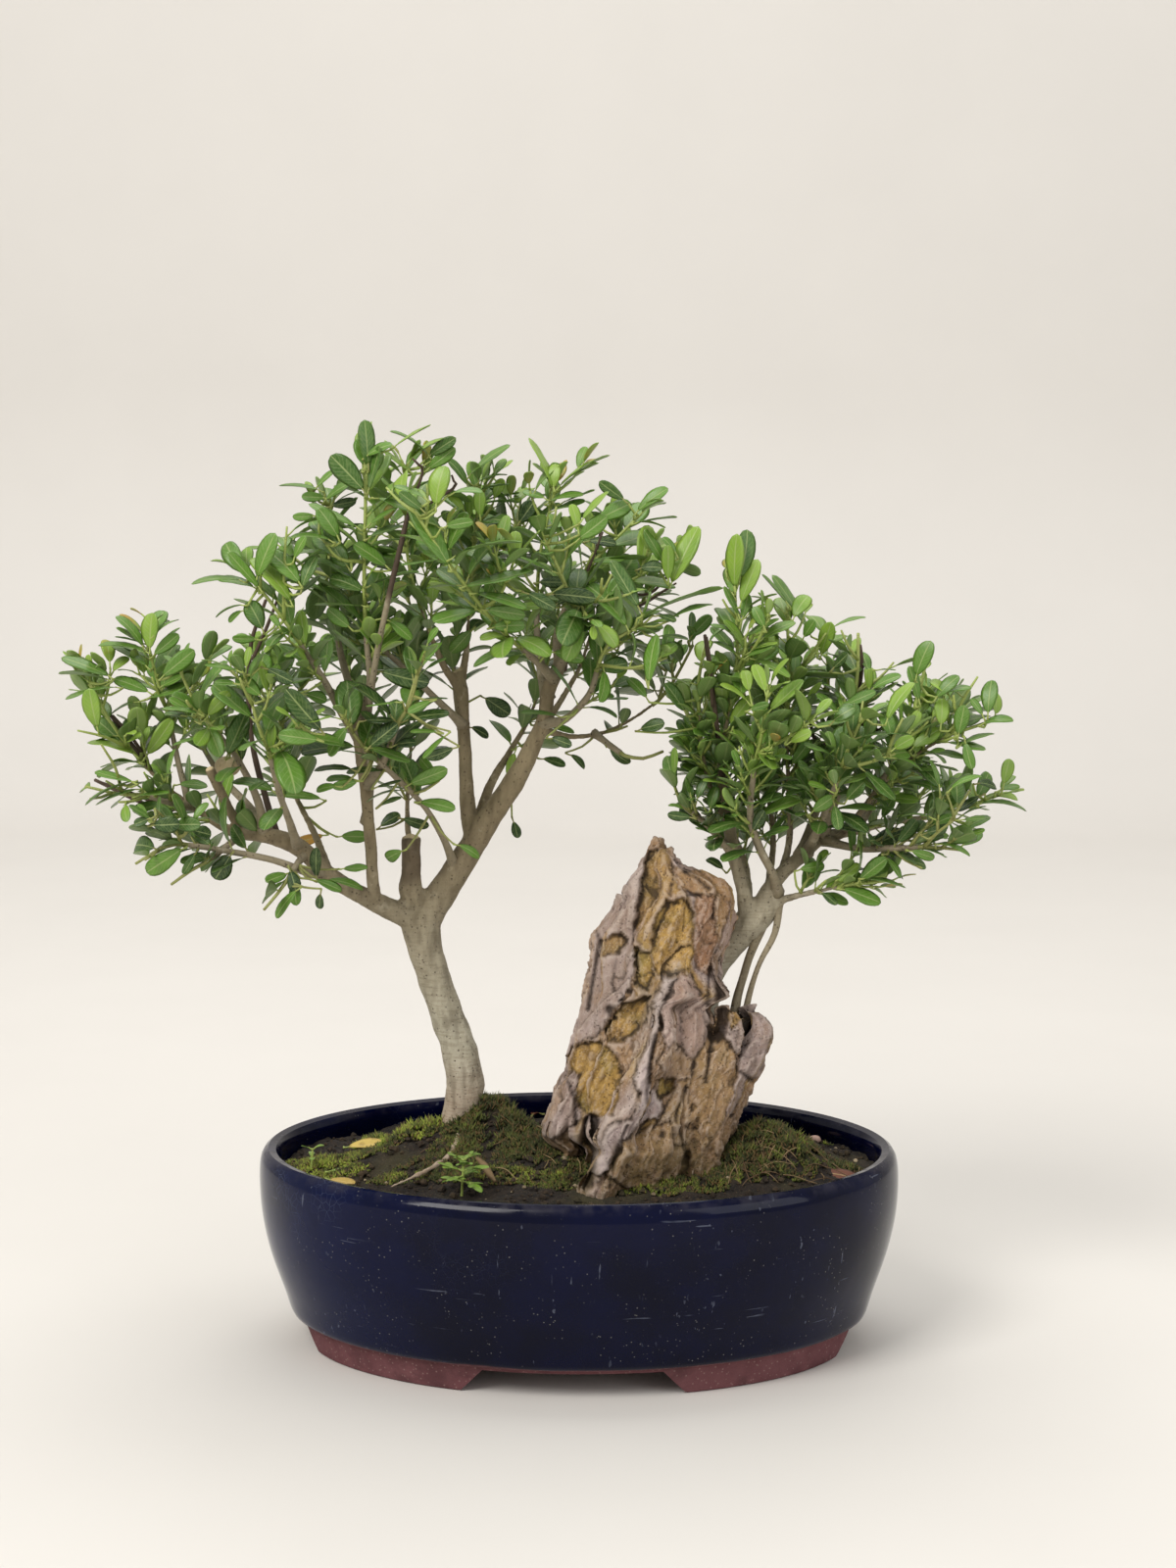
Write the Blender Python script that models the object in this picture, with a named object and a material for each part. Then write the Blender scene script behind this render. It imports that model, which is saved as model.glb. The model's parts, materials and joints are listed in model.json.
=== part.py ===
# Privet bonsai: two small privet trees, one standing free and one behind a rock,
# in an oval glazed pot on four unglazed feet.
#
# All lengths below are in millimetres, in a frame whose origin is on the table under
# the middle of the pot, with +X to the right and +Y to the back. They become metres
# when a mesh is made. At the end everything is shifted so that the origin lies at the
# bottom centre of the whole object's box.

import math
import random

import bmesh
import bpy
from mathutils import Matrix, Vector, noise
from mathutils.bvhtree import BVHTree

MM = 0.001
GAP = 0.3                 # clearance between touching pieces
CUT_GAP = 0.4             # how much larger a hole is than what stands in it
ROCK_CUT_GAP = 0.6        # the same for the hole that the rock stands in
UP = Vector((0.0, 0.0, 1.0))

# Pot
POT_HALF_LENGTH = 130.0
POT_HALF_DEPTH = 91.0
POT_SEGMENTS = 32
FLOOR_TOP = 17.0
UNDERSIDE = 11.0
FOOT_HEIGHT = 11.6
FOOT_GAP_FRONT = 43.6     # half the gap between the two front feet
FOOT_GAP_SIDE = 27.0      # half the gap between the feet at each end
FOOT_GAP_SLOPE = 9.0      # how much narrower a gap is at its top
FOOT_GAP_TOP = 10.0
DRAIN_HOLE_RADIUS = 8.0
DRAIN_HOLE_X = 48.0
DRAIN_HOLE_SEGMENTS = 16
CUT_REACH = 4.0           # how far a cutter passes through the face that it cuts
# Each ring of the pot's wall as (inset from the widest outline, height), from the
# underside out over a foot, up the wall, over the lip and down the inside.
POT_PROFILE = [
    (30.0, UNDERSIDE), (28.0, 0.0), (18.8, 0.0), (16.5, FOOT_HEIGHT), (12.7, 13.0),
    (9.6, 22.0), (4.0, 39.0), (0.9, 54.0), (0.0, 68.0), (0.9, 76.6), (3.8, 79.9),
    (6.8, 79.2), (8.2, 75.5), (6.9, 68.0), (8.8, 46.0), (15.0, 26.0), (24.0, FLOOR_TOP),
]
INNER_WALL = POT_PROFILE[12:]     # from the lip's inner edge down

# Drain meshes over the holes
DRAIN_MESH_SIZE = 26.0
DRAIN_MESH_BARS = 3
DRAIN_MESH_BAR = 1.2
DRAIN_MESH_STEP = 0.1     # how far the bars across lie inside the others

# Soil surface: a level near the walls and two mounds as (x, y, spread x, spread y, height)
SOIL_LEVEL = 70.0
SOIL_MOUNDS = [(-45.0, 8.0, 42.0, 38.0, 16.0), (78.0, 2.0, 26.0, 32.0, 19.0),
               (20.0, -10.0, 36.0, 30.0, 8.0)]
SOIL_EDGE = 68.0          # height at which the soil meets the wall
SOIL_EDGE_GAP = 1.0
SOIL_WALL_HEIGHTS = (26.0, 46.0)
SOIL_RINGS = 5
SOIL_RING_SPREAD = 0.9    # below 1 the rings lie closer together near the wall
SOIL_ROUGHNESS = 1.6
SOIL_GRAIN = 0.09         # bumps per millimetre
SOIL_FADE_REACH = 0.93    # share of the pot's size where the mounds have died out
SOIL_FADE_POWER = 5
SOIL_SEED = 3.0

# Rock: crags as stacks of oval sections (x, y, z, half width, half depth)
ROCK_CRAGS = {
    "body": [(26, -12, 56, 18, 24), (26, -12, 70, 23, 28), (27, -13, 88, 29, 29),
             (27, -12, 106, 31, 27), (27, -11, 126, 29, 25), (30, -10, 146, 27, 22),
             (33, -10, 165, 27, 19), (38, -10, 180, 23, 16), (42, -10, 190, 19, 12),
             (39, -10, 197, 12, 8), (33, -10, 207, 3, 3)],
    "fin": [(5, -40, 58, 8, 8), (10, -42, 74, 9, 9), (20, -40, 95, 8, 10),
            (26, -36, 118, 8, 9), (32, -31, 138, 7, 8), (38, -25, 155, 4, 5)],
    "left_lobe": [(-7, -14, 79, 6, 9), (-5, -14, 92, 8, 13), (0, -13, 108, 11, 15),
                  (4, -12, 126, 11, 13), (9, -11, 146, 10, 10), (13, -10, 166, 8, 7),
                  (18, -10, 176, 4, 4)],
    "shoulder": [(50, -12, 58, 7, 14), (54, -12, 76, 9, 17), (60, -10, 92, 11, 18),
                 (66, -9, 108, 11, 16), (70, -8, 122, 10, 13), (74, -8, 132, 6, 9),
                 (74, -8, 138, 3, 5)],
    "pocket_wall": [(55, -18, 70, 9, 9), (56, -21, 90, 10, 10), (57, -22, 108, 10, 9),
                    (58, -22, 120, 8, 7), (59, -21, 127, 6, 5)],
}
ROCK_COLUMNS = 16
ROCK_ROW_HEIGHT = 12.0
ROCK_RELIEF = 0.13        # depth of the upright ridges, as a share of the section
ROCK_SEED = 7.3           # each crag's own offset in the noise
RIDGE_DETAIL = (2.1, 0.012)       # ridges of the noise round a crag, and per millimetre up
CHIP_DETAIL = (3.0, 0.05)         # the same for the smaller chips
RIDGE_SWELL = 1.6
RIDGE_LEVEL = 0.4
RIDGE_SHARPNESS = 2.4
CHIP_SWELL = 0.9
CHIP_LIFT = 2.4           # how far a chip moves a point up or down
POCKET_CENTRE = (62.0, -5.0, 137.0)
POCKET_RADII = (8.5, 12.0, 16.0)
POCKET_FILL = 133.0       # height of the soil in the rock's pocket
POCKET_SEGMENTS = (16, 10)
POCKET_BOX = 30.0         # half width of the box that cuts the pocket's soil level

# Woody parts as (sides, points), each point as (x, y, z, radius). A branch starts on
# the middle line of what it grows from. Ends that carry a leafy spray have SHOOT_RADIUS.
SHOOT_RADIUS = 1.0
WOOD_RING_SPACING = 24.0
THICK_ROUGHNESS = 0.22    # of the bark on thick and thin stems, as a share of the radius
THIN_ROUGHNESS = 0.1
THICK_FROM = 4.0          # radius from which a stem counts as thick
BARK_GRAIN = 0.11         # knobs per millimetre
BARK_SPREAD = 9.0         # how far apart round a stem the knobs differ
LEFT_ROOTS = ("trunk", "surface_root")
RIGHT_ROOTS = ("trunk", "thin_root_front", "thin_root_back")
LEFT_WOOD = {
    "trunk": (10, [(-50, 10, 60, 11), (-51, 9, 70, 10.4), (-51, 8, 78, 9), (-50, 8, 86, 7.8),
                   (-47, 8, 99, 8.2), (-48, 8, 112, 7.6), (-53, 8, 128, 7.3),
                   (-57, 8, 140, 7.1), (-61, 8, 153, 7), (-64, 8, 164, 7.9),
                   (-65, 8, 172, 8.1), (-65, 8, 179, 4.6)]),
    "surface_root": (5, [(-49, 3, 84, 3.4), (-48, -7, 84, 2.2), (-51, -20, 80, 1.7),
                         (-58, -32, 77.5, 1.5), (-65, -40, 76, 1.2), (-72, -45, 74, 0.9)]),
    "stump": (6, [(-67, 8, 172, 4.6), (-68, 5, 184, 4), (-68, 2, 196, 3.4), (-68, 2, 205, 3)]),
    "main_left": (7, [(-64, 8, 169, 7), (-73, 4, 174, 5.3), (-87, -2, 182, 4.5),
                      (-100, -6, 191, 4.3), (-111, -8, 202, 4.3), (-122, -10, 207, 3.9),
                      (-136, -8, 208, 2.9), (-145, -6, 212, 2.3), (-156, -4, 219, 1.8),
                      (-166, -2, 226, 1.4), (-175, 0, 235, SHOOT_RADIUS)]),
    "left_low": (4, [(-100, -6, 191, 1.8), (-107, -14, 193, 1.5), (-120, -20, 199, 1.3),
                     (-136, -25, 203, 1.2), (-152, -28, 206, SHOOT_RADIUS)]),
    "left_hanging": (4, [(-134, -8, 208, 1.6), (-140, -18, 203, 1.2),
                         (-144, -24, 200, SHOOT_RADIUS)]),
    "left_lowest": (4, [(-109, -8, 200, 1.6), (-111, -18, 197, 1.2),
                        (-113, -24, 193, SHOOT_RADIUS)]),
    "left_upper": (4, [(-156, -4, 219, 1.4), (-162, 4, 236, 1.2), (-165, 6, 250, SHOOT_RADIUS)]),
    "left_outer_low": (4, [(-154, -4, 218, 1.4), (-162, -14, 221, 1.2),
                           (-169, -18, 224, SHOOT_RADIUS)]),
    "left_stub": (6, [(-134, -7, 208, 2.7), (-139, -12, 219, 2.6), (-145, -18, 235, 2.5)]),
    "left_sprout": (4, [(-125, -9, 207, 2.2), (-126, -18, 222, 1.6), (-131, -28, 238, 1.3),
                        (-138, -34, 250, SHOOT_RADIUS)]),
    "left_front": (4, [(-112, -9, 203, 2), (-112, -26, 214, 1.6), (-114, -40, 228, 1.3),
                       (-116, -47, 242, SHOOT_RADIUS)]),
    "left_back": (4, [(-100, -5, 192, 2.6), (-108, 12, 205, 2), (-118, 26, 220, 1.5),
                      (-124, 34, 238, SHOOT_RADIUS)]),
    "left_far_back": (4, [(-123, -9, 208, 2.2), (-134, 10, 216, 1.7), (-148, 24, 227, 1.3),
                          (-156, 29, 238, SHOOT_RADIUS)]),
    "sprout": (6, [(-82, 0, 178, 3.6), (-82, -8, 188, 3.1), (-82, -14, 204, 3),
                   (-83, -20, 225, 2.8), (-85, -24, 246, 2.7), (-87, -26, 267, 2.4)]),
    "sprout_top": (4, [(-85, -24, 252, 2), (-80, -29, 268, 1.4), (-81, -31, 288, SHOOT_RADIUS)]),
    "sprout_left": (4, [(-85, -24, 248, 1.8), (-91, -29, 258, 1.5), (-97, -34, 271, 1.4),
                        (-105, -39, 285, SHOOT_RADIUS)]),
    "sprout_back": (4, [(-83, -17, 214, 2), (-84, 2, 230, 1.6), (-90, 18, 250, 1.3),
                        (-95, 28, 270, SHOOT_RADIUS)]),
    "sprout_front": (4, [(-83, -20, 228, 1.8), (-74, -34, 240, 1.4), (-68, -45, 254, SHOOT_RADIUS)]),
    "sprout_upper": (4, [(-86, -25, 260, 1.7), (-93, -14, 280, 1.3), (-96, -10, 298, SHOOT_RADIUS)]),
    "black_twig": (4, [(-84, -22, 240, 1.6), (-77, -36, 277, 1.3), (-71, -41, 303, 1.1),
                       (-63, -45, 334, 0.9)]),
    "trunk_back": (4, [(-66, 10, 172, 2.9), (-70, 26, 190, 2.1), (-73, 40, 212, 1.6),
                       (-72, 47, 236, 1.2), (-70, 50, 254, SHOOT_RADIUS)]),
    "main_right": (8, [(-63, 8, 171, 7.8), (-57, 8, 180, 6.9), (-50, 6, 191, 6.5),
                        (-43, 4, 202, 6.3), (-37, 2, 212, 5.9), (-29, 0, 223, 5.3),
                        (-23, -2, 233, 4.8), (-17, -4, 245, 4), (-13, -6, 255, 3.6),
                        (-12, -6, 265, 3.6), (-8, -8, 273, 3.2), (-5, -8, 279, 1.8)]),
    "middle": (6, [(-43, 4, 205, 4.4), (-45, 6, 217, 4), (-46, 10, 233, 3.4),
                   (-47, 12, 252, 3.2), (-48, 14, 265, 3.5), (-49, 14, 272, 2.4)]),
    "middle_left": (4, [(-48, 14, 264, 2.6), (-54, 10, 273, 2.1), (-59, 4, 286, 1.5),
                        (-63, 2, 298, SHOOT_RADIUS)]),
    "middle_right": (4, [(-48, 14, 266, 2.4), (-46, 18, 280, 1.8), (-45, 19, 296, SHOOT_RADIUS)]),
    "middle_back": (4, [(-46, 10, 235, 2.4), (-50, 28, 251, 1.9), (-53, 40, 268, 1.4),
                        (-52, 45, 286, SHOOT_RADIUS)]),
    "middle_thin": (4, [(-47, 11, 250, 1.7), (-54, 4, 258, 1.5), (-66, -4, 271, 1.3),
                        (-76, -9, 281, SHOOT_RADIUS)]),
    "right_back": (5, [(-42, 4, 206, 3.2), (-37, 20, 224, 2.5), (-30, 31, 236, 1.9),
                       (-22, 41, 250, 1.4), (-17, 46, 264, SHOOT_RADIUS)]),
    "right_upper_back": (4, [(-17, -4, 246, 2.4), (-8, 14, 259, 1.8), (0, 28, 273, 1.4),
                             (5, 35, 289, SHOOT_RADIUS)]),
    "right_low_twig": (4, [(-50, 5, 192, 1.9), (-53, -8, 205, 1.4), (-60, -18, 220, 1.2),
                           (-71, -30, 234, 1.1), (-78, -37, 242, SHOOT_RADIUS)]),
    "right_top_back": (4, [(-12, -6, 262, 2.2), (-16, 4, 280, 1.6), (-17, 10, 298, SHOOT_RADIUS)]),
    "right_top": (4, [(-7, -8, 275, 1.9), (-8, -6, 288, 1.5), (-4, -4, 301, SHOOT_RADIUS)]),
    "right_front": (4, [(-9, -9, 270, 1.9), (-15, -19, 277, 1.5), (-21, -27, 283, SHOOT_RADIUS)]),
    "right_centre": (4, [(-8, -8, 274, 1.9), (-2, -18, 284, 1.4), (0, -24, 293, SHOOT_RADIUS)]),
    "right_side": (4, [(-15, -5, 250, 2.4), (-3, 5, 246, 1.6), (10, 12, 247, 1.4),
                       (21, 16, 252, 1.2), (30, 19, 258, SHOOT_RADIUS)]),
    "right_under": (4, [(6, 10, 247, 1.4), (12, 4, 243, 1.2), (17, 0, 240, SHOOT_RADIUS)]),
    "right_curve": (4, [(-14, -6, 252, 1.9), (-4, -14, 255, 1.5), (5, -22, 265, 1.3),
                        (8, -25, 274, SHOOT_RADIUS)]),
    "dead_left": (4, [(-166, -2, 226, 1.1), (-178, 4, 239, 0.9), (-190, 6, 255, 0.7)]),
    "dead_low": (4, [(-154, -4, 218, 1.1), (-172, 4, 217, 0.9), (-196, 4, 228, 0.7)]),
    "dead_middle": (4, [(-120, -9, 206, 1.4), (-131, 0, 244, 1.1), (-131, -2, 280, 0.9),
                        (-124, -4, 301, 0.7)]),
    "dead_top": (4, [(-6, -8, 274, 1.3), (0, 8, 296, 1), (9, 12, 328, 0.7)]),
}
RIGHT_WOOD = {
    "trunk": (9, [(50, 26, 58, 8.5), (50, 25, 72, 8), (50, 23, 92, 7), (51, 19, 112, 6.3),
                   (51, 14, 132, 6.3), (53, 9, 149, 6.6), (60, 5, 161, 6.8), (69, 1, 171, 6.9),
                   (76, 0, 178, 6.4), (81, 0, 182, 3.6)]),
    "upright": (6, [(68, 1, 171, 4.4), (67, -2, 182, 3.7), (65, -2, 190, 3.4), (62, -4, 201, 3.3),
                    (60, -6, 214, 3), (58, -8, 225, 2.5), (57, -10, 240, 1.9),
                    (60, -10, 258, SHOOT_RADIUS)]),
    "left_edge": (4, [(60, -6, 213, 2.4), (53, -8, 226, 1.6), (49, -12, 244, 1.3),
                      (48, -13, 258, SHOOT_RADIUS)]),
    "left_low": (4, [(62, -4, 200, 1.6), (57, -8, 206, 1.4), (50, -13, 214, 1.2),
                     (45, -16, 218, SHOOT_RADIUS)]),
    "second": (6, [(73, 1, 175, 5), (76, -2, 184, 4), (81, -2, 191, 3.7), (89, 0, 198, 3.3),
                   (95, 2, 203, 2.9), (100, 4, 208, 2.2)]),
    "long_right": (4, [(97, 3, 204, 2.4), (106, 2, 207, 2.1), (112, -4, 216, 1.9),
                       (120, -10, 228, 1.6), (128, -14, 237, 1.5), (136, -16, 243, 1.2),
                       (144, -18, 248, SHOOT_RADIUS)]),
    "long_right_up": (4, [(119, -9, 227, 1.5), (127, -15, 242, 1.2), (131, -18, 256, SHOOT_RADIUS)]),
    "middle_up": (4, [(98, 3, 206, 2), (103, 1, 222, 1.7), (106, -2, 240, 1.4),
                      (109, -3, 258, SHOOT_RADIUS)]),
    "low_front": (4, [(78, -1, 179, 2.6), (84, -4, 182, 2.1), (93, -8, 185, 1.6),
                      (104, -12, 188, SHOOT_RADIUS)]),
    "diagonal": (4, [(80, -2, 184, 2.2), (78, -9, 192, 1.7), (72, -15, 204, 1.6),
                     (68, -22, 218, 1.4), (69, -29, 236, SHOOT_RADIUS)]),
    "inner": (4, [(80, 0, 187, 2.4), (85, 6, 203, 1.9), (85, 9, 220, 1.6), (84, 9, 240, 1.3),
                  (84, 7, 258, SHOOT_RADIUS)]),
    "inner_back": (4, [(76, 1, 181, 2.4), (79, 16, 203, 1.8), (77, 26, 222, 1.4),
                       (74, 33, 240, SHOOT_RADIUS)]),
    "left_back": (4, [(69, 2, 172, 2.6), (68, 18, 192, 1.9), (60, 30, 211, 1.4),
                      (54, 35, 227, SHOOT_RADIUS)]),
    "right_back": (4, [(89, 0, 198, 2.2), (96, 17, 213, 1.7), (103, 30, 228, 1.3),
                       (108, 36, 242, SHOOT_RADIUS)]),
    "low_right": (4, [(98, 3, 206, 2.1), (112, 8, 208, 1.8), (126, 12, 211, 1.5),
                      (138, 14, 212, 1.2), (148, 14, 214, SHOOT_RADIUS)]),
    "low_right_back": (4, [(112, 8, 208, 1.6), (122, 22, 220, 1.3), (131, 32, 233, SHOOT_RADIUS)]),
    "low_right_front": (4, [(98, 3, 205, 1.9), (110, -8, 203, 1.5), (123, -16, 204, 1.3),
                            (134, -20, 205, SHOOT_RADIUS)]),
    "front": (4, [(92, 1, 200, 2), (97, -16, 216, 1.5), (101, -30, 232, SHOOT_RADIUS)]),
    "thin_root_front": (4, [(62, -2, 126, 2), (64, 0, 139, 1.8), (67, 1, 150, 1.6),
                            (70, 0, 160, 1.7), (76, -1, 174, 2)]),
    "thin_root_back": (4, [(66, -1, 127, 1.4), (69, -2, 142, 1.2), (73, -5, 156, 1.1),
                           (79, -5, 168, 1.3), (81, -2, 180, 1.7)]),
    "dead_left": (4, [(58, -8, 226, 1.2), (55, -16, 252, 1), (50, -18, 288, 0.7)]),
    "dead_right": (4, [(105, -1, 233, 1.3), (112, 6, 258, 0.9), (112, 8, 281, 0.7)]),
}

# Leafy sprays. Each grows on from the end of the named branch, along its shoots. The
# first shoot starts at the branch's end, and the others start on the first one, at the
# given share of it. Points are (x, y, z). Tint 0 is young leaves, 1 grown and 2 old.
LEFT_SPRAYS = {
    "far_left": ("main_left", 0, [(0, [(-186, -3, 250), (-195, -4, 268)]),
                                  (0.2, [(-188, -12, 247), (-197, -18, 250)])]),
    "left_upper": ("left_upper", 0, [(0, [(-170, 6, 268), (-174, 5, 286)]),
                                     (0.2, [(-158, 14, 264), (-152, 18, 276)])]),
    "left_outer_low": ("left_outer_low", 1, [(0, [(-180, -20, 225), (-194, -20, 228)]),
                                             (0.4, [(-180, -28, 236), (-184, -34, 246)])]),
    "left_low": ("left_low", 2, [(0, [(-162, -30, 205), (-172, -32, 199)]),
                                 (0.1, [(-156, -36, 214), (-162, -42, 222)])]),
    "left_hanging": ("left_hanging", 2, [(0, [(-151, -29, 196), (-158, -33, 191)])]),
    "left_lowest": ("left_lowest", 2, [(0, [(-117, -29, 187), (-122, -32, 181)])]),
    "left_sprout": ("left_sprout", 1, [(0, [(-146, -38, 262), (-152, -40, 276)]),
                                       (0.3, [(-142, -48, 258), (-146, -56, 264)])]),
    "left_front": ("left_front", 1, [(0, [(-120, -52, 256), (-124, -54, 274)]),
                                     (0.1, [(-108, -56, 250), (-102, -62, 256)])]),
    "left_back": ("left_back", 1, [(0, [(-130, 40, 256), (-134, 42, 276)]),
                                   (0.2, [(-122, 48, 256), (-116, 56, 268)])]),
    "left_far_back": ("left_far_back", 1, [(0, [(-166, 34, 250), (-174, 34, 262)]),
                                           (0.2, [(-154, 42, 248), (-150, 52, 254)])]),
    "sprout_left": ("sprout_left", 0, [(0, [(-116, -44, 302), (-126, -46, 314)]),
                                       (0.3, [(-110, -46, 314), (-109, -44, 330)])]),
    "sprout_top": ("sprout_top", 0, [(0, [(-81, -34, 315), (-80, -36, 342), (-81, -37, 358)]),
                                     (0.4, [(-90, -40, 318), (-96, -44, 326)])]),
    "sprout_upper": ("sprout_upper", 1, [(0, [(-98, -8, 318), (-98, -6, 338)]),
                                         (0.3, [(-108, -2, 314), (-118, 2, 322)])]),
    "sprout_front": ("sprout_front", 2, [(0, [(-62, -50, 264), (-58, -54, 278)])]),
    "sprout_back": ("sprout_back", 1, [(0, [(-100, 36, 292), (-104, 40, 314)]),
                                       (0.3, [(-92, 48, 290), (-88, 58, 300)])]),
    "trunk_back": ("trunk_back", 2, [(0, [(-70, 55, 276), (-68, 58, 300)]),
                                     (0.3, [(-80, 62, 270), (-88, 68, 276)])]),
    "right_low_twig": ("right_low_twig", 2, [(0, [(-84, -42, 250), (-90, -45, 260)])]),
    "middle_left": ("middle_left", 0, [(0, [(-68, 0, 320), (-68, -4, 352)]),
                                       (0.4, [(-78, 10, 330), (-84, 16, 342)])]),
    "middle_right": ("middle_right", 1, [(0, [(-43, 18, 318), (-40, 14, 346)]),
                                         (0.3, [(-32, 26, 322), (-24, 30, 332)])]),
    "middle_back": ("middle_back", 1, [(0, [(-50, 48, 308), (-46, 46, 330)]),
                                       (0.2, [(-44, 58, 300), (-38, 66, 308)])]),
    "middle_thin": ("middle_thin", 1, [(0, [(-84, -12, 292), (-90, -16, 306)])]),
    "right_back": ("right_back", 1, [(0, [(-12, 51, 284), (-8, 52, 306)]),
                                     (0.2, [(-20, 60, 280), (-26, 68, 290)])]),
    "right_upper_back": ("right_upper_back", 1, [(0, [(12, 38, 306), (18, 38, 322)]),
                                                 (0.2, [(18, 42, 296), (28, 46, 300)])]),
    "right_top_back": ("right_top_back", 0, [(0, [(-15, 10, 322), (-9, 7, 346)]),
                                             (0.4, [(-24, 16, 326), (-28, 20, 340)])]),
    "right_top": ("right_top", 0, [(0, [(8, -2, 318), (24, 0, 334)]),
                                   (0.1, [(14, -10, 306), (34, -10, 316)])]),
    "right_front": ("right_front", 0, [(0, [(-31, -40, 294), (-46, -59, 316), (-60, -64, 338)]),
                                       (0.35, [(-28, -50, 304), (-22, -54, 318)])]),
    "right_centre": ("right_centre", 1, [(0, [(-4, -30, 308), (-12, -34, 326)]),
                                         (0.2, [(8, -36, 302), (14, -42, 312)])]),
    "right_side": ("right_side", 2, [(0, [(38, 20, 267), (46, 18, 282)]),
                                     (0.1, [(34, 30, 266), (36, 40, 272)])]),
    "right_under": ("right_under", 2, [(0, [(26, -3, 238), (34, -4, 241)])]),
    "right_curve": ("right_curve", 1, [(0, [(12, -28, 284), (24, -30, 292)]),
                                       (0.1, [(20, -34, 276), (30, -38, 278)])]),
}
RIGHT_SPRAYS = {
    "upright": ("upright", 0, [(0, [(63, -9, 280), (62, -8, 304)]),
                               (0.3, [(70, -16, 284), (74, -20, 294)])]),
    "left_edge": ("left_edge", 0, [(0, [(48, -14, 272), (51, -14, 286)])]),
    "left_low": ("left_low", 2, [(0, [(41, -18, 222), (38, -20, 230)])]),
    "long_right": ("long_right", 0, [(0, [(154, -19, 252), (166, -18, 256)]),
                                     (0.1, [(150, -20, 262), (156, -20, 272)])]),
    "long_right_up": ("long_right_up", 0, [(0, [(134, -19, 268), (136, -18, 277)])]),
    "middle_up": ("middle_up", 1, [(0, [(111, -3, 274), (111, -2, 288)]),
                                   (0.2, [(120, 2, 270), (126, 6, 276)])]),
    "low_front": ("low_front", 0, [(0, [(115, -14, 190), (124, -15, 191)])]),
    "diagonal": ("diagonal", 0, [(0, [(72, -34, 252), (74, -36, 268)]),
                                 (0.2, [(82, -38, 250), (90, -42, 256)])]),
    "inner": ("inner", 0, [(0, [(84, 5, 278), (83, 4, 298)]),
                           (0.3, [(94, 10, 278), (100, 14, 288)])]),
    "inner_back": ("inner_back", 1, [(0, [(72, 38, 258), (70, 40, 276)]),
                                     (0.2, [(84, 40, 256), (92, 44, 264)])]),
    "left_back": ("left_back", 1, [(0, [(50, 38, 242), (47, 38, 256)])]),
    "right_back": ("right_back", 1, [(0, [(113, 40, 256), (116, 40, 270)]),
                                     (0.2, [(106, 48, 256), (102, 54, 262)])]),
    "low_right": ("low_right", 0, [(0, [(159, 13, 218), (169, 11, 222)])]),
    "low_right_back": ("low_right_back", 2, [(0, [(139, 36, 244), (148, 37, 252)])]),
    "low_right_front": ("low_right_front", 2, [(0, [(144, -22, 205), (152, -22, 204)]),
                                               (0.1, [(140, -30, 212), (146, -36, 218)])]),
    "front": ("front", 1, [(0, [(105, -37, 246), (110, -40, 258)]),
                           (0.2, [(112, -38, 240), (122, -42, 244)])]),
}
CROWN_CENTRES = {"left": Vector((-78.0, 0.0, 250.0)), "right": Vector((95.0, 0.0, 225.0))}

# Leaves
LEAF_LENGTH = 20.0
LEAF_WIDTH = 0.44         # of the length
LEAF_THICKNESS = 1.0      # at the midrib, which stands up along the upper face
LEAF_BEND = 0.10          # drop of the tip, as a share of the length
LEAF_ANGLE = 52.0         # degrees between a leaf and its stem
LEAF_ANGLE_PLAY = 10.0    # how much that differs, and by how much more on later tries
LEAF_ANGLE_LOOSE = 40.0
LEAF_SPIN_PLAY = 12.0
LEAF_SPIN_LOOSE = 90.0
LEAF_LIFT = 0.12          # how much leaves turn up to the light
LEAF_SIZE_PLAY = (0.8, 1.12)
LEAF_WIDTH_PLAY = (0.88, 1.12)
LEAF_BEND_PLAY = (-0.3, 2.2)
LEAF_SHRINK = 0.25        # how much smaller a leaf gets on its last try
TIP_LEAF_SHARE = 0.9      # size and angle of the last pair of a shoot
TIP_ANGLE_SHARE = 0.62
TIP_SETBACK = 0.8         # of the last pair from the shoot's end
FIRST_SHOOT_LENGTH = 3.0  # straight on from the branch
FIRST_SEED = 11
PROBE_SHARES = (0.15, 0.4, 0.7, 1.0)      # where along a shoot its way is tried
# Stations along a leaf as (share of the length, share of the half width)
LEAF_STATIONS = [(0.34, 0.92), (0.76, 0.84)]
NODE_SPACING = 20.5       # between leaf pairs along a shoot
LEAF_CLEARANCE = 0.5
OUTWARD_PULL = 0.25       # how far leaves turn away from the middle of the crown
SIDE_SHOOT_RADIUS = 0.85
SHOOT_TAPER = 0.35
SHOOT_SIDES = 4
SHOOT_RING_SPACING = 30.0
LEAF_TRIES = 14
TINT_SIZE = (1.0, 0.95, 0.9)

# What lies or grows on the soil: fallen leaves as (x, y, turn, length, width, bend) and
# seedlings as (x, y, height, leaf length, leaf pairs)
FALLEN_LEAVES = {
    "fallen_leaf_yellow": (-88.0, 8.0, 15.0, 17.0, 8.5, 0.10),
    "fallen_leaf_brown": (106.0, -18.0, -8.0, 21.0, 10.0, 0.05),
    "fallen_leaf_pale": (-92.0, -36.0, -35.0, 16.0, 6.0, 0.12),
}
SEEDLINGS = {
    "seedling_weed": (-44.0, -48.0, 9.0, 8.0, 2),
    "seedling_pale": (-108.0, -12.0, 9.0, 6.0, 1),
}
SEEDLING_RADIUS = 0.8
SEEDLING_TAPER = 0.8
SEEDLING_DEPTH = 4.0
SEEDLING_SIDES = 6
SEEDLING_HOLE_SIDES = 8
SEEDLING_HOLE_HEIGHT = 6.0
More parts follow.
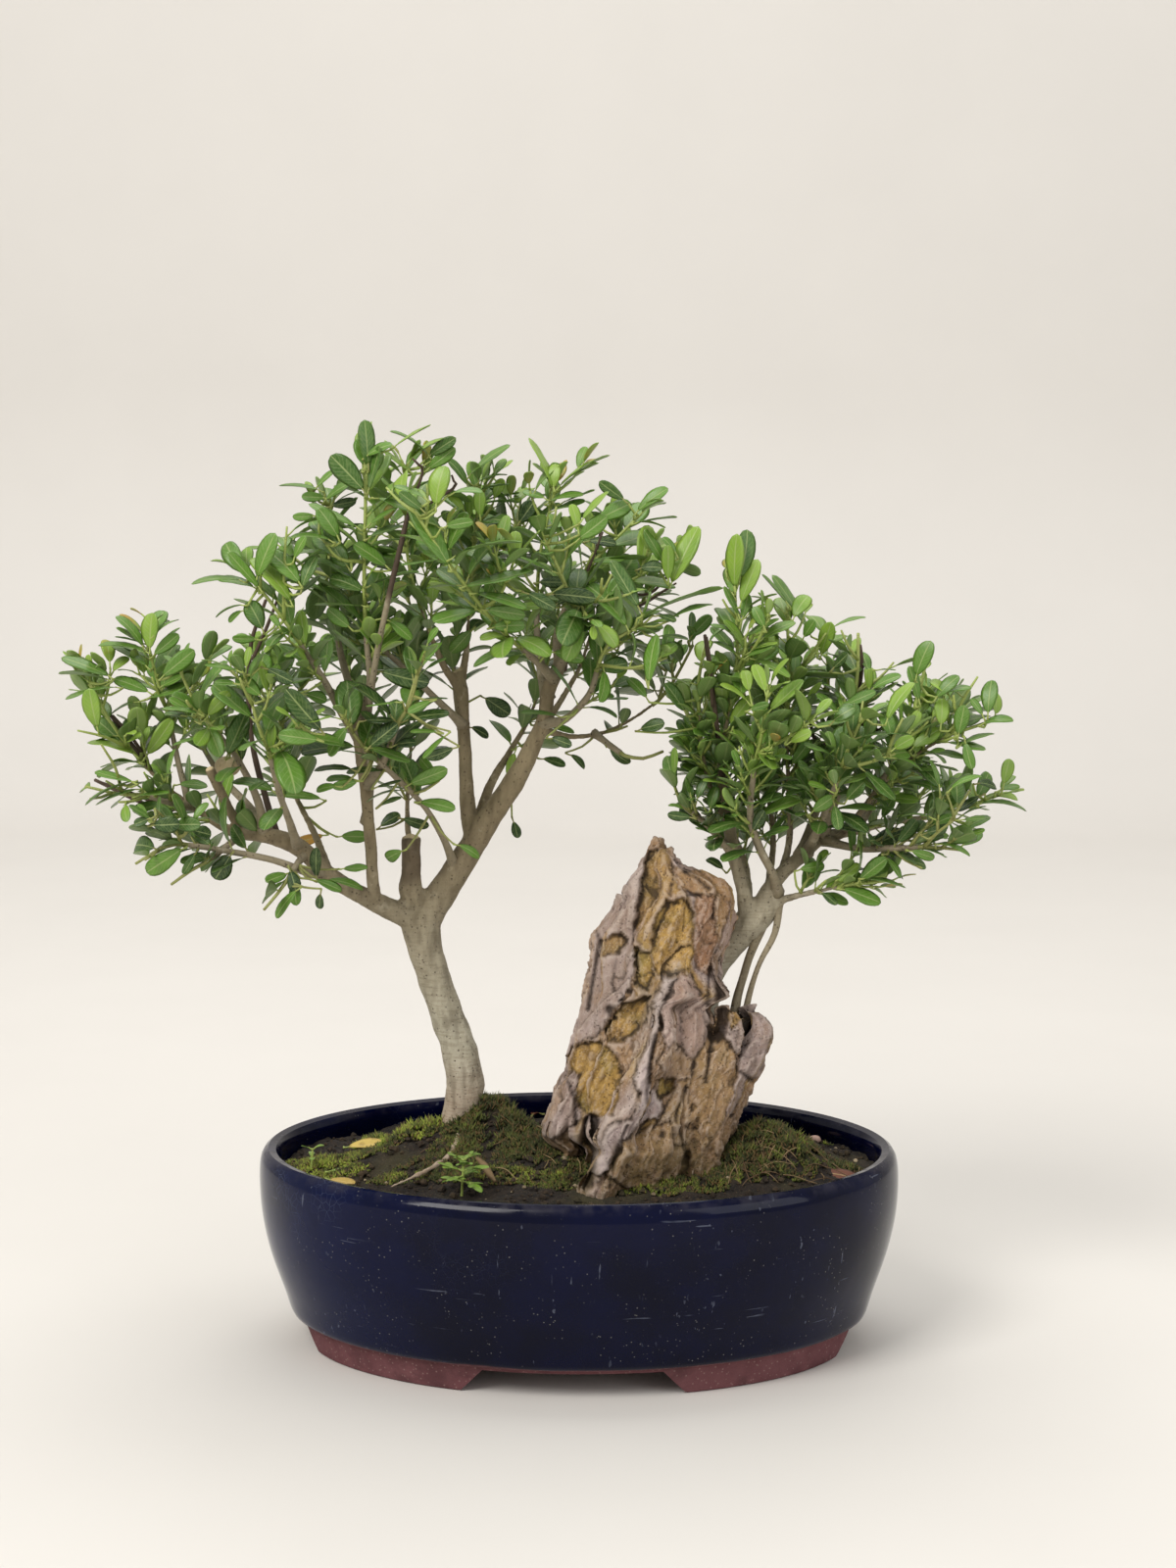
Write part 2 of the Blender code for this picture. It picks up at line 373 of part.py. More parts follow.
SEEDLING_LEAN = Vector((1.0, -0.5, 0.0))
SEEDLING_PAIR_STEP = 0.3  # between pairs, as a share of the stem
SEEDLING_PAIR_DROP = 0.6  # of a pair's foot below its place on the stem
SEEDLING_TURNS = (25.0, 75.0)     # degrees: of the first pair, and more for each next
SEEDLING_RISE = (0.5, 0.15)       # of the first pair's leaves, and less for each next
SEEDLING_LEAF_SHARE = 0.5
STEEPEST_GROUND = 0.3     # upward part of a normal below which level ground is taken
FALL_START = 12.0         # how high above the soil a fallen leaf starts, and its step down
FALL_STEP = 0.1
SMOOTH_SHADE_ANGLE = 30.0

MATERIALS = {
    "glazed_clay": ((0.006, 0.010, 0.035, 1.0), 0.12, 0.0),
    "soil": ((0.035, 0.022, 0.012, 1.0), 0.95, 0.0),
    "rock": ((0.30, 0.22, 0.15, 1.0), 0.85, 0.0),
    "bark": ((0.32, 0.26, 0.18, 1.0), 0.8, 0.0),
    "drain_mesh": ((0.02, 0.02, 0.02, 1.0), 0.5, 0.0),
    "leaf_young": ((0.16, 0.34, 0.04, 1.0), 0.4, 0.0),
    "leaf_grown": ((0.06, 0.20, 0.03, 1.0), 0.35, 0.0),
    "leaf_old": ((0.03, 0.11, 0.03, 1.0), 0.3, 0.0),
    "leaf_yellow": ((0.55, 0.40, 0.10, 1.0), 0.6, 0.0),
    "leaf_brown": ((0.16, 0.08, 0.05, 1.0), 0.7, 0.0),
}
TINTS = ("leaf_young", "leaf_grown", "leaf_old")


def clear_scene():
    for item in list(bpy.data.objects):
        bpy.data.objects.remove(item, do_unlink=True)


def make_collection(name):
    collection = bpy.data.collections.new(name)
    bpy.context.scene.collection.children.link(collection)
    return collection


def material(name):
    """The Principled material of this name, made on first use."""
    if name in bpy.data.materials:
        return bpy.data.materials[name]
    colour, roughness, metallic = MATERIALS[name]
    made = bpy.data.materials.new(name)
    made.use_nodes = True
    shader = made.node_tree.nodes["Principled BSDF"]
    shader.inputs["Base Color"].default_value = colour
    shader.inputs["Roughness"].default_value = roughness
    shader.inputs["Metallic"].default_value = metallic
    made.diffuse_color = colour
    return made


def mesh_object(name, verts, faces, collection):
    """An object from points in millimetres."""
    mesh = bpy.data.meshes.new(name)
    mesh.from_pydata([Vector(v) * MM for v in verts], [], faces)
    made = bpy.data.objects.new(name, mesh)
    collection.objects.link(made)
    return made


def finish(piece, material_name, smooth_angle=40.0):
    """Give a piece its material and smooth shading."""
    piece.data.materials.clear()
    piece.data.materials.append(material(material_name))
    piece.data.shade_smooth()
    piece.data.set_sharp_from_angle(angle=math.radians(smooth_angle))
    return piece


def loft(name, rings, collection):
    """A closed body through rings of equal point count, with a flat cap at each end.

    Its faces are split alike each time, so a hole made from larger rings stays clear.
    """
    count = len(rings[0])
    verts = [point for ring in rings for point in ring]
    faces = [tuple(reversed(range(count)))]
    for row in range(len(rings) - 1):
        for i in range(count):
            j = (i + 1) % count
            low, high = row * count, (row + 1) * count
            faces += [(low + i, low + j, high + j), (low + i, high + j, high + i)]
    faces.append(tuple(range((len(rings) - 1) * count, len(rings) * count)))
    return mesh_object(name, verts, faces, collection)


def oval(half_x, half_y, z, segments, centre=(0.0, 0.0)):
    turns = [math.tau * i / segments for i in range(segments)]
    return [Vector((centre[0] + half_x * math.cos(t), centre[1] + half_y * math.sin(t), z))
            for t in turns]


def apply_modifiers(piece):
    """Replace a piece's mesh by its evaluated one."""
    bpy.context.view_layer.update()
    evaluated = piece.evaluated_get(bpy.context.evaluated_depsgraph_get())
    mesh = bpy.data.meshes.new_from_object(evaluated)
    piece.modifiers.clear()
    piece.data = mesh
    return piece


def join(pieces, solver="MANIFOLD"):
    """Unite overlapping pieces into the first one and remove the others."""
    base = pieces[0]
    if len(pieces) == 1:
        return base
    others = make_collection("joining")
    for piece in pieces[1:]:
        for holder in list(piece.users_collection):
            holder.objects.unlink(piece)
        others.objects.link(piece)
    union = base.modifiers.new("join", "BOOLEAN")
    union.operation = "UNION"
    union.operand_type = "COLLECTION"
    union.collection = others
    union.solver = solver
    apply_modifiers(base)
    for piece in pieces[1:]:
        bpy.data.objects.remove(piece, do_unlink=True)
    bpy.data.collections.remove(others)
    return base


def cut(piece, cutter, solver="EXACT"):
    """Take a cutter's shape out of a piece, and remove the cutter."""
    difference = piece.modifiers.new("cut", "BOOLEAN")
    difference.operation = "DIFFERENCE"
    difference.object = cutter
    difference.solver = solver
    apply_modifiers(piece)
    bpy.data.objects.remove(cutter, do_unlink=True)
    return piece


def as_cutter(piece):
    piece.hide_render = True
    piece.display_type = "WIRE"
    return piece


def largest_body(piece):
    """Drop loose scraps that a cut leaves, keeping the body with the most faces."""
    shape = bmesh.new()
    shape.from_mesh(piece.data)
    left = set(shape.verts)
    bodies = []
    while left:
        stack = [left.pop()]
        body = set(stack)
        while stack:
            for edge in stack.pop().link_edges:
                for vert in edge.verts:
                    if vert in left:
                        left.remove(vert)
                        body.add(vert)
                        stack.append(vert)
        bodies.append(body)
    keep = max(bodies, key=len)
    loose = [vert for vert in shape.verts if vert not in keep]
    bmesh.ops.delete(shape, geom=loose, context="VERTS")
    shape.to_mesh(piece.data)
    shape.free()
    return piece


def smooth_path(points, spacing):
    """Points (x, y, z, radius) along a Catmull-Rom curve through the given ones."""
    knots = [Vector(p).to_4d() if len(p) == 3 else Vector(p) for p in points]
    ends = [knots[0] * 2 - knots[1]] + knots + [knots[-1] * 2 - knots[-2]]
    path = []
    for i in range(1, len(ends) - 2):
        a, b, c, d = ends[i - 1:i + 3]
        steps = max(1, round((c.to_3d() - b.to_3d()).length / spacing))
        for step in range(steps):
            t = step / steps
            path.append(0.5 * ((2 * b) + (c - a) * t + (2 * a - 5 * b + 4 * c - d) * t * t
                               + (3 * b - a - 3 * c + d) * t ** 3))
    path.append(knots[-1])
    return path


def path_frames(path):
    """Turned cross-section axes along a path, carried without twist."""
    places = [p.to_3d() for p in path]
    frames = []
    side = None
    for i, place in enumerate(places):
        ahead = places[min(i + 1, len(places) - 1)] - places[max(i - 1, 0)]
        ahead.normalize()
        if side is None:
            side = ahead.orthogonal().normalized()
        side = (side - ahead * side.dot(ahead)).normalized()
        frames.append((place, side, ahead.cross(side), ahead))
    return frames


def tube(name, points, sides, spacing, collection, roughness=0.0, extra=0.0):
    """A closed tapering stem through points (x, y, z, radius), with knobbly bark.

    With an extra, the stem is that much larger all round, ends included.
    """
    path = smooth_path(points, spacing)
    rings = []
    for row, (knot, (place, side, other, ahead)) in enumerate(zip(path, path_frames(path))):
        ring = []
        stretch = ahead * extra * ((row == len(path) - 1) - (row == 0))
        for i in range(sides):
            turn = math.tau * i / sides
            out = side * math.cos(turn) + other * math.sin(turn)
            bump = noise.noise((place + out * BARK_SPREAD) * BARK_GRAIN) * roughness
            ring.append(place + stretch + out * (knot.w * (1.0 + bump) + extra))
        rings.append(ring)
    return loft(name, rings, collection)


def soil_height(x, y):
    """Height of the soil: mounds that fade towards the pot's wall."""
    reach = math.hypot(x / POT_HALF_LENGTH, y / POT_HALF_DEPTH)
    fade = max(0.0, 1.0 - (reach / SOIL_FADE_REACH) ** SOIL_FADE_POWER)
    height = SOIL_LEVEL
    for mound_x, mound_y, spread_x, spread_y, rise in SOIL_MOUNDS:
        far = ((x - mound_x) / spread_x) ** 2 + ((y - mound_y) / spread_y) ** 2
        height += rise * math.exp(-far) * fade
    return height + SOIL_ROUGHNESS * noise.noise(Vector((x, y, SOIL_SEED)) * SOIL_GRAIN)


def inner_inset(z):
    """Inset of the pot's inner wall at a height."""
    for (high_inset, high), (low_inset, low) in zip(INNER_WALL, INNER_WALL[1:]):
        if low <= z <= high:
            share = (z - low) / (high - low)
            return low_inset + (high_inset - low_inset) * share
    return INNER_WALL[0][0]


def build_pot(parts, cutters):
    rings = [oval(POT_HALF_LENGTH - inset, POT_HALF_DEPTH - inset, z, POT_SEGMENTS)
             for inset, z in POT_PROFILE]
    pot = loft("pot", rings, parts)
    below, reach = -CUT_REACH, POT_HALF_LENGTH + CUT_REACH
    widening = FOOT_GAP_SLOPE / FOOT_GAP_TOP * CUT_REACH
    for along_x, half in ((False, FOOT_GAP_FRONT), (True, FOOT_GAP_SIDE)):
        rings = []
        for end in (-reach, reach):
            corners = [(-half - widening, below), (half + widening, below),
                       (half - FOOT_GAP_SLOPE, FOOT_GAP_TOP),
                       (-half + FOOT_GAP_SLOPE, FOOT_GAP_TOP)]
            rings.append([Vector((end, s, z)) if along_x else Vector((s, -end, z))
                          for s, z in corners])
        cut(pot, as_cutter(loft("foot_gap", rings, cutters)))
    for x in (-DRAIN_HOLE_X, DRAIN_HOLE_X):
        rings = [oval(DRAIN_HOLE_RADIUS, DRAIN_HOLE_RADIUS, z, DRAIN_HOLE_SEGMENTS, (x, 0.0))
                 for z in (UNDERSIDE - CUT_REACH, FLOOR_TOP + CUT_REACH)]
        cut(pot, as_cutter(loft("drain_hole", rings, cutters)))
    return finish(pot, "glazed_clay")


def box_between(name, low, high, collection):
    corners = [[Vector((x, y, z)) for x, y in ((low[0], low[1]), (high[0], low[1]),
                                               (high[0], high[1]), (low[0], high[1]))]
               for z in (low[2], high[2])]
    return loft(name, corners, collection)


def build_drain_mesh(name, x, parts):
    """A square grid of plastic bars lying over a drain hole."""
    half, thin = DRAIN_MESH_SIZE / 2, DRAIN_MESH_BAR / 2
    low, high = FLOOR_TOP + GAP, FLOOR_TOP + GAP + DRAIN_MESH_BAR
    bars = []
    for i in range(DRAIN_MESH_BARS):
        middle = (DRAIN_MESH_SIZE - DRAIN_MESH_BAR) * (i / (DRAIN_MESH_BARS - 1) - 0.5)
        bars.append(box_between(name, (x - half, middle - thin, low),
                                (x + half, middle + thin, high), parts))
        bars.append(box_between(name + "_bar", (x + middle - thin, -half, low + DRAIN_MESH_STEP),
                                (x + middle + thin, half, high - DRAIN_MESH_STEP), parts))
    grid = join(bars)
    grid.name = name
    return finish(grid, "drain_mesh")


def build_soil(parts, cutters, standing):
    """Soil that fills the pot, with plain holes for what stands in it."""
    bottom = FLOOR_TOP + GAP
    rings = []
    for z in (bottom, *SOIL_WALL_HEIGHTS):
        inset = inner_inset(max(z - GAP, FLOOR_TOP)) + CUT_GAP
        rings.append(oval(POT_HALF_LENGTH - inset, POT_HALF_DEPTH - inset, z, POT_SEGMENTS))
    rim = POT_HALF_LENGTH - inner_inset(SOIL_EDGE) - SOIL_EDGE_GAP
    depth = POT_HALF_DEPTH - inner_inset(SOIL_EDGE) - SOIL_EDGE_GAP
    for ring in range(SOIL_RINGS, 0, -1):
        share = (ring / SOIL_RINGS) ** SOIL_RING_SPREAD
        flat = oval(rim * share, depth * share, 0.0, POT_SEGMENTS)
        rings.append([Vector((p.x, p.y, soil_height(p.x, p.y))) for p in flat])
    soil = loft("soil", rings, parts)
    for cutter in standing:
        cut(soil, cutter, "MANIFOLD")
    room = DRAIN_MESH_SIZE / 2 + CUT_GAP
    for x in (-DRAIN_HOLE_X, DRAIN_HOLE_X):
        pocket = box_between("mesh_room", (x - room, -room, bottom - CUT_REACH),
                             (x + room, room, FLOOR_TOP + DRAIN_MESH_BAR + 2 * GAP), cutters)
        cut(soil, as_cutter(pocket))
    return finish(largest_body(soil), "soil", 60.0)


def crag(name, sections, seed, collection, extra=0.0):
    """A closed block of rock through oval sections, with upright ridges."""
    path = smooth_path([(x, y, z, half) for x, y, z, half, depth in sections], ROCK_ROW_HEIGHT)
    depths = smooth_path([(x, y, z, depth) for x, y, z, half, depth in sections], ROCK_ROW_HEIGHT)
    rings = []
    for row, (knot, deep) in enumerate(zip(path, depths)):
        ring = []
        for i in range(ROCK_COLUMNS):
            turn = math.tau * i / ROCK_COLUMNS
            out_x, out_y = math.cos(turn), math.sin(turn)
            wide, fine = RIDGE_DETAIL
            ridge = noise.noise(Vector((out_x * wide, out_y * wide, knot.z * fine + seed)))
            wide, fine = CHIP_DETAIL
            chip = noise.noise(Vector((out_x * wide, out_y * wide, knot.z * fine + seed * 2)))
            crest = RIDGE_SWELL * (RIDGE_LEVEL - abs(ridge) * RIDGE_SHARPNESS)
            swell = 1.0 + ROCK_RELIEF * (crest + CHIP_SWELL * chip)
            lift = CHIP_LIFT * chip if 0 < row < len(path) - 1 else 0.0
            if row == 0:
                lift -= extra
            ring.append(Vector((knot.x + (max(knot.w, 1.0) * swell + extra) * out_x,
                                knot.y + (max(deep.w, 1.0) * swell + extra) * out_y,
                                knot.z + lift)))
        rings.append(ring)
    return loft(name, rings, collection)


def ellipsoid(name, centre, radii, collection):
    shape = bmesh.new()
    around, up = POCKET_SEGMENTS
    bmesh.ops.create_uvsphere(shape, u_segments=around, v_segments=up, radius=MM)
    spread = Matrix.Diagonal(Vector(radii)).to_4x4()
    bmesh.ops.transform(shape, matrix=Matrix.Translation(Vector(centre) * MM) @ spread,
                        verts=shape.verts)
    mesh = bpy.data.meshes.new(name)
    shape.to_mesh(mesh)
    shape.free()
    made = bpy.data.objects.new(name, mesh)
    collection.objects.link(made)
    return made


def joined_crags(collection, extra=0.0):
    return join([crag("rock_" + name, sections, seed * ROCK_SEED, collection, extra)
                 for seed, (name, sections) in enumerate(ROCK_CRAGS.items())])


def build_rock(parts, cutters):
    rock = joined_crags(parts)
    rock.name = "rock"
    cut(rock, as_cutter(ellipsoid("pocket", POCKET_CENTRE, POCKET_RADII, cutters)), "MANIFOLD")
    cut(rock, wood_hole(RIGHT_WOOD, RIGHT_ROOTS, cutters), "MANIFOLD")
    return finish(largest_body(rock), "rock", 30.0)


def build_pocket_soil(parts, cutters):
    """Soil in the rock's pocket, below a nearly level surface."""
    radii = [radius - CUT_GAP for radius in POCKET_RADII]
    soil = ellipsoid("pocket_soil", POCKET_CENTRE, radii, parts)
    x, y, z = POCKET_CENTRE
    above = box_between("above_pocket", (x - POCKET_BOX, y - POCKET_BOX, POCKET_FILL),
                        (x + POCKET_BOX, y + POCKET_BOX, z + POCKET_BOX), cutters)
    cut(soil, as_cutter(above), "MANIFOLD")
    cut(soil, wood_hole(RIGHT_WOOD, RIGHT_ROOTS, cutters), "MANIFOLD")
    return finish(largest_body(soil), "soil", 60.0)


def branch_tube(name, branch, collection, extra=0.0):
    sides, points = branch
    thick = max(radius for x, y, z, radius in points)
    rough = THICK_ROUGHNESS if thick > THICK_FROM else THIN_ROUGHNESS
    return tube(name, points, sides, WOOD_RING_SPACING, collection, rough, extra)


def build_wood(name, branches, parts):
    wood = join([branch_tube(name + "_" + key, branch, parts) for key, branch in branches.items()])
    wood.name = name
    return finish(wood, "bark", 50.0)


def wood_hole(branches, keys, cutters):
    """The hole that some of a tree's branches need in what they stand in."""
    return as_cutter(join([branch_tube("hole_" + key, branches[key], cutters, CUT_GAP)
                           for key in keys]))


def leaf_shape(length, width, thickness, bend):
    """A blade along +X, pointed at both ends, with its midrib raised to +Z."""
    verts = [Vector((0.0, 0.0, 0.0))]
    for share, wide in LEAF_STATIONS:
        x = share * length
        drop = -bend * length * share ** 2
        half = wide * width / 2
        verts += [Vector((x, -half, drop)), Vector((x, 0.0, drop + thickness)),
                  Vector((x, half, drop))]
    verts.append(Vector((length, 0.0, -bend * length)))
    tip = len(verts) - 1
    last = tip - 3
    faces = []
    for k in range(3):
        m = (k + 1) % 3
        faces.append((0, 1 + k, 1 + m))
        faces.append((tip, last + m, last + k))
        for low in range(1, last, 3):
            faces += [(low + m, low + k, low + 3 + k), (low + 3 + m, low + m, low + 3 + k)]
    return verts, faces


def leaf_frame(place, direction, up):
    """The turn and move that put a leaf at a place, along a direction."""
    ahead = direction.normalized()
    side = up.cross(ahead)
    if side.length < 0.05:
        side = ahead.orthogonal()
    side.normalize()
    above = ahead.cross(side)
    turn = Matrix((ahead, side, above)).transposed().to_4x4()
    return Matrix.Translation(place) @ turn


class Space:
    """Remembers the solids that leaves and shoots must keep clear of."""

    def __init__(self):
        self.solids = []

    def add(self, verts, faces, owner):
        tree = BVHTree.FromPolygons(verts, faces)
        middle = sum(verts, Vector()) / len(verts)
        reach = max((v - middle).length for v in verts)
        self.solids.append((middle, reach, tree, owner))

    def add_object(self, piece):
        verts = [v.co / MM for v in piece.data.vertices]
        faces = [tuple(p.vertices) for p in piece.data.polygons]
        self.add(verts, faces, piece.name)

    def is_free(self, verts, faces, ignore):
        tree = BVHTree.FromPolygons(verts, faces)
        middle = sum(verts, Vector()) / len(verts)
        reach = max((v - middle).length for v in verts)
        for other_middle, other_reach, other, owner in self.solids:
            if owner in ignore or (middle - other_middle).length > reach + other_reach:
                continue
            if tree.overlap(other):
                return False
        return True


def shell_of(piece):
    return [v.co / MM for v in piece.data.vertices], [tuple(p.vertices) for p in piece.data.polygons]


def place_leaf(space, rng, owner, place, ahead, outward, length, tilt):
    """A leaf that grows from a stem's middle line and keeps clear of the rest, or None."""
    for attempt in range(LEAF_TRIES):
        loose = attempt / LEAF_TRIES
        angle = math.radians(tilt + rng.uniform(-1, 1) * LEAF_ANGLE_PLAY
                             + rng.uniform(-1, 1) * LEAF_ANGLE_LOOSE * loose)
        spin = math.radians(rng.uniform(-1, 1) * LEAF_SPIN_PLAY
                            + rng.uniform(-1, 1) * LEAF_SPIN_LOOSE * loose)
        around = Matrix.Rotation(spin, 3, ahead) @ outward
        direction = ahead * math.cos(angle) + around * math.sin(angle)
        direction.z += LEAF_LIFT
        size = length * rng.uniform(*LEAF_SIZE_PLAY) * (1.0 - LEAF_SHRINK * loose)
        width = size * LEAF_WIDTH * rng.uniform(*LEAF_WIDTH_PLAY)
        bend = LEAF_BEND * rng.uniform(*LEAF_BEND_PLAY)
        frame = leaf_frame(place, direction, ahead * 0.5 + UP)
        wide, faces = leaf_shape(size + LEAF_CLEARANCE, width + 2 * LEAF_CLEARANCE,
                                 LEAF_THICKNESS + 2 * LEAF_CLEARANCE, bend)
        if space.is_free([frame @ v for v in wide], faces, {owner}):
            verts, faces = leaf_shape(size, width, LEAF_THICKNESS, bend)
            verts = [frame @ v for v in verts]
            space.add(verts, faces, "leaf")
            return verts, faces
    return None


def point_at(path, distance):
    """Place and direction on a broken line at a distance from its start."""
    for a, b in zip(path, path[1:]):
        step = (b - a).length
        if distance <= step:
            break
        distance -= step
    ahead = (b - a).normalized()
    return a + ahead * min(distance, step), ahead


def path_length(path):
    return sum((b - a).length for a, b in zip(path, path[1:]))


class Spray:
    """A leafy spray that grows on from the end of a branch."""

    def __init__(self, name, branch, shoots, tint, centre, parts):
        self.name = name
        self.tint = tint
        self.centre = centre
        self.parts = parts
        self.stems = []
        self.paths = []
        path = smooth_path(branch[1], WOOD_RING_SPACING)
        end = path[-1].to_3d()
        ahead = (end - path[-2].to_3d()).normalized()
        start = end + ahead * GAP
        for number, (share, way) in enumerate(shoots):
            if number == 0:
                route = [start, start + ahead * FIRST_SHOOT_LENGTH] + [Vector(p) for p in way]
                radius = SHOOT_RADIUS
            else:
                main = self.paths[0]
                fork = point_at(main, share * path_length(main) + SHOOT_RADIUS)[0]
                route = [fork] + [Vector(p) for p in way]
                radius = SIDE_SHOOT_RADIUS
            taper = [(p.x, p.y, p.z, radius - SHOOT_TAPER * i / (len(route) - 1))
                     for i, p in enumerate(route)]
            owner = "%s_shoot_%d" % (name, number)
            self.stems.append(tube(owner, taper, SHOOT_SIDES, SHOOT_RING_SPACING, parts))
            self.paths.append([p.to_3d() for p in smooth_path(taper, SHOOT_RING_SPACING)])

    def check(self, space):
        """Name the solids that a shoot runs into, past its own start."""
        for number, path in enumerate(self.paths):
            total = path_length(path)
            probe_radius = SHOOT_RADIUS + CUT_GAP
            points = [(*point_at(path, total * share)[0], probe_radius) for share in PROBE_SHARES]
            probe = tube("probe", points, SHOOT_SIDES, SHOOT_RING_SPACING, self.parts)
            verts, faces = shell_of(probe)
            bpy.data.objects.remove(probe, do_unlink=True)
            if not space.is_free(verts, faces, {self.name}):
                print(self.name, "shoot", number, "runs into a neighbour")
            space.add(*shell_of(self.stems[number]), self.name)

    def grow(self, space, seed):
        """Set pairs of leaves crosswise along each shoot, from its tip down."""
        rng = random.Random(seed)
        blades = []
        for path in self.paths:
            total = path_length(path)
            pairs = max(1, round(total / NODE_SPACING))
            turn = rng.uniform(0, math.tau)
            for pair in range(pairs, 0, -1):
                last = pair == pairs
                place, ahead = point_at(path, total - TIP_SETBACK if last else total * pair / pairs)
                side = ahead.orthogonal().normalized()
                facing = (place - self.centre).normalized() * OUTWARD_PULL
                length = LEAF_LENGTH * TINT_SIZE[self.tint] * (TIP_LEAF_SHARE if last else 1.0)
                tilt = LEAF_ANGLE * (TIP_ANGLE_SHARE if last else 1.0)
                for half in (0, 1):
                    spin = turn + math.pi / 2 * pair + math.pi * half
                    outward = (Matrix.Rotation(spin, 3, ahead) @ side + facing).normalized()
                    made = place_leaf(space, rng, self.name, place, ahead, outward, length, tilt)
                    if made:
                        blades.append(mesh_object("leaf", *made, self.parts))
        spray = join(self.stems + blades)
        spray.name = self.name
        finish(spray, TINTS[self.tint], SMOOTH_SHADE_ANGLE)


def build_sprays(space, parts):
    sprays = []
    trees = (("left", LEFT_WOOD, LEFT_SPRAYS), ("right", RIGHT_WOOD, RIGHT_SPRAYS))
    for tree, wood, table in trees:
        for name, (branch, tint, shoots) in table.items():
            sprays.append(Spray("%s_spray_%s" % (tree, name), wood[branch], shoots, tint,
                                CROWN_CENTRES[tree], parts))
    for spray in sprays:
        spray.check(space)
    for seed, spray in enumerate(sprays):
        spray.grow(space, seed + FIRST_SEED)


def build_fallen_leaf(name, spec, soil, parts):
    """A leaf lying on the soil, let down until it nearly touches."""
    x, y, turn, length, width, bend = spec
    verts, faces = leaf_shape(length, width, LEAF_THICKNESS, bend)
    ground = BVHTree.FromPolygons(*shell_of(soil))
    middle = Vector((x, y, soil_height(x, y)))
    normal = ground.find_nearest(middle)[1]
    if normal.z < STEEPEST_GROUND:
        normal = UP
    direction = Matrix.Rotation(math.radians(turn), 3, UP) @ Vector((1.0, 0.0, 0.0))
    direction -= normal * direction.dot(normal)
    frame = leaf_frame(middle, direction, normal)
    frame = frame @ Matrix.Translation((-length / 2, 0.0, 0.0))
    lift = FALL_START
    while not BVHTree.FromPolygons([frame @ v + UP * (lift - GAP) for v in verts],
                                   faces).overlap(ground):
        lift -= FALL_STEP
    raised = [frame @ v + UP * (lift + FALL_STEP) for v in verts]
    leaf = mesh_object(name, raised, faces, parts)
    return finish(leaf, "leaf_brown" if "brown" in name else "leaf_yellow", SMOOTH_SHADE_ANGLE)


def build_seedling(name, spec, parts):
    """A seedling: a short stem with pairs of small leaves."""
    x, y, height, length, pairs = spec
    foot = Vector((x, y, soil_height(x, y)))
    top = foot + SEEDLING_LEAN + UP * height
    points = [(*(foot - UP * SEEDLING_DEPTH), SEEDLING_RADIUS), (*foot, SEEDLING_RADIUS),
              (*top, SEEDLING_RADIUS * SEEDLING_TAPER)]
    pieces = [tube(name, points, SEEDLING_SIDES, height, parts)]
    for pair in range(pairs):
        place = top.lerp(foot, SEEDLING_PAIR_STEP * pair) - UP * SEEDLING_PAIR_DROP
        for half in (0, 1):
            turn = math.radians(SEEDLING_TURNS[0] + SEEDLING_TURNS[1] * pair + 180.0 * half)
            rise = SEEDLING_RISE[0] - SEEDLING_RISE[1] * pair
            direction = Vector((math.cos(turn), math.sin(turn), rise))
            frame = leaf_frame(place, direction, UP)
            verts, faces = leaf_shape(length, length * SEEDLING_LEAF_SHARE, LEAF_THICKNESS,
                                      LEAF_BEND)
            pieces.append(mesh_object("leaf", [frame @ v for v in verts], faces, parts))
    seedling = join(pieces)
    seedling.name = name
    return finish(seedling, "leaf_young", SMOOTH_SHADE_ANGLE)


def seedling_hole(spec, cutters):
    x, y, height, length, pairs = spec
    ground = soil_height(x, y)
    radius = SEEDLING_RADIUS + CUT_GAP
    rings = [oval(radius, radius, z, SEEDLING_HOLE_SIDES, (x, y))
             for z in (ground - SEEDLING_DEPTH - CUT_GAP, ground + SEEDLING_HOLE_HEIGHT)]
    return as_cutter(loft("seedling_hole", rings, cutters))


def shift_origin(parts):
    """Move everything so that the origin is at the bottom centre of the whole box."""
    places = [vert.co for piece in parts.objects for vert in piece.data.vertices]
    low = Vector([min(axis) for axis in zip(*places)])
    high = Vector([max(axis) for axis in zip(*places)])
    shift = Vector(((low.x + high.x) / 2, (low.y + high.y) / 2, low.z))
    for piece in parts.objects:
        piece.data.transform(Matrix.Translation(-shift))
    print("origin shift in mm:", [round(value / MM, 2) for value in shift])


def main():
    clear_scene()
    parts = make_collection("privet_bonsai")
    cutters = make_collection("cutters")
    build_pot(parts, cutters)
    for side, x in (("left", -DRAIN_HOLE_X), ("right", DRAIN_HOLE_X)):
        build_drain_mesh("drain_mesh_" + side, x, parts)
    build_wood("left_tree_wood", LEFT_WOOD, parts)
    build_wood("right_tree_wood", RIGHT_WOOD, parts)
    build_rock(parts, cutters)
    build_pocket_soil(parts, cutters)
    standing = [wood_hole(LEFT_WOOD, LEFT_ROOTS, cutters),
                wood_hole(RIGHT_WOOD, RIGHT_ROOTS[:1], cutters),
                as_cutter(joined_crags(cutters, ROCK_CUT_GAP))]
    standing += [seedling_hole(spec, cutters) for spec in SEEDLINGS.values()]
    soil = build_soil(parts, cutters, standing)
    space = Space()
    for piece in parts.objects:
        space.add_object(piece)
    build_sprays(space, parts)
    for name, spec in FALLEN_LEAVES.items():
        build_fallen_leaf(name, spec, soil, parts)
    for name, spec in SEEDLINGS.items():
        build_seedling(name, spec, parts)
    shift_origin(parts)


main()
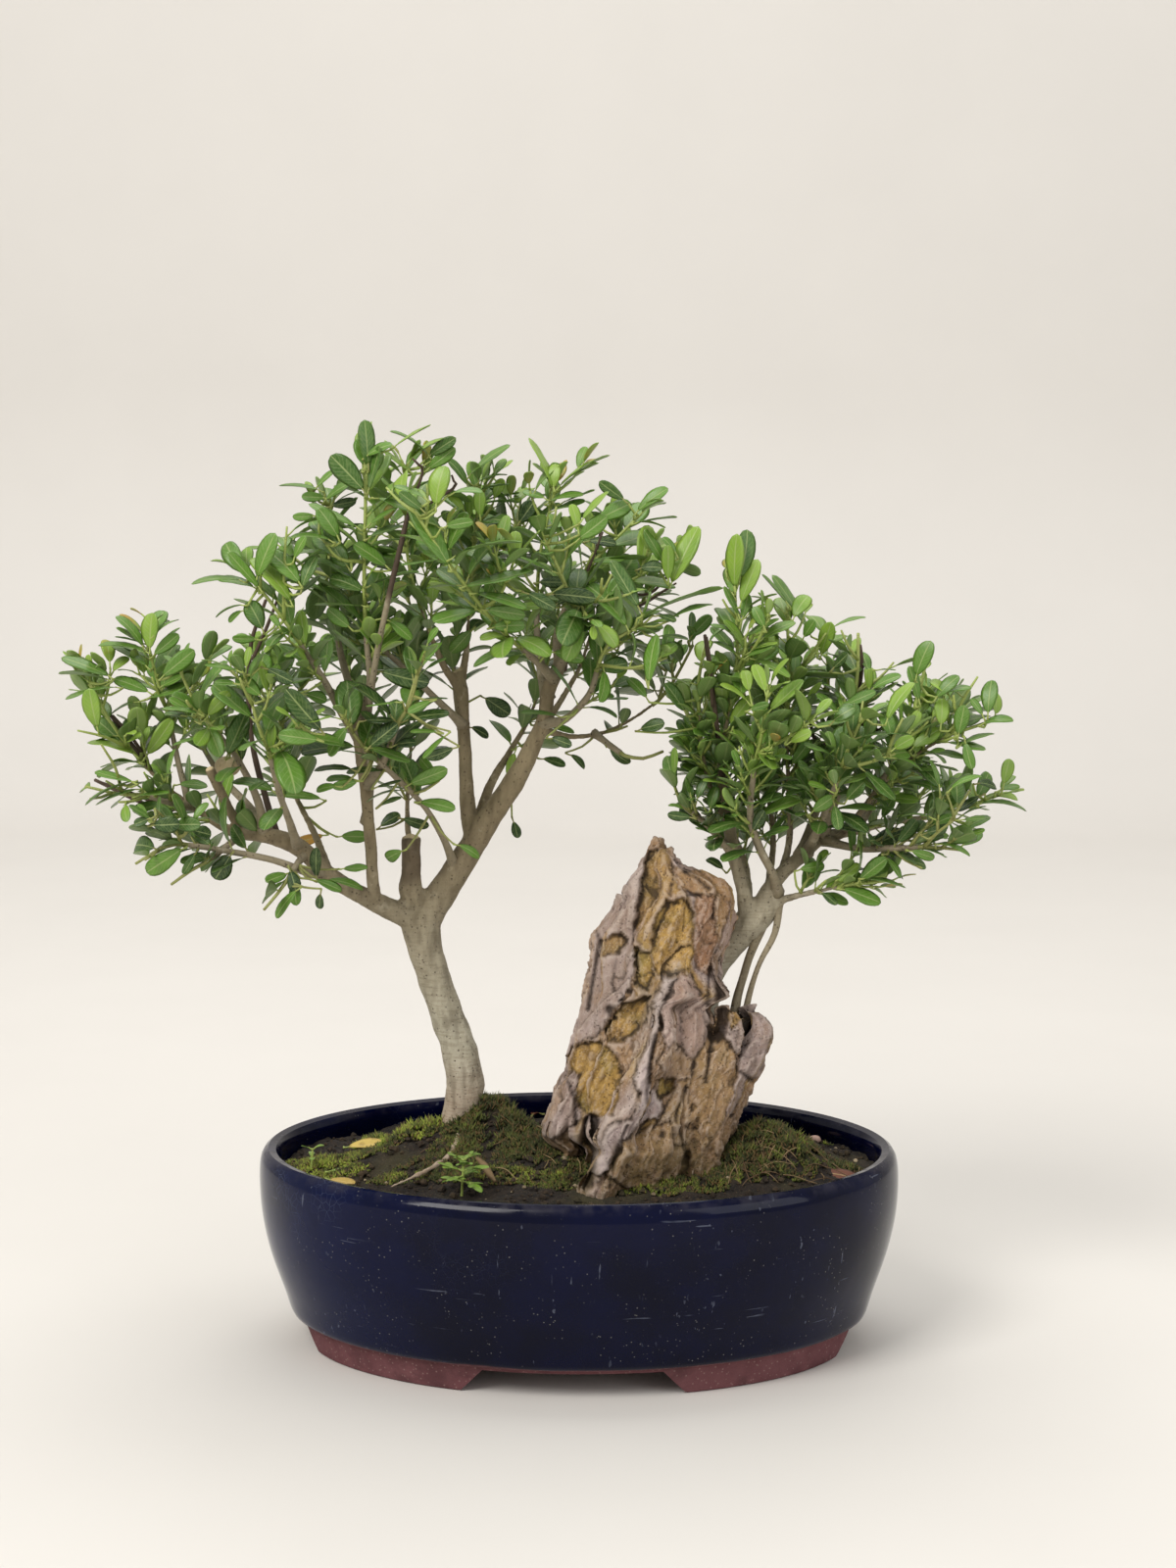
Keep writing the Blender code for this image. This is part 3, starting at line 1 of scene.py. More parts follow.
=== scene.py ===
# Privet bonsai: the finished look of two small privet trees, one standing free and one
# behind a rock, in an oval glazed pot on four unglazed feet.
#
# Lengths are in millimetres, in a frame whose origin is on the table under the middle of
# the pot, with +X to the right and +Y to the back. They become metres, and move to where
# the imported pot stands, when a mesh is made.

import json
import math
import random

import bpy
import numpy as np
from mathutils import Matrix, Vector, noise
from mathutils.kdtree import KDTree

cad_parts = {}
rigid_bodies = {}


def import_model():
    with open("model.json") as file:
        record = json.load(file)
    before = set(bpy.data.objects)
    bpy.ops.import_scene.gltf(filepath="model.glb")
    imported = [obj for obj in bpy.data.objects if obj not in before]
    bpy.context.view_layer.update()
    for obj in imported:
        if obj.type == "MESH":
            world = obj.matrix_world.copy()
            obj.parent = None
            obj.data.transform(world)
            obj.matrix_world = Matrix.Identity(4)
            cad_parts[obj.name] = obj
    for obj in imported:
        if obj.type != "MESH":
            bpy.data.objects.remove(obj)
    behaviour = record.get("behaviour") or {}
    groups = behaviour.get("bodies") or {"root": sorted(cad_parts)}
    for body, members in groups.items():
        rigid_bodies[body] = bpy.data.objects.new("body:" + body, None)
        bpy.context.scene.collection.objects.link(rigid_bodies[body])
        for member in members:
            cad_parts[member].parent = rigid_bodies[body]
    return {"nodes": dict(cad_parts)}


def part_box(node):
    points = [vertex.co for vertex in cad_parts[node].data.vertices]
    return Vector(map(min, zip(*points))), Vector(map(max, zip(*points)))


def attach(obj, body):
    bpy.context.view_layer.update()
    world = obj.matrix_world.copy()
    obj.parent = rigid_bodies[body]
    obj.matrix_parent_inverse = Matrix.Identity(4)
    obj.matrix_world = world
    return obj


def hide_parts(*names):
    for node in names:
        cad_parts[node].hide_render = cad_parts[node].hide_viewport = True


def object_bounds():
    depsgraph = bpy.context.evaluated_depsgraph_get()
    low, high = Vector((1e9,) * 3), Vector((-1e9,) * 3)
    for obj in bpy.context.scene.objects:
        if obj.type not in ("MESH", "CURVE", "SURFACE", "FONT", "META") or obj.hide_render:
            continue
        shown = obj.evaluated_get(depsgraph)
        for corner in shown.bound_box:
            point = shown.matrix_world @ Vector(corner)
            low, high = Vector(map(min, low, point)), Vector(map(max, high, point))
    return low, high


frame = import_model()
bounds_at_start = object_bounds()

MM = 0.001
UP = Vector((0.0, 0.0, 1.0))
POT_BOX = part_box("pot")
SHIFT = Vector(((POT_BOX[0].x + POT_BOX[1].x) / 2, (POT_BOX[0].y + POT_BOX[1].y) / 2, 0.0)) / MM

# The photo's camera: its place, how far it looks down and to the left, and its focal
# length in pixels of a picture 1200 wide and 1600 high
CAMERA_PLACE = Vector((29.479, -938.030, 331.469))
CAMERA_DOWN = math.radians(6.33)
CAMERA_LEFT = math.radians(1.56)
FOCAL_PIXELS = 2403.0
PICTURE_WIDTH = 1200
PICTURE_HEIGHT = 1600
SENSOR_HEIGHT = 36.0

LOOK = Vector((-math.sin(CAMERA_LEFT) * math.cos(CAMERA_DOWN),
               math.cos(CAMERA_LEFT) * math.cos(CAMERA_DOWN), -math.sin(CAMERA_DOWN)))
LOOK_RIGHT = LOOK.cross(UP).normalized()
LOOK_UP = LOOK_RIGHT.cross(LOOK)

# Pot
POT_HALF_LENGTH = 130.0
POT_HALF_DEPTH = 91.0
POT_SEGMENTS = 144
POT_ROW_HEIGHT = 2.2
POT_UNEVENNESS = 0.35
POT_WAVES = 0.03          # scale of the noise that makes the pot uneven
FLOOR_TOP = 17.0
UNDERSIDE = 11.0
FOOT_HEIGHT = 11.6
FOOT_GAP_FRONT = 43.6     # half the gap between the two front feet
FOOT_GAP_SIDE = 27.0      # half the gap between the feet at each end
FOOT_GAP_SLOPE = 9.0      # how much narrower a gap is at its top
FOOT_GAP_TOP = 10.0
DRAIN_HOLE_RADIUS = 8.0
DRAIN_HOLE_X = 48.0
# Each ring of the pot's wall as (inset from the widest outline, height), from the
# underside out over a foot, up the wall, over the lip and down the inside.
FOOT_PROFILE = [(30.0, UNDERSIDE), (28.0, 0.6), (27.2, 0.0), (19.6, 0.0), (18.7, 0.7),
                (16.5, FOOT_HEIGHT)]
WALL_PROFILE = [(16.5, FOOT_HEIGHT), (12.7, 13.0), (9.6, 22.0), (4.0, 39.0), (0.9, 54.0),
                (0.0, 68.0), (0.9, 76.6), (3.8, 79.9), (6.8, 79.2), (8.2, 75.5), (6.9, 68.0)]
INNER_WALL = [(8.2, 75.5), (6.9, 68.0), (8.8, 46.0), (15.0, 26.0), (24.0, FLOOR_TOP)]

# Soil surface: a level near the walls and mounds as (x, y, spread x, spread y, height)
SOIL_LEVEL = 70.0
SOIL_MOUNDS = [(-45.0, 8.0, 42.0, 38.0, 16.0), (78.0, 2.0, 26.0, 32.0, 19.0),
               (20.0, -10.0, 36.0, 30.0, 8.0)]
SOIL_ROUGHNESS = 1.6

# Branches as lists of points (x, y, z, radius). A branch starts on the middle line of
# what it grows from. Ends that carry a leafy spray have SHOOT_RADIUS.
SHOOT_RADIUS = 1.0
LEFT_WOOD = {
    "trunk": [(-50, 10, 60, 11), (-51, 9, 70, 10.4), (-51, 8, 78, 9), (-50, 8, 86, 7.8),
              (-47, 8, 99, 8.2), (-48, 8, 112, 7.6), (-53, 8, 128, 7.3),
              (-57, 8, 140, 7.1), (-61, 8, 153, 7), (-64, 8, 164, 7.9),
              (-65, 8, 172, 8.1), (-65, 8, 179, 4.6)],
    "surface_root": [(-49, 3, 84, 3.4), (-48, -7, 84, 2.2), (-51, -20, 80, 1.7),
                     (-58, -32, 77.5, 1.5), (-65, -40, 76, 1.2), (-72, -45, 74, 0.9)],
    "stump": [(-67, 8, 172, 4.6), (-68, 5, 184, 4), (-68, 2, 196, 3.4), (-68, 2, 205, 3)],
    "main_left": [(-64, 8, 169, 7), (-73, 4, 174, 5.3), (-87, -2, 182, 4.5),
                  (-100, -6, 191, 4.3), (-111, -8, 202, 4.3), (-122, -10, 207, 3.9),
                  (-136, -8, 208, 2.9), (-145, -6, 212, 2.3), (-156, -4, 219, 1.8),
                  (-166, -2, 226, 1.4), (-175, 0, 235, SHOOT_RADIUS)],
    "left_low": [(-100, -6, 191, 1.8), (-107, -14, 193, 1.5), (-120, -20, 199, 1.3),
                 (-136, -25, 203, 1.2), (-152, -28, 206, SHOOT_RADIUS)],
    "left_hanging": [(-134, -8, 208, 1.6), (-140, -18, 203, 1.2),
                     (-144, -24, 200, SHOOT_RADIUS)],
    "left_lowest": [(-109, -8, 200, 1.6), (-111, -18, 197, 1.2),
                    (-113, -24, 193, SHOOT_RADIUS)],
    "left_upper": [(-156, -4, 219, 1.4), (-162, 4, 236, 1.2), (-165, 6, 250, SHOOT_RADIUS)],
    "left_outer_low": [(-154, -4, 218, 1.4), (-162, -14, 221, 1.2),
                       (-169, -18, 224, SHOOT_RADIUS)],
    "left_stub": [(-134, -7, 208, 2.7), (-139, -12, 219, 2.6), (-145, -18, 235, 2.5)],
    "left_sprout": [(-125, -9, 207, 2.2), (-126, -18, 222, 1.6), (-131, -28, 238, 1.3),
                    (-138, -34, 250, SHOOT_RADIUS)],
    "left_front": [(-112, -9, 203, 2), (-112, -26, 214, 1.6), (-114, -40, 228, 1.3),
                   (-116, -47, 242, SHOOT_RADIUS)],
    "left_back": [(-100, -5, 192, 2.6), (-108, 12, 205, 2), (-118, 26, 220, 1.5),
                  (-124, 34, 238, SHOOT_RADIUS)],
    "left_far_back": [(-123, -9, 208, 2.2), (-134, 10, 216, 1.7), (-148, 24, 227, 1.3),
                      (-156, 29, 238, SHOOT_RADIUS)],
    "sprout": [(-82, 0, 178, 3.6), (-82, -8, 188, 3.1), (-82, -14, 204, 3),
               (-83, -20, 225, 2.8), (-85, -24, 246, 2.7), (-87, -26, 267, 2.4)],
    "sprout_top": [(-85, -24, 252, 2), (-80, -29, 268, 1.4), (-81, -31, 288, SHOOT_RADIUS)],
    "sprout_left": [(-85, -24, 248, 1.8), (-91, -29, 258, 1.5), (-97, -34, 271, 1.4),
                    (-105, -39, 285, SHOOT_RADIUS)],
    "sprout_back": [(-83, -17, 214, 2), (-84, 2, 230, 1.6), (-90, 18, 250, 1.3),
                    (-95, 28, 270, SHOOT_RADIUS)],
    "sprout_front": [(-83, -20, 228, 1.8), (-74, -34, 240, 1.4), (-68, -45, 254, SHOOT_RADIUS)],
    "sprout_upper": [(-86, -25, 260, 1.7), (-93, -14, 280, 1.3), (-96, -10, 298, SHOOT_RADIUS)],
    "black_twig": [(-84, -22, 240, 1.6), (-77, -36, 277, 1.3), (-71, -41, 303, 1.1),
                   (-63, -45, 334, 0.9)],
    "trunk_back": [(-66, 10, 172, 2.9), (-70, 26, 190, 2.1), (-73, 40, 212, 1.6),
                   (-72, 47, 236, 1.2), (-70, 50, 254, SHOOT_RADIUS)],
    "main_right": [(-63, 8, 171, 7.8), (-57, 8, 180, 6.9), (-50, 6, 191, 6.5),
                   (-43, 4, 202, 6.3), (-37, 2, 212, 5.9), (-29, 0, 223, 5.3),
                   (-23, -2, 233, 4.8), (-17, -4, 245, 4), (-13, -6, 255, 3.6),
                   (-12, -6, 265, 3.6), (-8, -8, 273, 3.2), (-5, -8, 279, 1.8)],
    "middle": [(-43, 4, 205, 4.4), (-45, 6, 217, 4), (-46, 10, 233, 3.4),
               (-47, 12, 252, 3.2), (-48, 14, 265, 3.5), (-49, 14, 272, 2.4)],
    "middle_left": [(-48, 14, 264, 2.6), (-54, 10, 273, 2.1), (-59, 4, 286, 1.5),
                    (-63, 2, 298, SHOOT_RADIUS)],
    "middle_right": [(-48, 14, 266, 2.4), (-46, 18, 280, 1.8), (-45, 19, 296, SHOOT_RADIUS)],
    "middle_back": [(-46, 10, 235, 2.4), (-50, 28, 251, 1.9), (-53, 40, 268, 1.4),
                    (-52, 45, 286, SHOOT_RADIUS)],
    "middle_thin": [(-47, 11, 250, 1.7), (-54, 4, 258, 1.5), (-66, -4, 271, 1.3),
                    (-76, -9, 281, SHOOT_RADIUS)],
    "right_back": [(-42, 4, 206, 3.2), (-37, 20, 224, 2.5), (-30, 31, 236, 1.9),
                   (-22, 41, 250, 1.4), (-17, 46, 264, SHOOT_RADIUS)],
    "right_upper_back": [(-17, -4, 246, 2.4), (-8, 14, 259, 1.8), (0, 28, 273, 1.4),
                         (5, 35, 289, SHOOT_RADIUS)],
    "right_low_twig": [(-50, 5, 192, 1.9), (-53, -8, 205, 1.4), (-60, -18, 220, 1.2),
                       (-71, -30, 234, 1.1), (-78, -37, 242, SHOOT_RADIUS)],
    "right_top_back": [(-12, -6, 262, 2.2), (-16, 4, 280, 1.6), (-17, 10, 298, SHOOT_RADIUS)],
    "right_top": [(-7, -8, 275, 1.9), (-8, -6, 288, 1.5), (-4, -4, 301, SHOOT_RADIUS)],
    "right_front": [(-9, -9, 270, 1.9), (-15, -19, 277, 1.5), (-21, -27, 283, SHOOT_RADIUS)],
    "right_centre": [(-8, -8, 274, 1.9), (-2, -18, 284, 1.4), (0, -24, 293, SHOOT_RADIUS)],
    "right_side": [(-15, -5, 250, 2.4), (-3, 5, 246, 1.6), (10, 12, 247, 1.4),
                   (21, 16, 252, 1.2), (30, 19, 258, SHOOT_RADIUS)],
    "right_under": [(6, 10, 247, 1.4), (12, 4, 243, 1.2), (17, 0, 240, SHOOT_RADIUS)],
    "right_curve": [(-14, -6, 252, 1.9), (-4, -14, 255, 1.5), (5, -22, 265, 1.3),
                    (8, -25, 274, SHOOT_RADIUS)],
    "dead_left": [(-166, -2, 226, 1.1), (-178, 4, 239, 0.9), (-190, 6, 255, 0.7)],
    "dead_low": [(-154, -4, 218, 1.1), (-172, 4, 217, 0.9), (-196, 4, 228, 0.7)],
    "dead_middle": [(-120, -9, 206, 1.4), (-131, 0, 244, 1.1), (-131, -2, 280, 0.9),
                    (-124, -4, 301, 0.7)],
    "dead_top": [(-6, -8, 274, 1.3), (0, 8, 296, 1), (9, 12, 328, 0.7)],
}
RIGHT_WOOD = {
    "trunk": [(50, 26, 58, 8.5), (50, 25, 72, 8), (50, 23, 92, 7), (51, 19, 112, 6.3),
              (51, 14, 132, 6.3), (53, 9, 149, 6.6), (60, 5, 161, 6.8), (69, 1, 171, 6.9),
              (76, 0, 178, 6.4), (81, 0, 182, 3.6)],
    "upright": [(68, 1, 171, 4.4), (67, -2, 182, 3.7), (65, -2, 190, 3.4), (62, -4, 201, 3.3),
                (60, -6, 214, 3), (58, -8, 225, 2.5), (57, -10, 240, 1.9),
                (60, -10, 258, SHOOT_RADIUS)],
    "left_edge": [(60, -6, 213, 2.4), (53, -8, 226, 1.6), (49, -12, 244, 1.3),
                  (48, -13, 258, SHOOT_RADIUS)],
    "left_low": [(62, -4, 200, 1.6), (57, -8, 206, 1.4), (50, -13, 214, 1.2),
                 (45, -16, 218, SHOOT_RADIUS)],
    "second": [(73, 1, 175, 5), (76, -2, 184, 4), (81, -2, 191, 3.7), (89, 0, 198, 3.3),
               (95, 2, 203, 2.9), (100, 4, 208, 2.2)],
    "long_right": [(97, 3, 204, 2.4), (106, 2, 207, 2.1), (112, -4, 216, 1.9),
                   (120, -10, 228, 1.6), (128, -14, 237, 1.5), (136, -16, 243, 1.2),
                   (144, -18, 248, SHOOT_RADIUS)],
    "long_right_up": [(119, -9, 227, 1.5), (127, -15, 242, 1.2), (131, -18, 256, SHOOT_RADIUS)],
    "middle_up": [(98, 3, 206, 2), (103, 1, 222, 1.7), (106, -2, 240, 1.4),
                  (109, -3, 258, SHOOT_RADIUS)],
    "low_front": [(78, -1, 179, 2.6), (84, -4, 182, 2.1), (93, -8, 185, 1.6),
                  (104, -12, 188, SHOOT_RADIUS)],
    "diagonal": [(80, -2, 184, 2.2), (78, -9, 192, 1.7), (72, -15, 204, 1.6),
                 (68, -22, 218, 1.4), (69, -29, 236, SHOOT_RADIUS)],
    "inner": [(80, 0, 187, 2.4), (85, 6, 203, 1.9), (85, 9, 220, 1.6), (84, 9, 240, 1.3),
              (84, 7, 258, SHOOT_RADIUS)],
    "inner_back": [(76, 1, 181, 2.4), (79, 16, 203, 1.8), (77, 26, 222, 1.4),
                   (74, 33, 240, SHOOT_RADIUS)],
    "left_back": [(69, 2, 172, 2.6), (68, 18, 192, 1.9), (60, 30, 211, 1.4),
                  (54, 35, 227, SHOOT_RADIUS)],
    "right_back": [(89, 0, 198, 2.2), (96, 17, 213, 1.7), (103, 30, 228, 1.3),
                   (108, 36, 242, SHOOT_RADIUS)],
    "low_right": [(98, 3, 206, 2.1), (112, 8, 208, 1.8), (126, 12, 211, 1.5),
                  (138, 14, 212, 1.2), (148, 14, 214, SHOOT_RADIUS)],
    "low_right_back": [(112, 8, 208, 1.6), (122, 22, 220, 1.3), (131, 32, 233, SHOOT_RADIUS)],
    "low_right_front": [(98, 3, 205, 1.9), (110, -8, 203, 1.5), (123, -16, 204, 1.3),
                        (134, -20, 205, SHOOT_RADIUS)],
    "front": [(92, 1, 200, 2), (97, -16, 216, 1.5), (101, -30, 232, SHOOT_RADIUS)],
    "thin_root_front": [(62, -2, 126, 2), (64, 0, 139, 1.8), (67, 1, 150, 1.6),
                        (70, 0, 160, 1.7), (76, -1, 174, 2)],
    "thin_root_back": [(66, -1, 127, 1.4), (69, -2, 142, 1.2), (73, -5, 156, 1.1),
                       (79, -5, 168, 1.3), (81, -2, 180, 1.7)],
    "dead_left": [(58, -8, 226, 1.2), (55, -16, 252, 1), (50, -18, 288, 0.7)],
    "dead_right": [(105, -1, 233, 1.3), (112, 6, 258, 0.9), (112, 8, 281, 0.7)],
}

# Leafy sprays as (tint, shoots). Each grows on from the end of the branch with its name,
# along its shoots. The first shoot starts at the branch's end, and the others start on the
# first one, at the given share of it. Points are (x, y, z). Tint 0 is young leaves, 1 grown
# and 2 old.
SPRAY_BRANCHES = {"far_left": "main_left"}      # a spray whose branch has another name
LEFT_SPRAYS = {
    "far_left": (0, [(0, [(-186, -3, 250), (-195, -4, 268)]),
                     (0.2, [(-188, -12, 247), (-197, -18, 250)])]),
    "left_upper": (0, [(0, [(-170, 6, 268), (-174, 5, 286)]),
                       (0.2, [(-158, 14, 264), (-152, 18, 276)])]),
    "left_outer_low": (1, [(0, [(-180, -20, 225), (-194, -20, 228)]),
                           (0.4, [(-180, -28, 236), (-184, -34, 246)])]),
    "left_low": (2, [(0, [(-162, -30, 205), (-172, -32, 199)]),
                     (0.1, [(-156, -36, 214), (-162, -42, 222)])]),
    "left_hanging": (2, [(0, [(-151, -29, 196), (-158, -33, 191)])]),
    "left_lowest": (2, [(0, [(-117, -29, 187), (-122, -32, 181)])]),
    "left_sprout": (1, [(0, [(-146, -38, 262), (-152, -40, 276)]),
                        (0.3, [(-142, -48, 258), (-146, -56, 264)])]),
    "left_front": (1, [(0, [(-120, -52, 256), (-124, -54, 274)]),
                       (0.1, [(-108, -56, 250), (-102, -62, 256)])]),
    "left_back": (1, [(0, [(-130, 40, 256), (-134, 42, 276)]),
                      (0.2, [(-122, 48, 256), (-116, 56, 268)])]),
    "left_far_back": (1, [(0, [(-166, 34, 250), (-174, 34, 262)]),
                          (0.2, [(-154, 42, 248), (-150, 52, 254)])]),
    "sprout_left": (0, [(0, [(-116, -44, 302), (-126, -46, 314)]),
                        (0.3, [(-110, -46, 314), (-109, -44, 330)])]),
    "sprout_top": (0, [(0, [(-81, -34, 315), (-80, -36, 342), (-81, -37, 358)]),
                       (0.4, [(-90, -40, 318), (-96, -44, 326)])]),
    "sprout_upper": (1, [(0, [(-98, -8, 318), (-98, -6, 338)]),
                         (0.3, [(-108, -2, 314), (-118, 2, 322)])]),
    "sprout_front": (2, [(0, [(-62, -50, 264), (-58, -54, 278)])]),
    "sprout_back": (1, [(0, [(-100, 36, 292), (-104, 40, 314)]),
                        (0.3, [(-92, 48, 290), (-88, 58, 300)])]),
    "trunk_back": (2, [(0, [(-70, 55, 276), (-68, 58, 300)]),
                       (0.3, [(-80, 62, 270), (-88, 68, 276)])]),
    "right_low_twig": (2, [(0, [(-84, -42, 250), (-90, -45, 260)])]),
    "middle_left": (0, [(0, [(-68, 0, 320), (-68, -4, 352)]),
                        (0.4, [(-78, 10, 330), (-84, 16, 342)])]),
    "middle_right": (1, [(0, [(-43, 18, 318), (-40, 14, 346)]),
                         (0.3, [(-32, 26, 322), (-24, 30, 332)])]),
    "middle_back": (1, [(0, [(-50, 48, 308), (-46, 46, 330)]),
                        (0.2, [(-44, 58, 300), (-38, 66, 308)])]),
    "middle_thin": (1, [(0, [(-84, -12, 292), (-90, -16, 306)])]),
    "right_back": (1, [(0, [(-12, 51, 284), (-8, 52, 306)]),
                       (0.2, [(-20, 60, 280), (-26, 68, 290)])]),
    "right_upper_back": (1, [(0, [(12, 38, 306), (18, 38, 322)]),
                             (0.2, [(18, 42, 296), (28, 46, 300)])]),
    "right_top_back": (0, [(0, [(-15, 10, 322), (-9, 7, 346)]),
                           (0.4, [(-24, 16, 326), (-28, 20, 340)])]),
    "right_top": (0, [(0, [(8, -2, 318), (24, 0, 334)]),
                      (0.1, [(14, -10, 306), (34, -10, 316)])]),
    "right_front": (0, [(0, [(-31, -40, 294), (-46, -59, 316), (-60, -64, 338)]),
                        (0.35, [(-28, -50, 304), (-22, -54, 318)])]),
    "right_centre": (1, [(0, [(-4, -30, 308), (-12, -34, 326)]),
                         (0.2, [(8, -36, 302), (14, -42, 312)])]),
    "right_side": (2, [(0, [(38, 20, 267), (46, 18, 282)]),
                       (0.1, [(34, 30, 266), (36, 40, 272)])]),
    "right_under": (2, [(0, [(26, -3, 238), (34, -4, 241)])]),
    "right_curve": (1, [(0, [(12, -28, 284), (24, -30, 292)]),
                        (0.1, [(20, -34, 276), (30, -38, 278)])]),
}
RIGHT_SPRAYS = {
    "upright": (0, [(0, [(63, -9, 280), (62, -8, 304)]),
                    (0.3, [(70, -16, 284), (74, -20, 294)])]),
    "left_edge": (0, [(0, [(48, -14, 272), (51, -14, 286)])]),
    "left_low": (2, [(0, [(41, -18, 222), (38, -20, 230)])]),
    "long_right": (0, [(0, [(154, -19, 252), (166, -18, 256)]),
                       (0.1, [(150, -20, 262), (156, -20, 272)])]),
    "long_right_up": (0, [(0, [(134, -19, 268), (136, -18, 277)])]),
    "middle_up": (1, [(0, [(111, -3, 274), (111, -2, 288)]),
                      (0.2, [(120, 2, 270), (126, 6, 276)])]),
    "low_front": (0, [(0, [(115, -14, 190), (124, -15, 191)])]),
    "diagonal": (0, [(0, [(72, -34, 252), (74, -36, 268)]),
                     (0.2, [(82, -38, 250), (90, -42, 256)])]),
    "inner": (0, [(0, [(84, 5, 278), (83, 4, 298)]),
                  (0.3, [(94, 10, 278), (100, 14, 288)])]),
    "inner_back": (1, [(0, [(72, 38, 258), (70, 40, 276)]),
                       (0.2, [(84, 40, 256), (92, 44, 264)])]),
    "left_back": (1, [(0, [(50, 38, 242), (47, 38, 256)])]),
    "right_back": (1, [(0, [(113, 40, 256), (116, 40, 270)]),
                       (0.2, [(106, 48, 256), (102, 54, 262)])]),
    "low_right": (0, [(0, [(159, 13, 218), (169, 11, 222)])]),
    "low_right_back": (2, [(0, [(139, 36, 244), (148, 37, 252)])]),
    "low_right_front": (2, [(0, [(144, -22, 205), (152, -22, 204)]),
                            (0.1, [(140, -30, 212), (146, -36, 218)])]),
    "front": (1, [(0, [(105, -37, 246), (110, -40, 258)]),
                  (0.2, [(112, -38, 240), (122, -42, 244)])]),
}

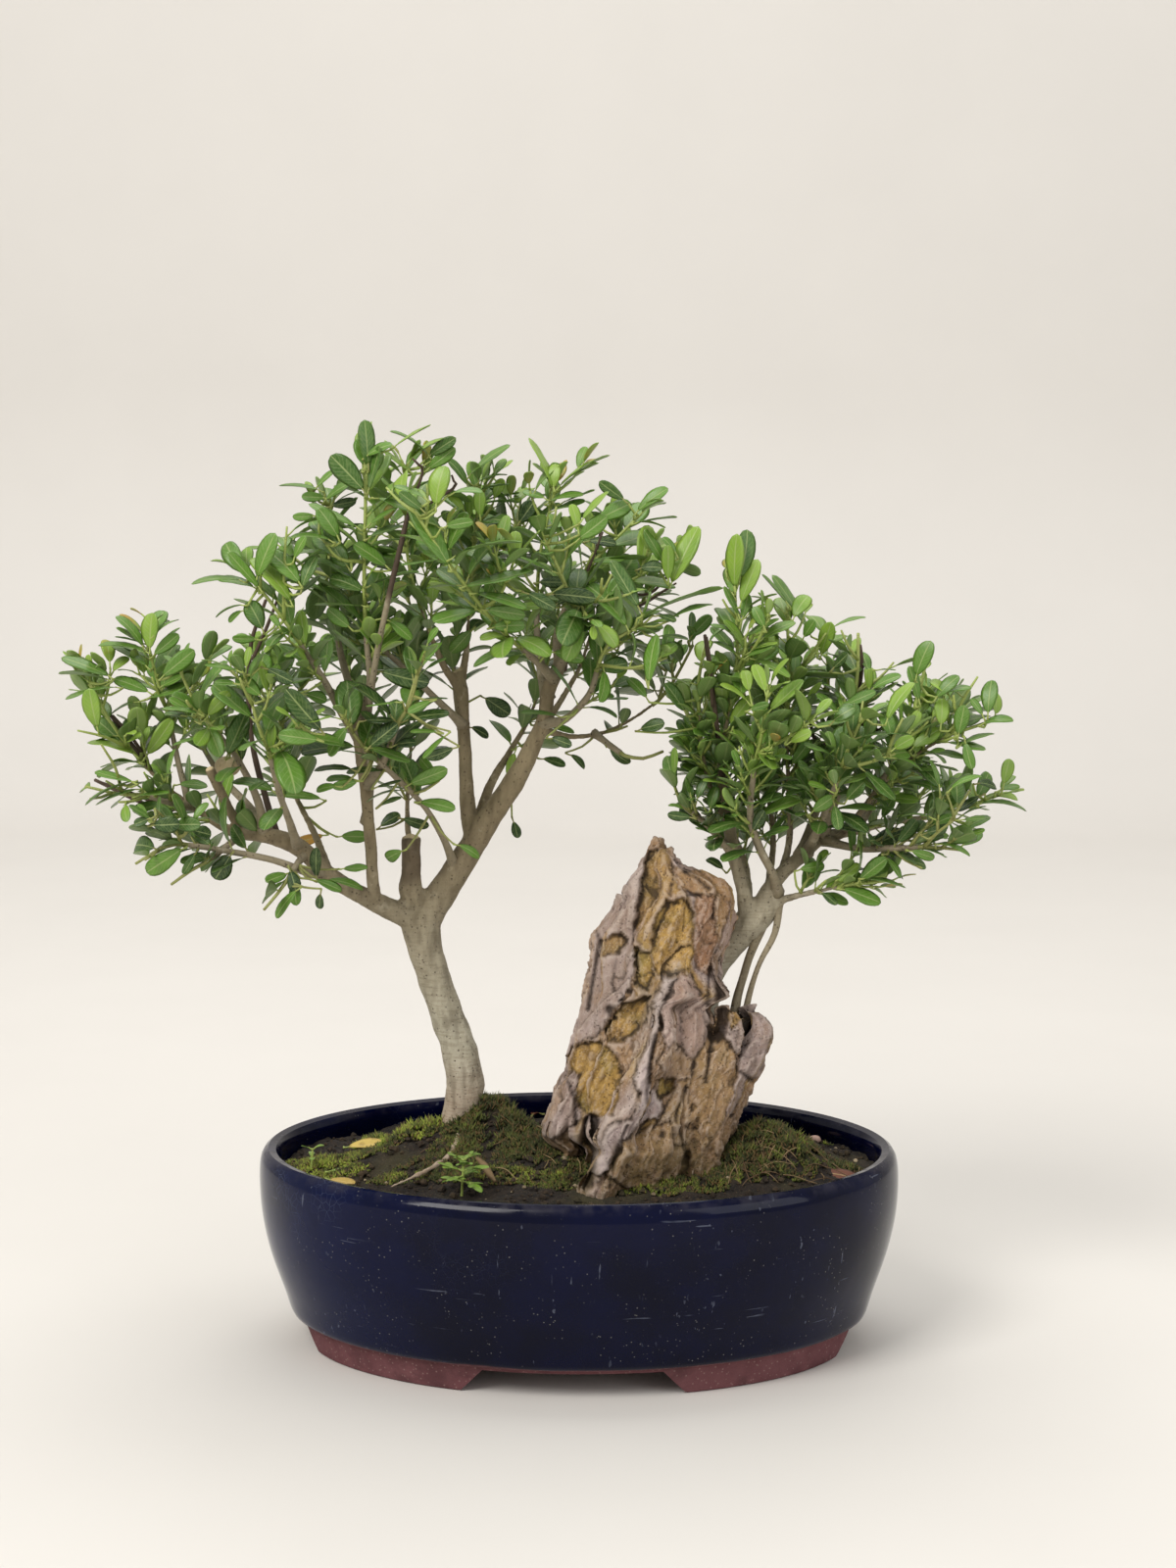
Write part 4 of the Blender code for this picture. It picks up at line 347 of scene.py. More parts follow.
# Leaves that stand out in the photo, as pixels (u, v) of the base and of the tip, width
# in pixels, and tone: O orange, Y young yellow-green, M mid green, B bluish green and D
# dark green
LEFT_LEAVES = [
    (330, 852, 302, 861, 11, "O"),
    (246, 592, 195, 580, 13, "M"), (250, 585, 222, 550, 20, "M"), (265, 600, 231, 564, 15, "M"),
    (262, 590, 277, 543, 22, "M"), (297, 614, 265, 559, 20, "Y"), (306, 595, 276, 553, 22, "M"),
    (304, 595, 267, 583, 11, "M"), (300, 570, 309, 547, 12, "M"), (308, 600, 318, 565, 17, "B"),
    (153, 662, 153, 625, 22, "Y"), (146, 660, 127, 622, 12, "M"), (148, 660, 121, 637, 7, "M"),
    (150, 665, 102, 647, 12, "M"), (150, 680, 116, 655, 13, "M"), (160, 645, 178, 625, 8, "M"),
    (157, 668, 183, 647, 14, "M"), (166, 690, 198, 663, 18, "M"), (112, 690, 64, 666, 17, "M"),
    (110, 693, 61, 680, 5, "M"), (120, 701, 64, 701, 10, "M"), (138, 716, 107, 724, 9, "M"),
    (152, 706, 116, 689, 16, "M"), (152, 712, 193, 698, 14, "M"), (165, 700, 187, 689, 12, "M"),
    (203, 728, 166, 718, 11, "M"), (200, 736, 167, 724, 10, "B"), (150, 770, 178, 735, 16, "Y"),
    (138, 770, 92, 741, 14, "Y"), (143, 778, 101, 772, 7, "M"), (136, 798, 96, 788, 10, "M"),
    (135, 797, 81, 809, 7, "M"), (140, 805, 95, 817, 12, "M"), (140, 812, 173, 807, 8, "M"),
    (183, 800, 212, 800, 14, "M"), (152, 835, 137, 842, 10, "D"), (156, 842, 182, 842, 18, "D"),
    (178, 842, 204, 840, 16, "B"), (196, 847, 216, 852, 16, "D"), (186, 866, 146, 893, 20, "M"),
    (199, 871, 188, 893, 10, "B"), (235, 873, 220, 898, 20, "D"), (296, 888, 304, 910, 14, "D"),
    (303, 908, 276, 933, 13, "M"), (323, 895, 320, 866, 14, "D"), (327, 912, 325, 928, 10, "D"),
    (322, 898, 350, 908, 12, "M"), (334, 898, 373, 899, 12, "M"), (328, 815, 288, 808, 14, "M"),
    (232, 770, 252, 728, 20, "B"), (325, 755, 283, 750, 17, "M"), (328, 745, 290, 705, 25, "D"),
    (354, 742, 331, 769, 20, "M"), (268, 642, 255, 613, 20, "B"), (247, 617, 216, 620, 6, "M"),
    (247, 623, 231, 632, 8, "M"), (262, 652, 237, 652, 9, "M"), (243, 684, 209, 676, 9, "M"),
    (240, 697, 218, 696, 10, "M"), (266, 710, 242, 690, 18, "M"), (272, 682, 298, 697, 13, "D"),
    (212, 730, 232, 706, 15, "Y"), (312, 708, 334, 714, 16, "M"), (376, 475, 373, 428, 17, "B"),
    (372, 475, 370, 445, 20, "M"), (371, 500, 338, 463, 24, "B"), (374, 465, 397, 449, 14, "M"),
    (376, 500, 388, 455, 14, "B"), (323, 497, 340, 477, 10, "M"), (332, 510, 354, 490, 12, "M"),
    (326, 500, 285, 489, 12, "M"), (332, 508, 308, 506, 11, "M"), (365, 538, 316, 511, 15, "M"),
    (338, 516, 364, 512, 10, "D"), (345, 548, 328, 517, 22, "M"), (337, 551, 295, 536, 12, "M"),
    (321, 526, 300, 529, 8, "M"), (377, 535, 402, 516, 11, "M"), (385, 508, 418, 515, 10, "M"),
    (377, 548, 411, 531, 13, "B"), (395, 578, 362, 553, 20, "M"), (355, 578, 337, 557, 20, "B"),
    (371, 603, 337, 583, 20, "B"), (371, 618, 320, 615, 9, "M"), (357, 640, 333, 622, 16, "M"),
    (438, 465, 407, 428, 7, "M"), (403, 455, 438, 431, 12, "Y"), (418, 470, 455, 430, 13, "Y"),
    (418, 480, 390, 458, 11, "Y"), (438, 465, 464, 446, 14, "B"), (437, 478, 464, 458, 14, "M"),
    (445, 516, 447, 474, 24, "Y"), (477, 495, 462, 466, 12, "B"), (479, 485, 514, 446, 13, "M"),
    (488, 492, 514, 474, 8, "M"), (488, 500, 518, 490, 7, "M"), (492, 514, 529, 504, 8, "M"),
    (462, 503, 492, 493, 10, "M"), (490, 527, 487, 502, 13, "Y"), (455, 537, 481, 532, 12, "M"),
    (459, 578, 419, 509, 30, "M"), (434, 508, 403, 491, 9, "M"), (431, 520, 408, 503, 12, "B"),
    (474, 598, 544, 586, 22, "M"), (485, 605, 540, 612, 17, "M"), (497, 622, 537, 628, 16, "M"),
    (503, 640, 536, 636, 15, "M"), (538, 605, 568, 622, 14, "D"), (550, 594, 575, 594, 12, "D"),
    (567, 617, 600, 597, 14, "D"), (463, 568, 527, 535, 10, "M"), (530, 533, 545, 512, 18, "D"),
    (556, 508, 533, 499, 12, "M"), (565, 497, 547, 442, 12, "Y"), (570, 497, 614, 452, 12, "Y"),
    (565, 498, 564, 472, 15, "Y"), (560, 512, 592, 495, 10, "M"), (575, 512, 607, 499, 6, "M"),
    (590, 540, 585, 513, 13, "Y"), (566, 520, 597, 509, 10, "M"), (481, 643, 460, 668, 16, "M"),
    (397, 633, 422, 650, 15, "M"), (388, 685, 436, 700, 20, "D"), (377, 762, 406, 738, 22, "D"),
    (378, 763, 420, 774, 16, "M"), (403, 760, 424, 755, 12, "D"), (418, 800, 456, 786, 16, "M"),
    (428, 818, 464, 822, 15, "M"), (388, 822, 409, 812, 8, "D"), (384, 803, 410, 797, 7, "D"),
    (388, 843, 408, 830, 14, "D"), (411, 835, 436, 845, 10, "D"), (410, 868, 389, 879, 13, "M"),
    (445, 792, 425, 772, 12, "M"), (372, 735, 400, 735, 10, "D"), (447, 747, 418, 745, 9, "M"),
    (455, 750, 432, 775, 9, "M"), (463, 763, 435, 777, 11, "D"), (440, 715, 416, 727, 11, "M"),
    (405, 716, 373, 722, 8, "M"), (360, 785, 320, 777, 12, "D"), (362, 795, 332, 792, 10, "M"),
    (365, 797, 340, 805, 10, "M"), (344, 802, 321, 803, 11, "M"), (348, 853, 375, 855, 13, "M"),
    (350, 886, 375, 887, 12, "M"), (468, 862, 493, 872, 11, "M"), (524, 838, 529, 855, 10, "D"),
    (525, 768, 518, 792, 12, "Y"), (495, 712, 520, 730, 18, "D"), (481, 742, 500, 750, 12, "D"),
    (554, 774, 578, 780, 12, "D"), (582, 770, 600, 781, 10, "D"), (562, 753, 582, 759, 11, "D"),
    (569, 730, 531, 725, 10, "B"), (554, 740, 587, 745, 10, "M"), (637, 510, 611, 492, 12, "B"),
    (594, 530, 620, 500, 13, "Y"), (610, 530, 648, 511, 18, "M"), (590, 550, 620, 528, 18, "M"),
    (650, 522, 678, 494, 15, "M"), (650, 533, 691, 524, 8, "M"), (678, 575, 658, 540, 16, "M"),
    (690, 565, 679, 546, 10, "M"), (685, 595, 712, 536, 26, "Y"), (682, 592, 682, 556, 15, "Y"),
    (653, 580, 674, 575, 16, "D"), (652, 620, 622, 572, 22, "B"), (640, 640, 607, 588, 22, "M"),
    (655, 628, 735, 590, 14, "M"), (686, 630, 723, 605, 12, "M"), (705, 650, 725, 627, 14, "M"),
    (671, 628, 690, 631, 9, "D"), (672, 649, 702, 648, 9, "D"), (662, 697, 664, 646, 17, "M"),
    (612, 682, 642, 676, 17, "B"), (565, 665, 596, 673, 13, "M"), (600, 572, 638, 571, 12, "M"),
    (600, 552, 629, 550, 13, "D"), (563, 606, 608, 609, 17, "D"), (622, 763, 642, 783, 10, "D"),
]
RIGHT_LEAVES = [
    (750, 600, 747, 545, 19, "Y"), (755, 590, 770, 541, 19, "B"), (756, 615, 772, 570, 18, "Y"),
    (754, 628, 739, 598, 10, "M"), (752, 645, 727, 633, 10, "M"), (780, 640, 769, 619, 12, "M"),
    (760, 650, 793, 628, 13, "M"), (803, 615, 777, 586, 7, "M"), (826, 645, 793, 583, 15, "M"),
    (810, 630, 822, 602, 18, "Y"), (820, 650, 831, 633, 13, "M"), (838, 668, 848, 634, 17, "Y"),
    (850, 640, 880, 621, 8, "M"), (850, 682, 866, 667, 14, "D"), (762, 670, 787, 657, 10, "M"),
    (752, 668, 731, 650, 9, "M"), (887, 704, 887, 682, 10, "Y"), (890, 703, 916, 684, 12, "M"),
    (905, 735, 925, 690, 17, "Y"), (938, 715, 929, 679, 13, "M"), (935, 690, 945, 654, 20, "M"),
    (955, 712, 975, 687, 15, "M"), (960, 708, 989, 692, 8, "M"), (960, 740, 964, 711, 18, "Y"),
    (978, 750, 985, 720, 17, "M"), (1008, 728, 1010, 692, 18, "M"), (1003, 738, 1034, 726, 11, "M"),
    (1003, 730, 993, 712, 9, "M"), (980, 760, 1013, 742, 10, "M"), (985, 757, 990, 785, 12, "M"),
    (970, 805, 998, 783, 10, "M"), (1024, 800, 1030, 774, 15, "Y"), (998, 799, 1020, 799, 13, "D"),
    (1020, 806, 1041, 799, 8, "M"), (1000, 820, 1050, 811, 12, "M"), (1000, 812, 976, 828, 11, "D"),
    (925, 798, 962, 797, 11, "M"), (944, 850, 964, 846, 12, "D"), (930, 868, 955, 877, 10, "M"),
    (960, 861, 993, 865, 8, "M"), (877, 898, 905, 875, 18, "M"), (904, 875, 923, 894, 10, "M"),
    (882, 896, 926, 900, 11, "M"), (860, 907, 900, 920, 18, "M"), (838, 910, 854, 922, 9, "D"),
    (738, 887, 721, 873, 12, "D"), (706, 834, 681, 833, 9, "D"), (816, 887, 844, 883, 12, "M"),
    (745, 740, 765, 710, 18, "Y"), (765, 724, 784, 719, 9, "M"), (699, 726, 681, 696, 18, "B"),
    (660, 712, 642, 689, 14, "M"), (850, 736, 869, 719, 17, "B"), (860, 720, 894, 706, 14, "M"),
    (806, 757, 828, 746, 14, "Y"), (808, 780, 829, 755, 14, "M"), (829, 828, 850, 814, 14, "M"),
    (864, 816, 880, 797, 18, "B"), (653, 744, 678, 738, 16, "D"), (768, 848, 780, 828, 13, "D"),
    (931, 763, 958, 742, 18, "Y"), (912, 764, 931, 752, 14, "Y"),
]

# Outlines of the two crowns in the photo, in pixels
LEFT_OUTLINE = [
    (60, 700), (62, 664), (102, 643), (120, 621), (152, 621), (180, 622), (186, 645), (202, 662),
    (216, 640), (214, 616), (228, 606), (193, 580), (220, 548), (232, 560), (262, 552), (276, 541),
    (292, 548), (310, 545), (316, 528), (284, 486), (322, 477), (338, 461), (362, 466), (369, 430),
    (380, 428), (392, 444), (406, 427), (424, 436), (440, 429), (457, 428), (466, 446), (492, 462),
    (514, 445), (530, 470), (522, 490), (534, 498), (545, 441), (565, 455), (614, 450), (612, 492),
    (648, 509), (678, 492), (692, 522), (712, 534), (706, 566), (738, 588), (730, 600), (726, 628),
    (704, 656), (666, 697), (640, 694), (644, 783), (618, 785), (598, 760), (597, 784), (554, 785),
    (540, 800), (530, 858), (518, 858), (494, 876), (466, 868), (462, 828), (436, 850), (410, 882),
    (374, 902), (350, 912), (325, 930), (276, 935), (268, 905), (220, 900), (188, 895), (145, 895),
    (134, 845), (92, 822), (80, 810), (92, 788), (98, 774), (90, 740), (106, 726),
]
RIGHT_OUTLINE = [
    (660, 714), (640, 689), (676, 690), (700, 690), (712, 660), (726, 632), (738, 598), (745, 543),
    (771, 539), (786, 574), (776, 585), (795, 582), (822, 600), (832, 632), (850, 632), (866, 650),
    (882, 619), (880, 650), (888, 682), (916, 682), (928, 677), (945, 652), (956, 688), (976, 685),
    (990, 692), (986, 716), (1010, 690), (1022, 714), (1036, 726), (1014, 744), (1000, 784),
    (1018, 776), (1031, 772), (1040, 796), (1052, 811), (1020, 822), (994, 868), (954, 879),
    (926, 902), (900, 921), (856, 924), (836, 912), (816, 892), (786, 872), (764, 858), (740, 890),
    (720, 873), (716, 848), (678, 838), (676, 760), (650, 752),
]


# Mesh tools
LINE_STEP = 4.0           # between the points at which a middle line is worked out
WOOD_STEP = 3.0
FLARE_REACH = 3.0         # how far up a stem its foot flares, in radii of the foot
BARK_SCALE = 0.11         # of the noise that makes a stem knobbly
BARK_SPREAD = 9.0


def from_photo(u, v, y):
    """The point at depth y that the photo shows at pixel (u, v)."""
    ray = (LOOK + LOOK_RIGHT * ((u - PICTURE_WIDTH / 2) / FOCAL_PIXELS)
           - LOOK_UP * ((v - PICTURE_HEIGHT / 2) / FOCAL_PIXELS))
    return CAMERA_PLACE + ray * ((y - CAMERA_PLACE.y) / ray.y)


def to_photo(point):
    """The pixel (u, v) where the photo shows a point."""
    away = Vector(point) - CAMERA_PLACE
    far = away.dot(LOOK)
    return (PICTURE_WIDTH / 2 + FOCAL_PIXELS * away.dot(LOOK_RIGHT) / far,
            PICTURE_HEIGHT / 2 - FOCAL_PIXELS * away.dot(LOOK_UP) / far)


def inside(outline, u, v):
    """Whether a pixel lies in a closed outline."""
    crossings = 0
    for (au, av), (bu, bv) in zip(outline, outline[1:] + outline[:1]):
        if (av > v) != (bv > v) and u < au + (bu - au) * (v - av) / (bv - av):
            crossings += 1
    return crossings % 2 == 1


def smooth_path(points, spacing):
    """Points (x, y, z, radius) along a Catmull-Rom curve through the given ones."""
    knots = [Vector(p) for p in points]
    ends = [knots[0] * 2 - knots[1]] + knots + [knots[-1] * 2 - knots[-2]]
    path = []
    for i in range(1, len(ends) - 2):
        a, b, c, d = ends[i - 1:i + 3]
        steps = max(1, round((c.to_3d() - b.to_3d()).length / spacing))
        for step in range(steps):
            t = step / steps
            path.append(0.5 * ((2 * b) + (c - a) * t + (2 * a - 5 * b + 4 * c - d) * t * t
                               + (3 * b - a - 3 * c + d) * t ** 3))
    path.append(knots[-1])
    return path


def point_at(path, distance):
    """Place and direction on a broken line at a distance from its start."""
    for a, b in zip(path, path[1:]):
        step = (b - a).length
        if distance <= step:
            break
        distance -= step
    ahead = (b - a).normalized()
    return a + ahead * min(distance, step), ahead


def path_length(path):
    return sum((b - a).length for a, b in zip(path, path[1:]))


def grain(points, scale, seed=0.0):
    """Smooth noise, about -1 to 1, at each of the points."""
    offset = Vector((seed, seed * 0.7, seed * 1.3))
    return np.array([noise.noise(Vector(p) * scale + offset) for p in points])


def ramp(values, low, high):
    """0 below low and 1 above high, smooth between them."""
    share = np.clip((values - low) / (high - low), 0.0, 1.0)
    return share * share * (3.0 - 2.0 * share)


class Shell:
    """Collects closed bodies, with values at their points, to make one piece of them."""

    def __init__(self, *value_names):
        self.points = []
        self.faces = []
        self.slots = []
        self.values = {name: [] for name in value_names}
        self.count = 0

    def add(self, points, faces, slot=0, **values):
        points = np.asarray(points, dtype=float).reshape(-1, 3)
        self.points.append(points)
        self.faces += [tuple(i + self.count for i in face) for face in faces]
        self.slots += [slot] * len(faces)
        for name, store in self.values.items():
            store.append(np.broadcast_to(np.asarray(values.get(name, 0.0), dtype=float),
                                         (len(points),)))
        self.count += len(points)

    def mesh(self, name):
        """The bodies as a mesh still in millimetres."""
        made = bpy.data.meshes.new(name)
        made.from_pydata(np.concatenate(self.points).tolist(), [], self.faces)
        return made

    def piece(self, name, materials, smooth_angle=180.0):
        """The bodies as one object in metres, with its materials and values."""
        made = bpy.data.meshes.new(name)
        points = (np.concatenate(self.points) + np.array(SHIFT)) * MM
        made.from_pydata(points.tolist(), [], self.faces)
        for value, store in self.values.items():
            layer = made.attributes.new(value, "FLOAT", "POINT")
            layer.data.foreach_set("value", np.concatenate(store).astype(np.float32))
        for material in materials:
            made.materials.append(material)
        made.polygons.foreach_set("material_index", self.slots)
        made.shade_smooth()
        if smooth_angle < 180.0:
            made.set_sharp_from_angle(angle=math.radians(smooth_angle))
        made.update()
        piece = bpy.data.objects.new(name, made)
        bpy.context.scene.collection.objects.link(piece)
        return piece


def tube(points, sides, spacing, roughness=0.0, flare=0.0):
    """Points and faces of a closed tapering stem through (x, y, z, radius).

    The bark is knobbly by a roughness, and a flare widens the foot of the stem.
    """
    path = smooth_path(points, spacing)
    places = [p.to_3d() for p in path]
    verts, side, gone = [], None, 0.0
    for i, (knot, place) in enumerate(zip(path, places)):
        ahead = (places[min(i + 1, len(places) - 1)] - places[max(i - 1, 0)]).normalized()
        if side is None:
            side = ahead.orthogonal().normalized()
        side = (side - ahead * side.dot(ahead)).normalized()
        other = ahead.cross(side)
        gone += (place - places[i - 1]).length if i else 0.0
        radius = knot.w * (1.0 + flare * math.exp(-gone / (FLARE_REACH * points[0][3])))
        for k in range(sides):
            turn = math.tau * k / sides
            out = side * math.cos(turn) + other * math.sin(turn)
            bump = 1.0
            if roughness:
                bump += noise.noise((place + out * BARK_SPREAD) * BARK_SCALE) * roughness
            verts.append(place + out * (radius * bump))
    last = len(path) - 1
    end_ahead = (places[-1] - places[-2]).normalized()
    verts += [places[0], places[-1] + end_ahead * (path[-1].w * 0.5)]
    faces = []
    for k in range(sides):
        j = (k + 1) % sides
        for row in range(last):
            low, high = row * sides, (row + 1) * sides
            faces.append((low + k, low + j, high + j, high + k))
        faces.append((len(verts) - 2, j, k))
        faces.append((len(verts) - 1, last * sides + k, last * sides + j))
    return verts, faces


def oval_ring(half_x, half_y, z, segments):
    turns = [math.tau * i / segments for i in range(segments)]
    return [Vector((half_x * math.cos(t), half_y * math.sin(t), z)) for t in turns]


def loft(rings):
    """Points and faces of a closed body through rings of equal point count."""
    count = len(rings[0])
    verts = [point for ring in rings for point in ring]
    faces = [tuple(reversed(range(count)))]
    for row in range(len(rings) - 1):
        low, high = row * count, (row + 1) * count
        for i in range(count):
            j = (i + 1) % count
            faces.append((low + i, low + j, high + j, high + i))
    faces.append(tuple(range((len(rings) - 1) * count, len(rings) * count)))
    return verts, faces


def worked(mesh, *steps):
    """A mesh after modifiers, each given as (kind, settings)."""
    holder = bpy.data.objects.new("work", mesh)
    bpy.context.scene.collection.objects.link(holder)
    for kind, settings in steps:
        modifier = holder.modifiers.new(kind.lower(), kind)
        for key, value in settings.items():
            setattr(modifier, key, value)
    bpy.context.view_layer.update()
    graph = bpy.context.evaluated_depsgraph_get()
    made = bpy.data.meshes.new_from_object(holder.evaluated_get(graph))
    bpy.data.objects.remove(holder, do_unlink=True)
    return made


def cut_with(mesh, cutters):
    """A mesh with each of the cutters, as (points, faces), taken out."""
    for verts, faces in cutters:
        shape = bpy.data.meshes.new("cutter")
        shape.from_pydata([tuple(v) for v in verts], [], faces)
        cutter = bpy.data.objects.new("cutter", shape)
        bpy.context.scene.collection.objects.link(cutter)
        mesh = worked(mesh, ("BOOLEAN", {"operation": "DIFFERENCE", "object": cutter,
                                         "solver": "EXACT"}))
        bpy.data.objects.remove(cutter, do_unlink=True)
    return mesh


def mesh_arrays(mesh):
    """Points and normals of a mesh as arrays."""
    points = np.empty(len(mesh.vertices) * 3)
    normals = np.empty(len(mesh.vertices) * 3)
    mesh.vertices.foreach_get("co", points)
    mesh.vertex_normals.foreach_get("vector", normals)
    return points.reshape(-1, 3), normals.reshape(-1, 3)


def place_piece(piece, slot, *nodes):
    """Hang a piece in the frame, in place of the given nodes."""
    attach(piece, "root")
    if nodes:
        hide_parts(*nodes)
    return piece


def soil_height(x, y):
    """Height of the soil: mounds that fade towards the pot's wall."""
    reach = math.hypot(x / POT_HALF_LENGTH, y / POT_HALF_DEPTH)
    fade = max(0.0, 1.0 - (reach / 0.93) ** 5)
    height = SOIL_LEVEL
    for mound_x, mound_y, spread_x, spread_y, rise in SOIL_MOUNDS:
        far = ((x - mound_x) / spread_x) ** 2 + ((y - mound_y) / spread_y) ** 2
        height += rise * math.exp(-far) * fade
    return height + SOIL_ROUGHNESS * noise.noise(Vector((x, y, 3.0)) * 0.09)


def inner_inset(z):
    """Inset of the pot's inner wall at a height."""
    for (high_inset, high), (low_inset, low) in zip(INNER_WALL, INNER_WALL[1:]):
        if low <= z <= high:
            share = (z - low) / (high - low)
            return low_inset + (high_inset - low_inset) * share
    return INNER_WALL[0][0]


# Leaves
LEAF_LENGTH = 19.5
LEAF_SHARE = 0.52         # width as a share of the length
LEAF_THICKNESS = 0.3
LEAF_FOLD = 16.0          # degrees that each half rises from the midrib
FOLD_SPREAD = (-6, 7)     # and how that differs from leaf to leaf
BEND_RANGE = (-0.1, 0.75)     # how far a blade bows down along its length, in radians
TWIST_RANGE = (-16, 16)       # degrees
CURL_RANGE = (-0.05, 0.05)    # sideways, as a share of the length
WAVE_RANGE = (0.0, 0.07)      # of the edge, as a share of the half width
WAVE_TURNS = 11.0
WAVE_LEAN = 2.0
EDGE_DROOP = 0.16         # how much of the fold the edges give back
EDGE_DROOP_POWER = 2.5
EDGE_THINNING = 0.4
PETIOLE_LENGTH = 2.2
PETIOLE_RADIUS = 0.42
STALK_SIDES = 4
STALK_SPACING = 2.5
LEAF_CLEAR = 1.15         # least distance between the blades of two leaves
WOOD_CLEAR = 0.9
NODE_SPACING = 6.8        # between leaf pairs along a shoot
TIP_SPACING = 0.45        # share of that between the first two pairs at its tip
YOUNG_PAIRS = 2.5         # pairs from the tip down that are young
GROWN_TILT = 58.0         # degrees that a grown leaf leans away from its shoot
YOUNG_TILT = 30.0         # how much less the youngest one does
YOUNG_SMALLER = 0.42      # how much smaller it is, as a share
YOUNG_BRIGHTER = 0.34     # how much its tone is brighter
TILT_SPREAD = 10          # degrees
SPIN_SPREAD = 12          # degrees
LOOSE_TILT = 35           # degrees more that a leaf may tilt or turn to find room
LOOSE_SPIN = 80
LOOSE_SMALLER = 0.25
SIZE_SPREAD = (0.74, 1.14)
WIDTH_SPREAD = (0.86, 1.12)
STALK_SPREAD = (0.6, 1.2)
TONE_SPREAD = (-0.22, 0.24)
SHOOT_SIDES = 6
TWIG_RADIUS = 0.5
TWIG_ROUGHNESS = 0.12
SIDE_TWIG_RADII = (0.75, 0.6, 0.45)
SIDE_TWIG_REACH = (8.0, 17.0)
SHOOT_STEP = 3.0
LEAF_TRIES = 7
HERO_TRIES = 8
HERO_CLEAR = 0.9          # least distance between the blades of leaves from the photo
HERO_SHADE = 15.0         # pixels round a leaf from the photo that stay clear before it
HERO_WIDEST = 1.06        # a leaf's width as a share of what the photo shows of it
HERO_NARROWEST = 0.42     # and as a share of its length
PATH_SPACING = 24.0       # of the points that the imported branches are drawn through
HERO_DEPTH_STEP = 4.0     # how far in front of its stem a leaf from the photo stands
TONES = {"O": 1.5, "Y": 1.0, "M": 0.66, "B": 0.4, "D": 0.12}
TINT_TONES = (0.74, 0.56, 0.34)
CANOPY_BASE = 75.0
CANOPY_MARGIN = Vector((0.4, 0.4, 0.3))
CANOPY_LOW = Vector(bounds_at_start[0]) / MM - SHIFT + CANOPY_MARGIN
CANOPY_LOW.z = CANOPY_BASE
CANOPY_HIGH = Vector(bounds_at_start[1]) / MM - SHIFT - CANOPY_MARGIN
# Rows and columns of points on a blade, as shares of its length and of half its width
LEAF_ALONG = np.array([0.10, 0.27, 0.48, 0.63, 0.75, 0.86, 0.95])
LEAF_ACROSS = np.array([-1.0, -0.66, 0.0, 0.66, 1.0])
LEAF_ROWS = len(LEAF_ALONG)
LEAF_COLUMNS = len(LEAF_ACROSS)
BASE_ROW, MIDDLE_ROW, FAR_ROW, TIP_ROW = 0, 2, 4, 6
LEAF_MIDDLE = MIDDLE_ROW * LEAF_COLUMNS + 2
LEAF_FAR = FAR_ROW * LEAF_COLUMNS + 2
LEAF_TIP = 2 * LEAF_ROWS * (LEAF_COLUMNS - 1) + 1
BASE_PROBES = 3           # the probes nearest to the stem, which may be close to wood
LEAF_PROBES = [row * LEAF_COLUMNS + column for row in (BASE_ROW, MIDDLE_ROW, FAR_ROW, TIP_ROW)
               for column in (1, 2, 3)] + [LEAF_TIP]
LEAF_SWELL = 0.78         # how slowly a blade widens from its base
LEAF_TAPER = 0.52         # and narrows to its tip


def leaf_faces():
    """Faces of a leaf blade: its top, its underside and both pointed ends."""
    wide, rows = LEAF_COLUMNS, LEAF_ROWS
    top = [[row * wide + i for i in range(wide)] for row in range(rows)]
    start = rows * wide
    under = [[top[row][0]] + [start + row * (wide - 2) + i for i in range(wide - 2)]
             + [top[row][-1]] for row in range(rows)]
    base = start + rows * (wide - 2)
    tip = base + 1
    faces = []
    for i in range(wide - 1):
        faces.append((base, top[0][i + 1], top[0][i]))
        faces.append((base, under[0][i], under[0][i + 1]))
        faces.append((tip, top[-1][i], top[-1][i + 1]))
        faces.append((tip, under[-1][i + 1], under[-1][i]))
        for row in range(rows - 1):
            faces.append((top[row][i], top[row][i + 1], top[row + 1][i + 1], top[row + 1][i]))
            faces.append((under[row][i + 1], under[row][i], under[row + 1][i],
                          under[row + 1][i + 1]))
    return faces


LEAF_FACES = leaf_faces()
ALONG = LEAF_ALONG[:, None]
ACROSS = LEAF_ACROSS[None, :]
WIDEST_AT = LEAF_SWELL / (LEAF_SWELL + LEAF_TAPER)
LEAF_OUTLINE = ((ALONG / WIDEST_AT) ** LEAF_SWELL
                * ((1.0 - ALONG) / (1.0 - WIDEST_AT)) ** LEAF_TAPER)
TOP_GRID = (LEAF_ROWS, LEAF_COLUMNS)
UNDER_GRID = (LEAF_ROWS, LEAF_COLUMNS - 2)
ENDS = [0.0, 0.0]         # values at a blade's base and tip
LEAF_ALONG_VALUES = np.concatenate([np.broadcast_to(ALONG, TOP_GRID).ravel(),
                                    np.broadcast_to(ALONG, UNDER_GRID).ravel(), [0.0, 1.0]])
LEAF_ACROSS_VALUES = np.concatenate([np.broadcast_to(ACROSS, TOP_GRID).ravel(),
                                     np.broadcast_to(ACROSS[:, 1:-1], UNDER_GRID).ravel(), ENDS])
LEAF_UNDER_VALUES = np.concatenate([np.zeros(TOP_GRID).ravel(), np.ones(UNDER_GRID).ravel(), ENDS])


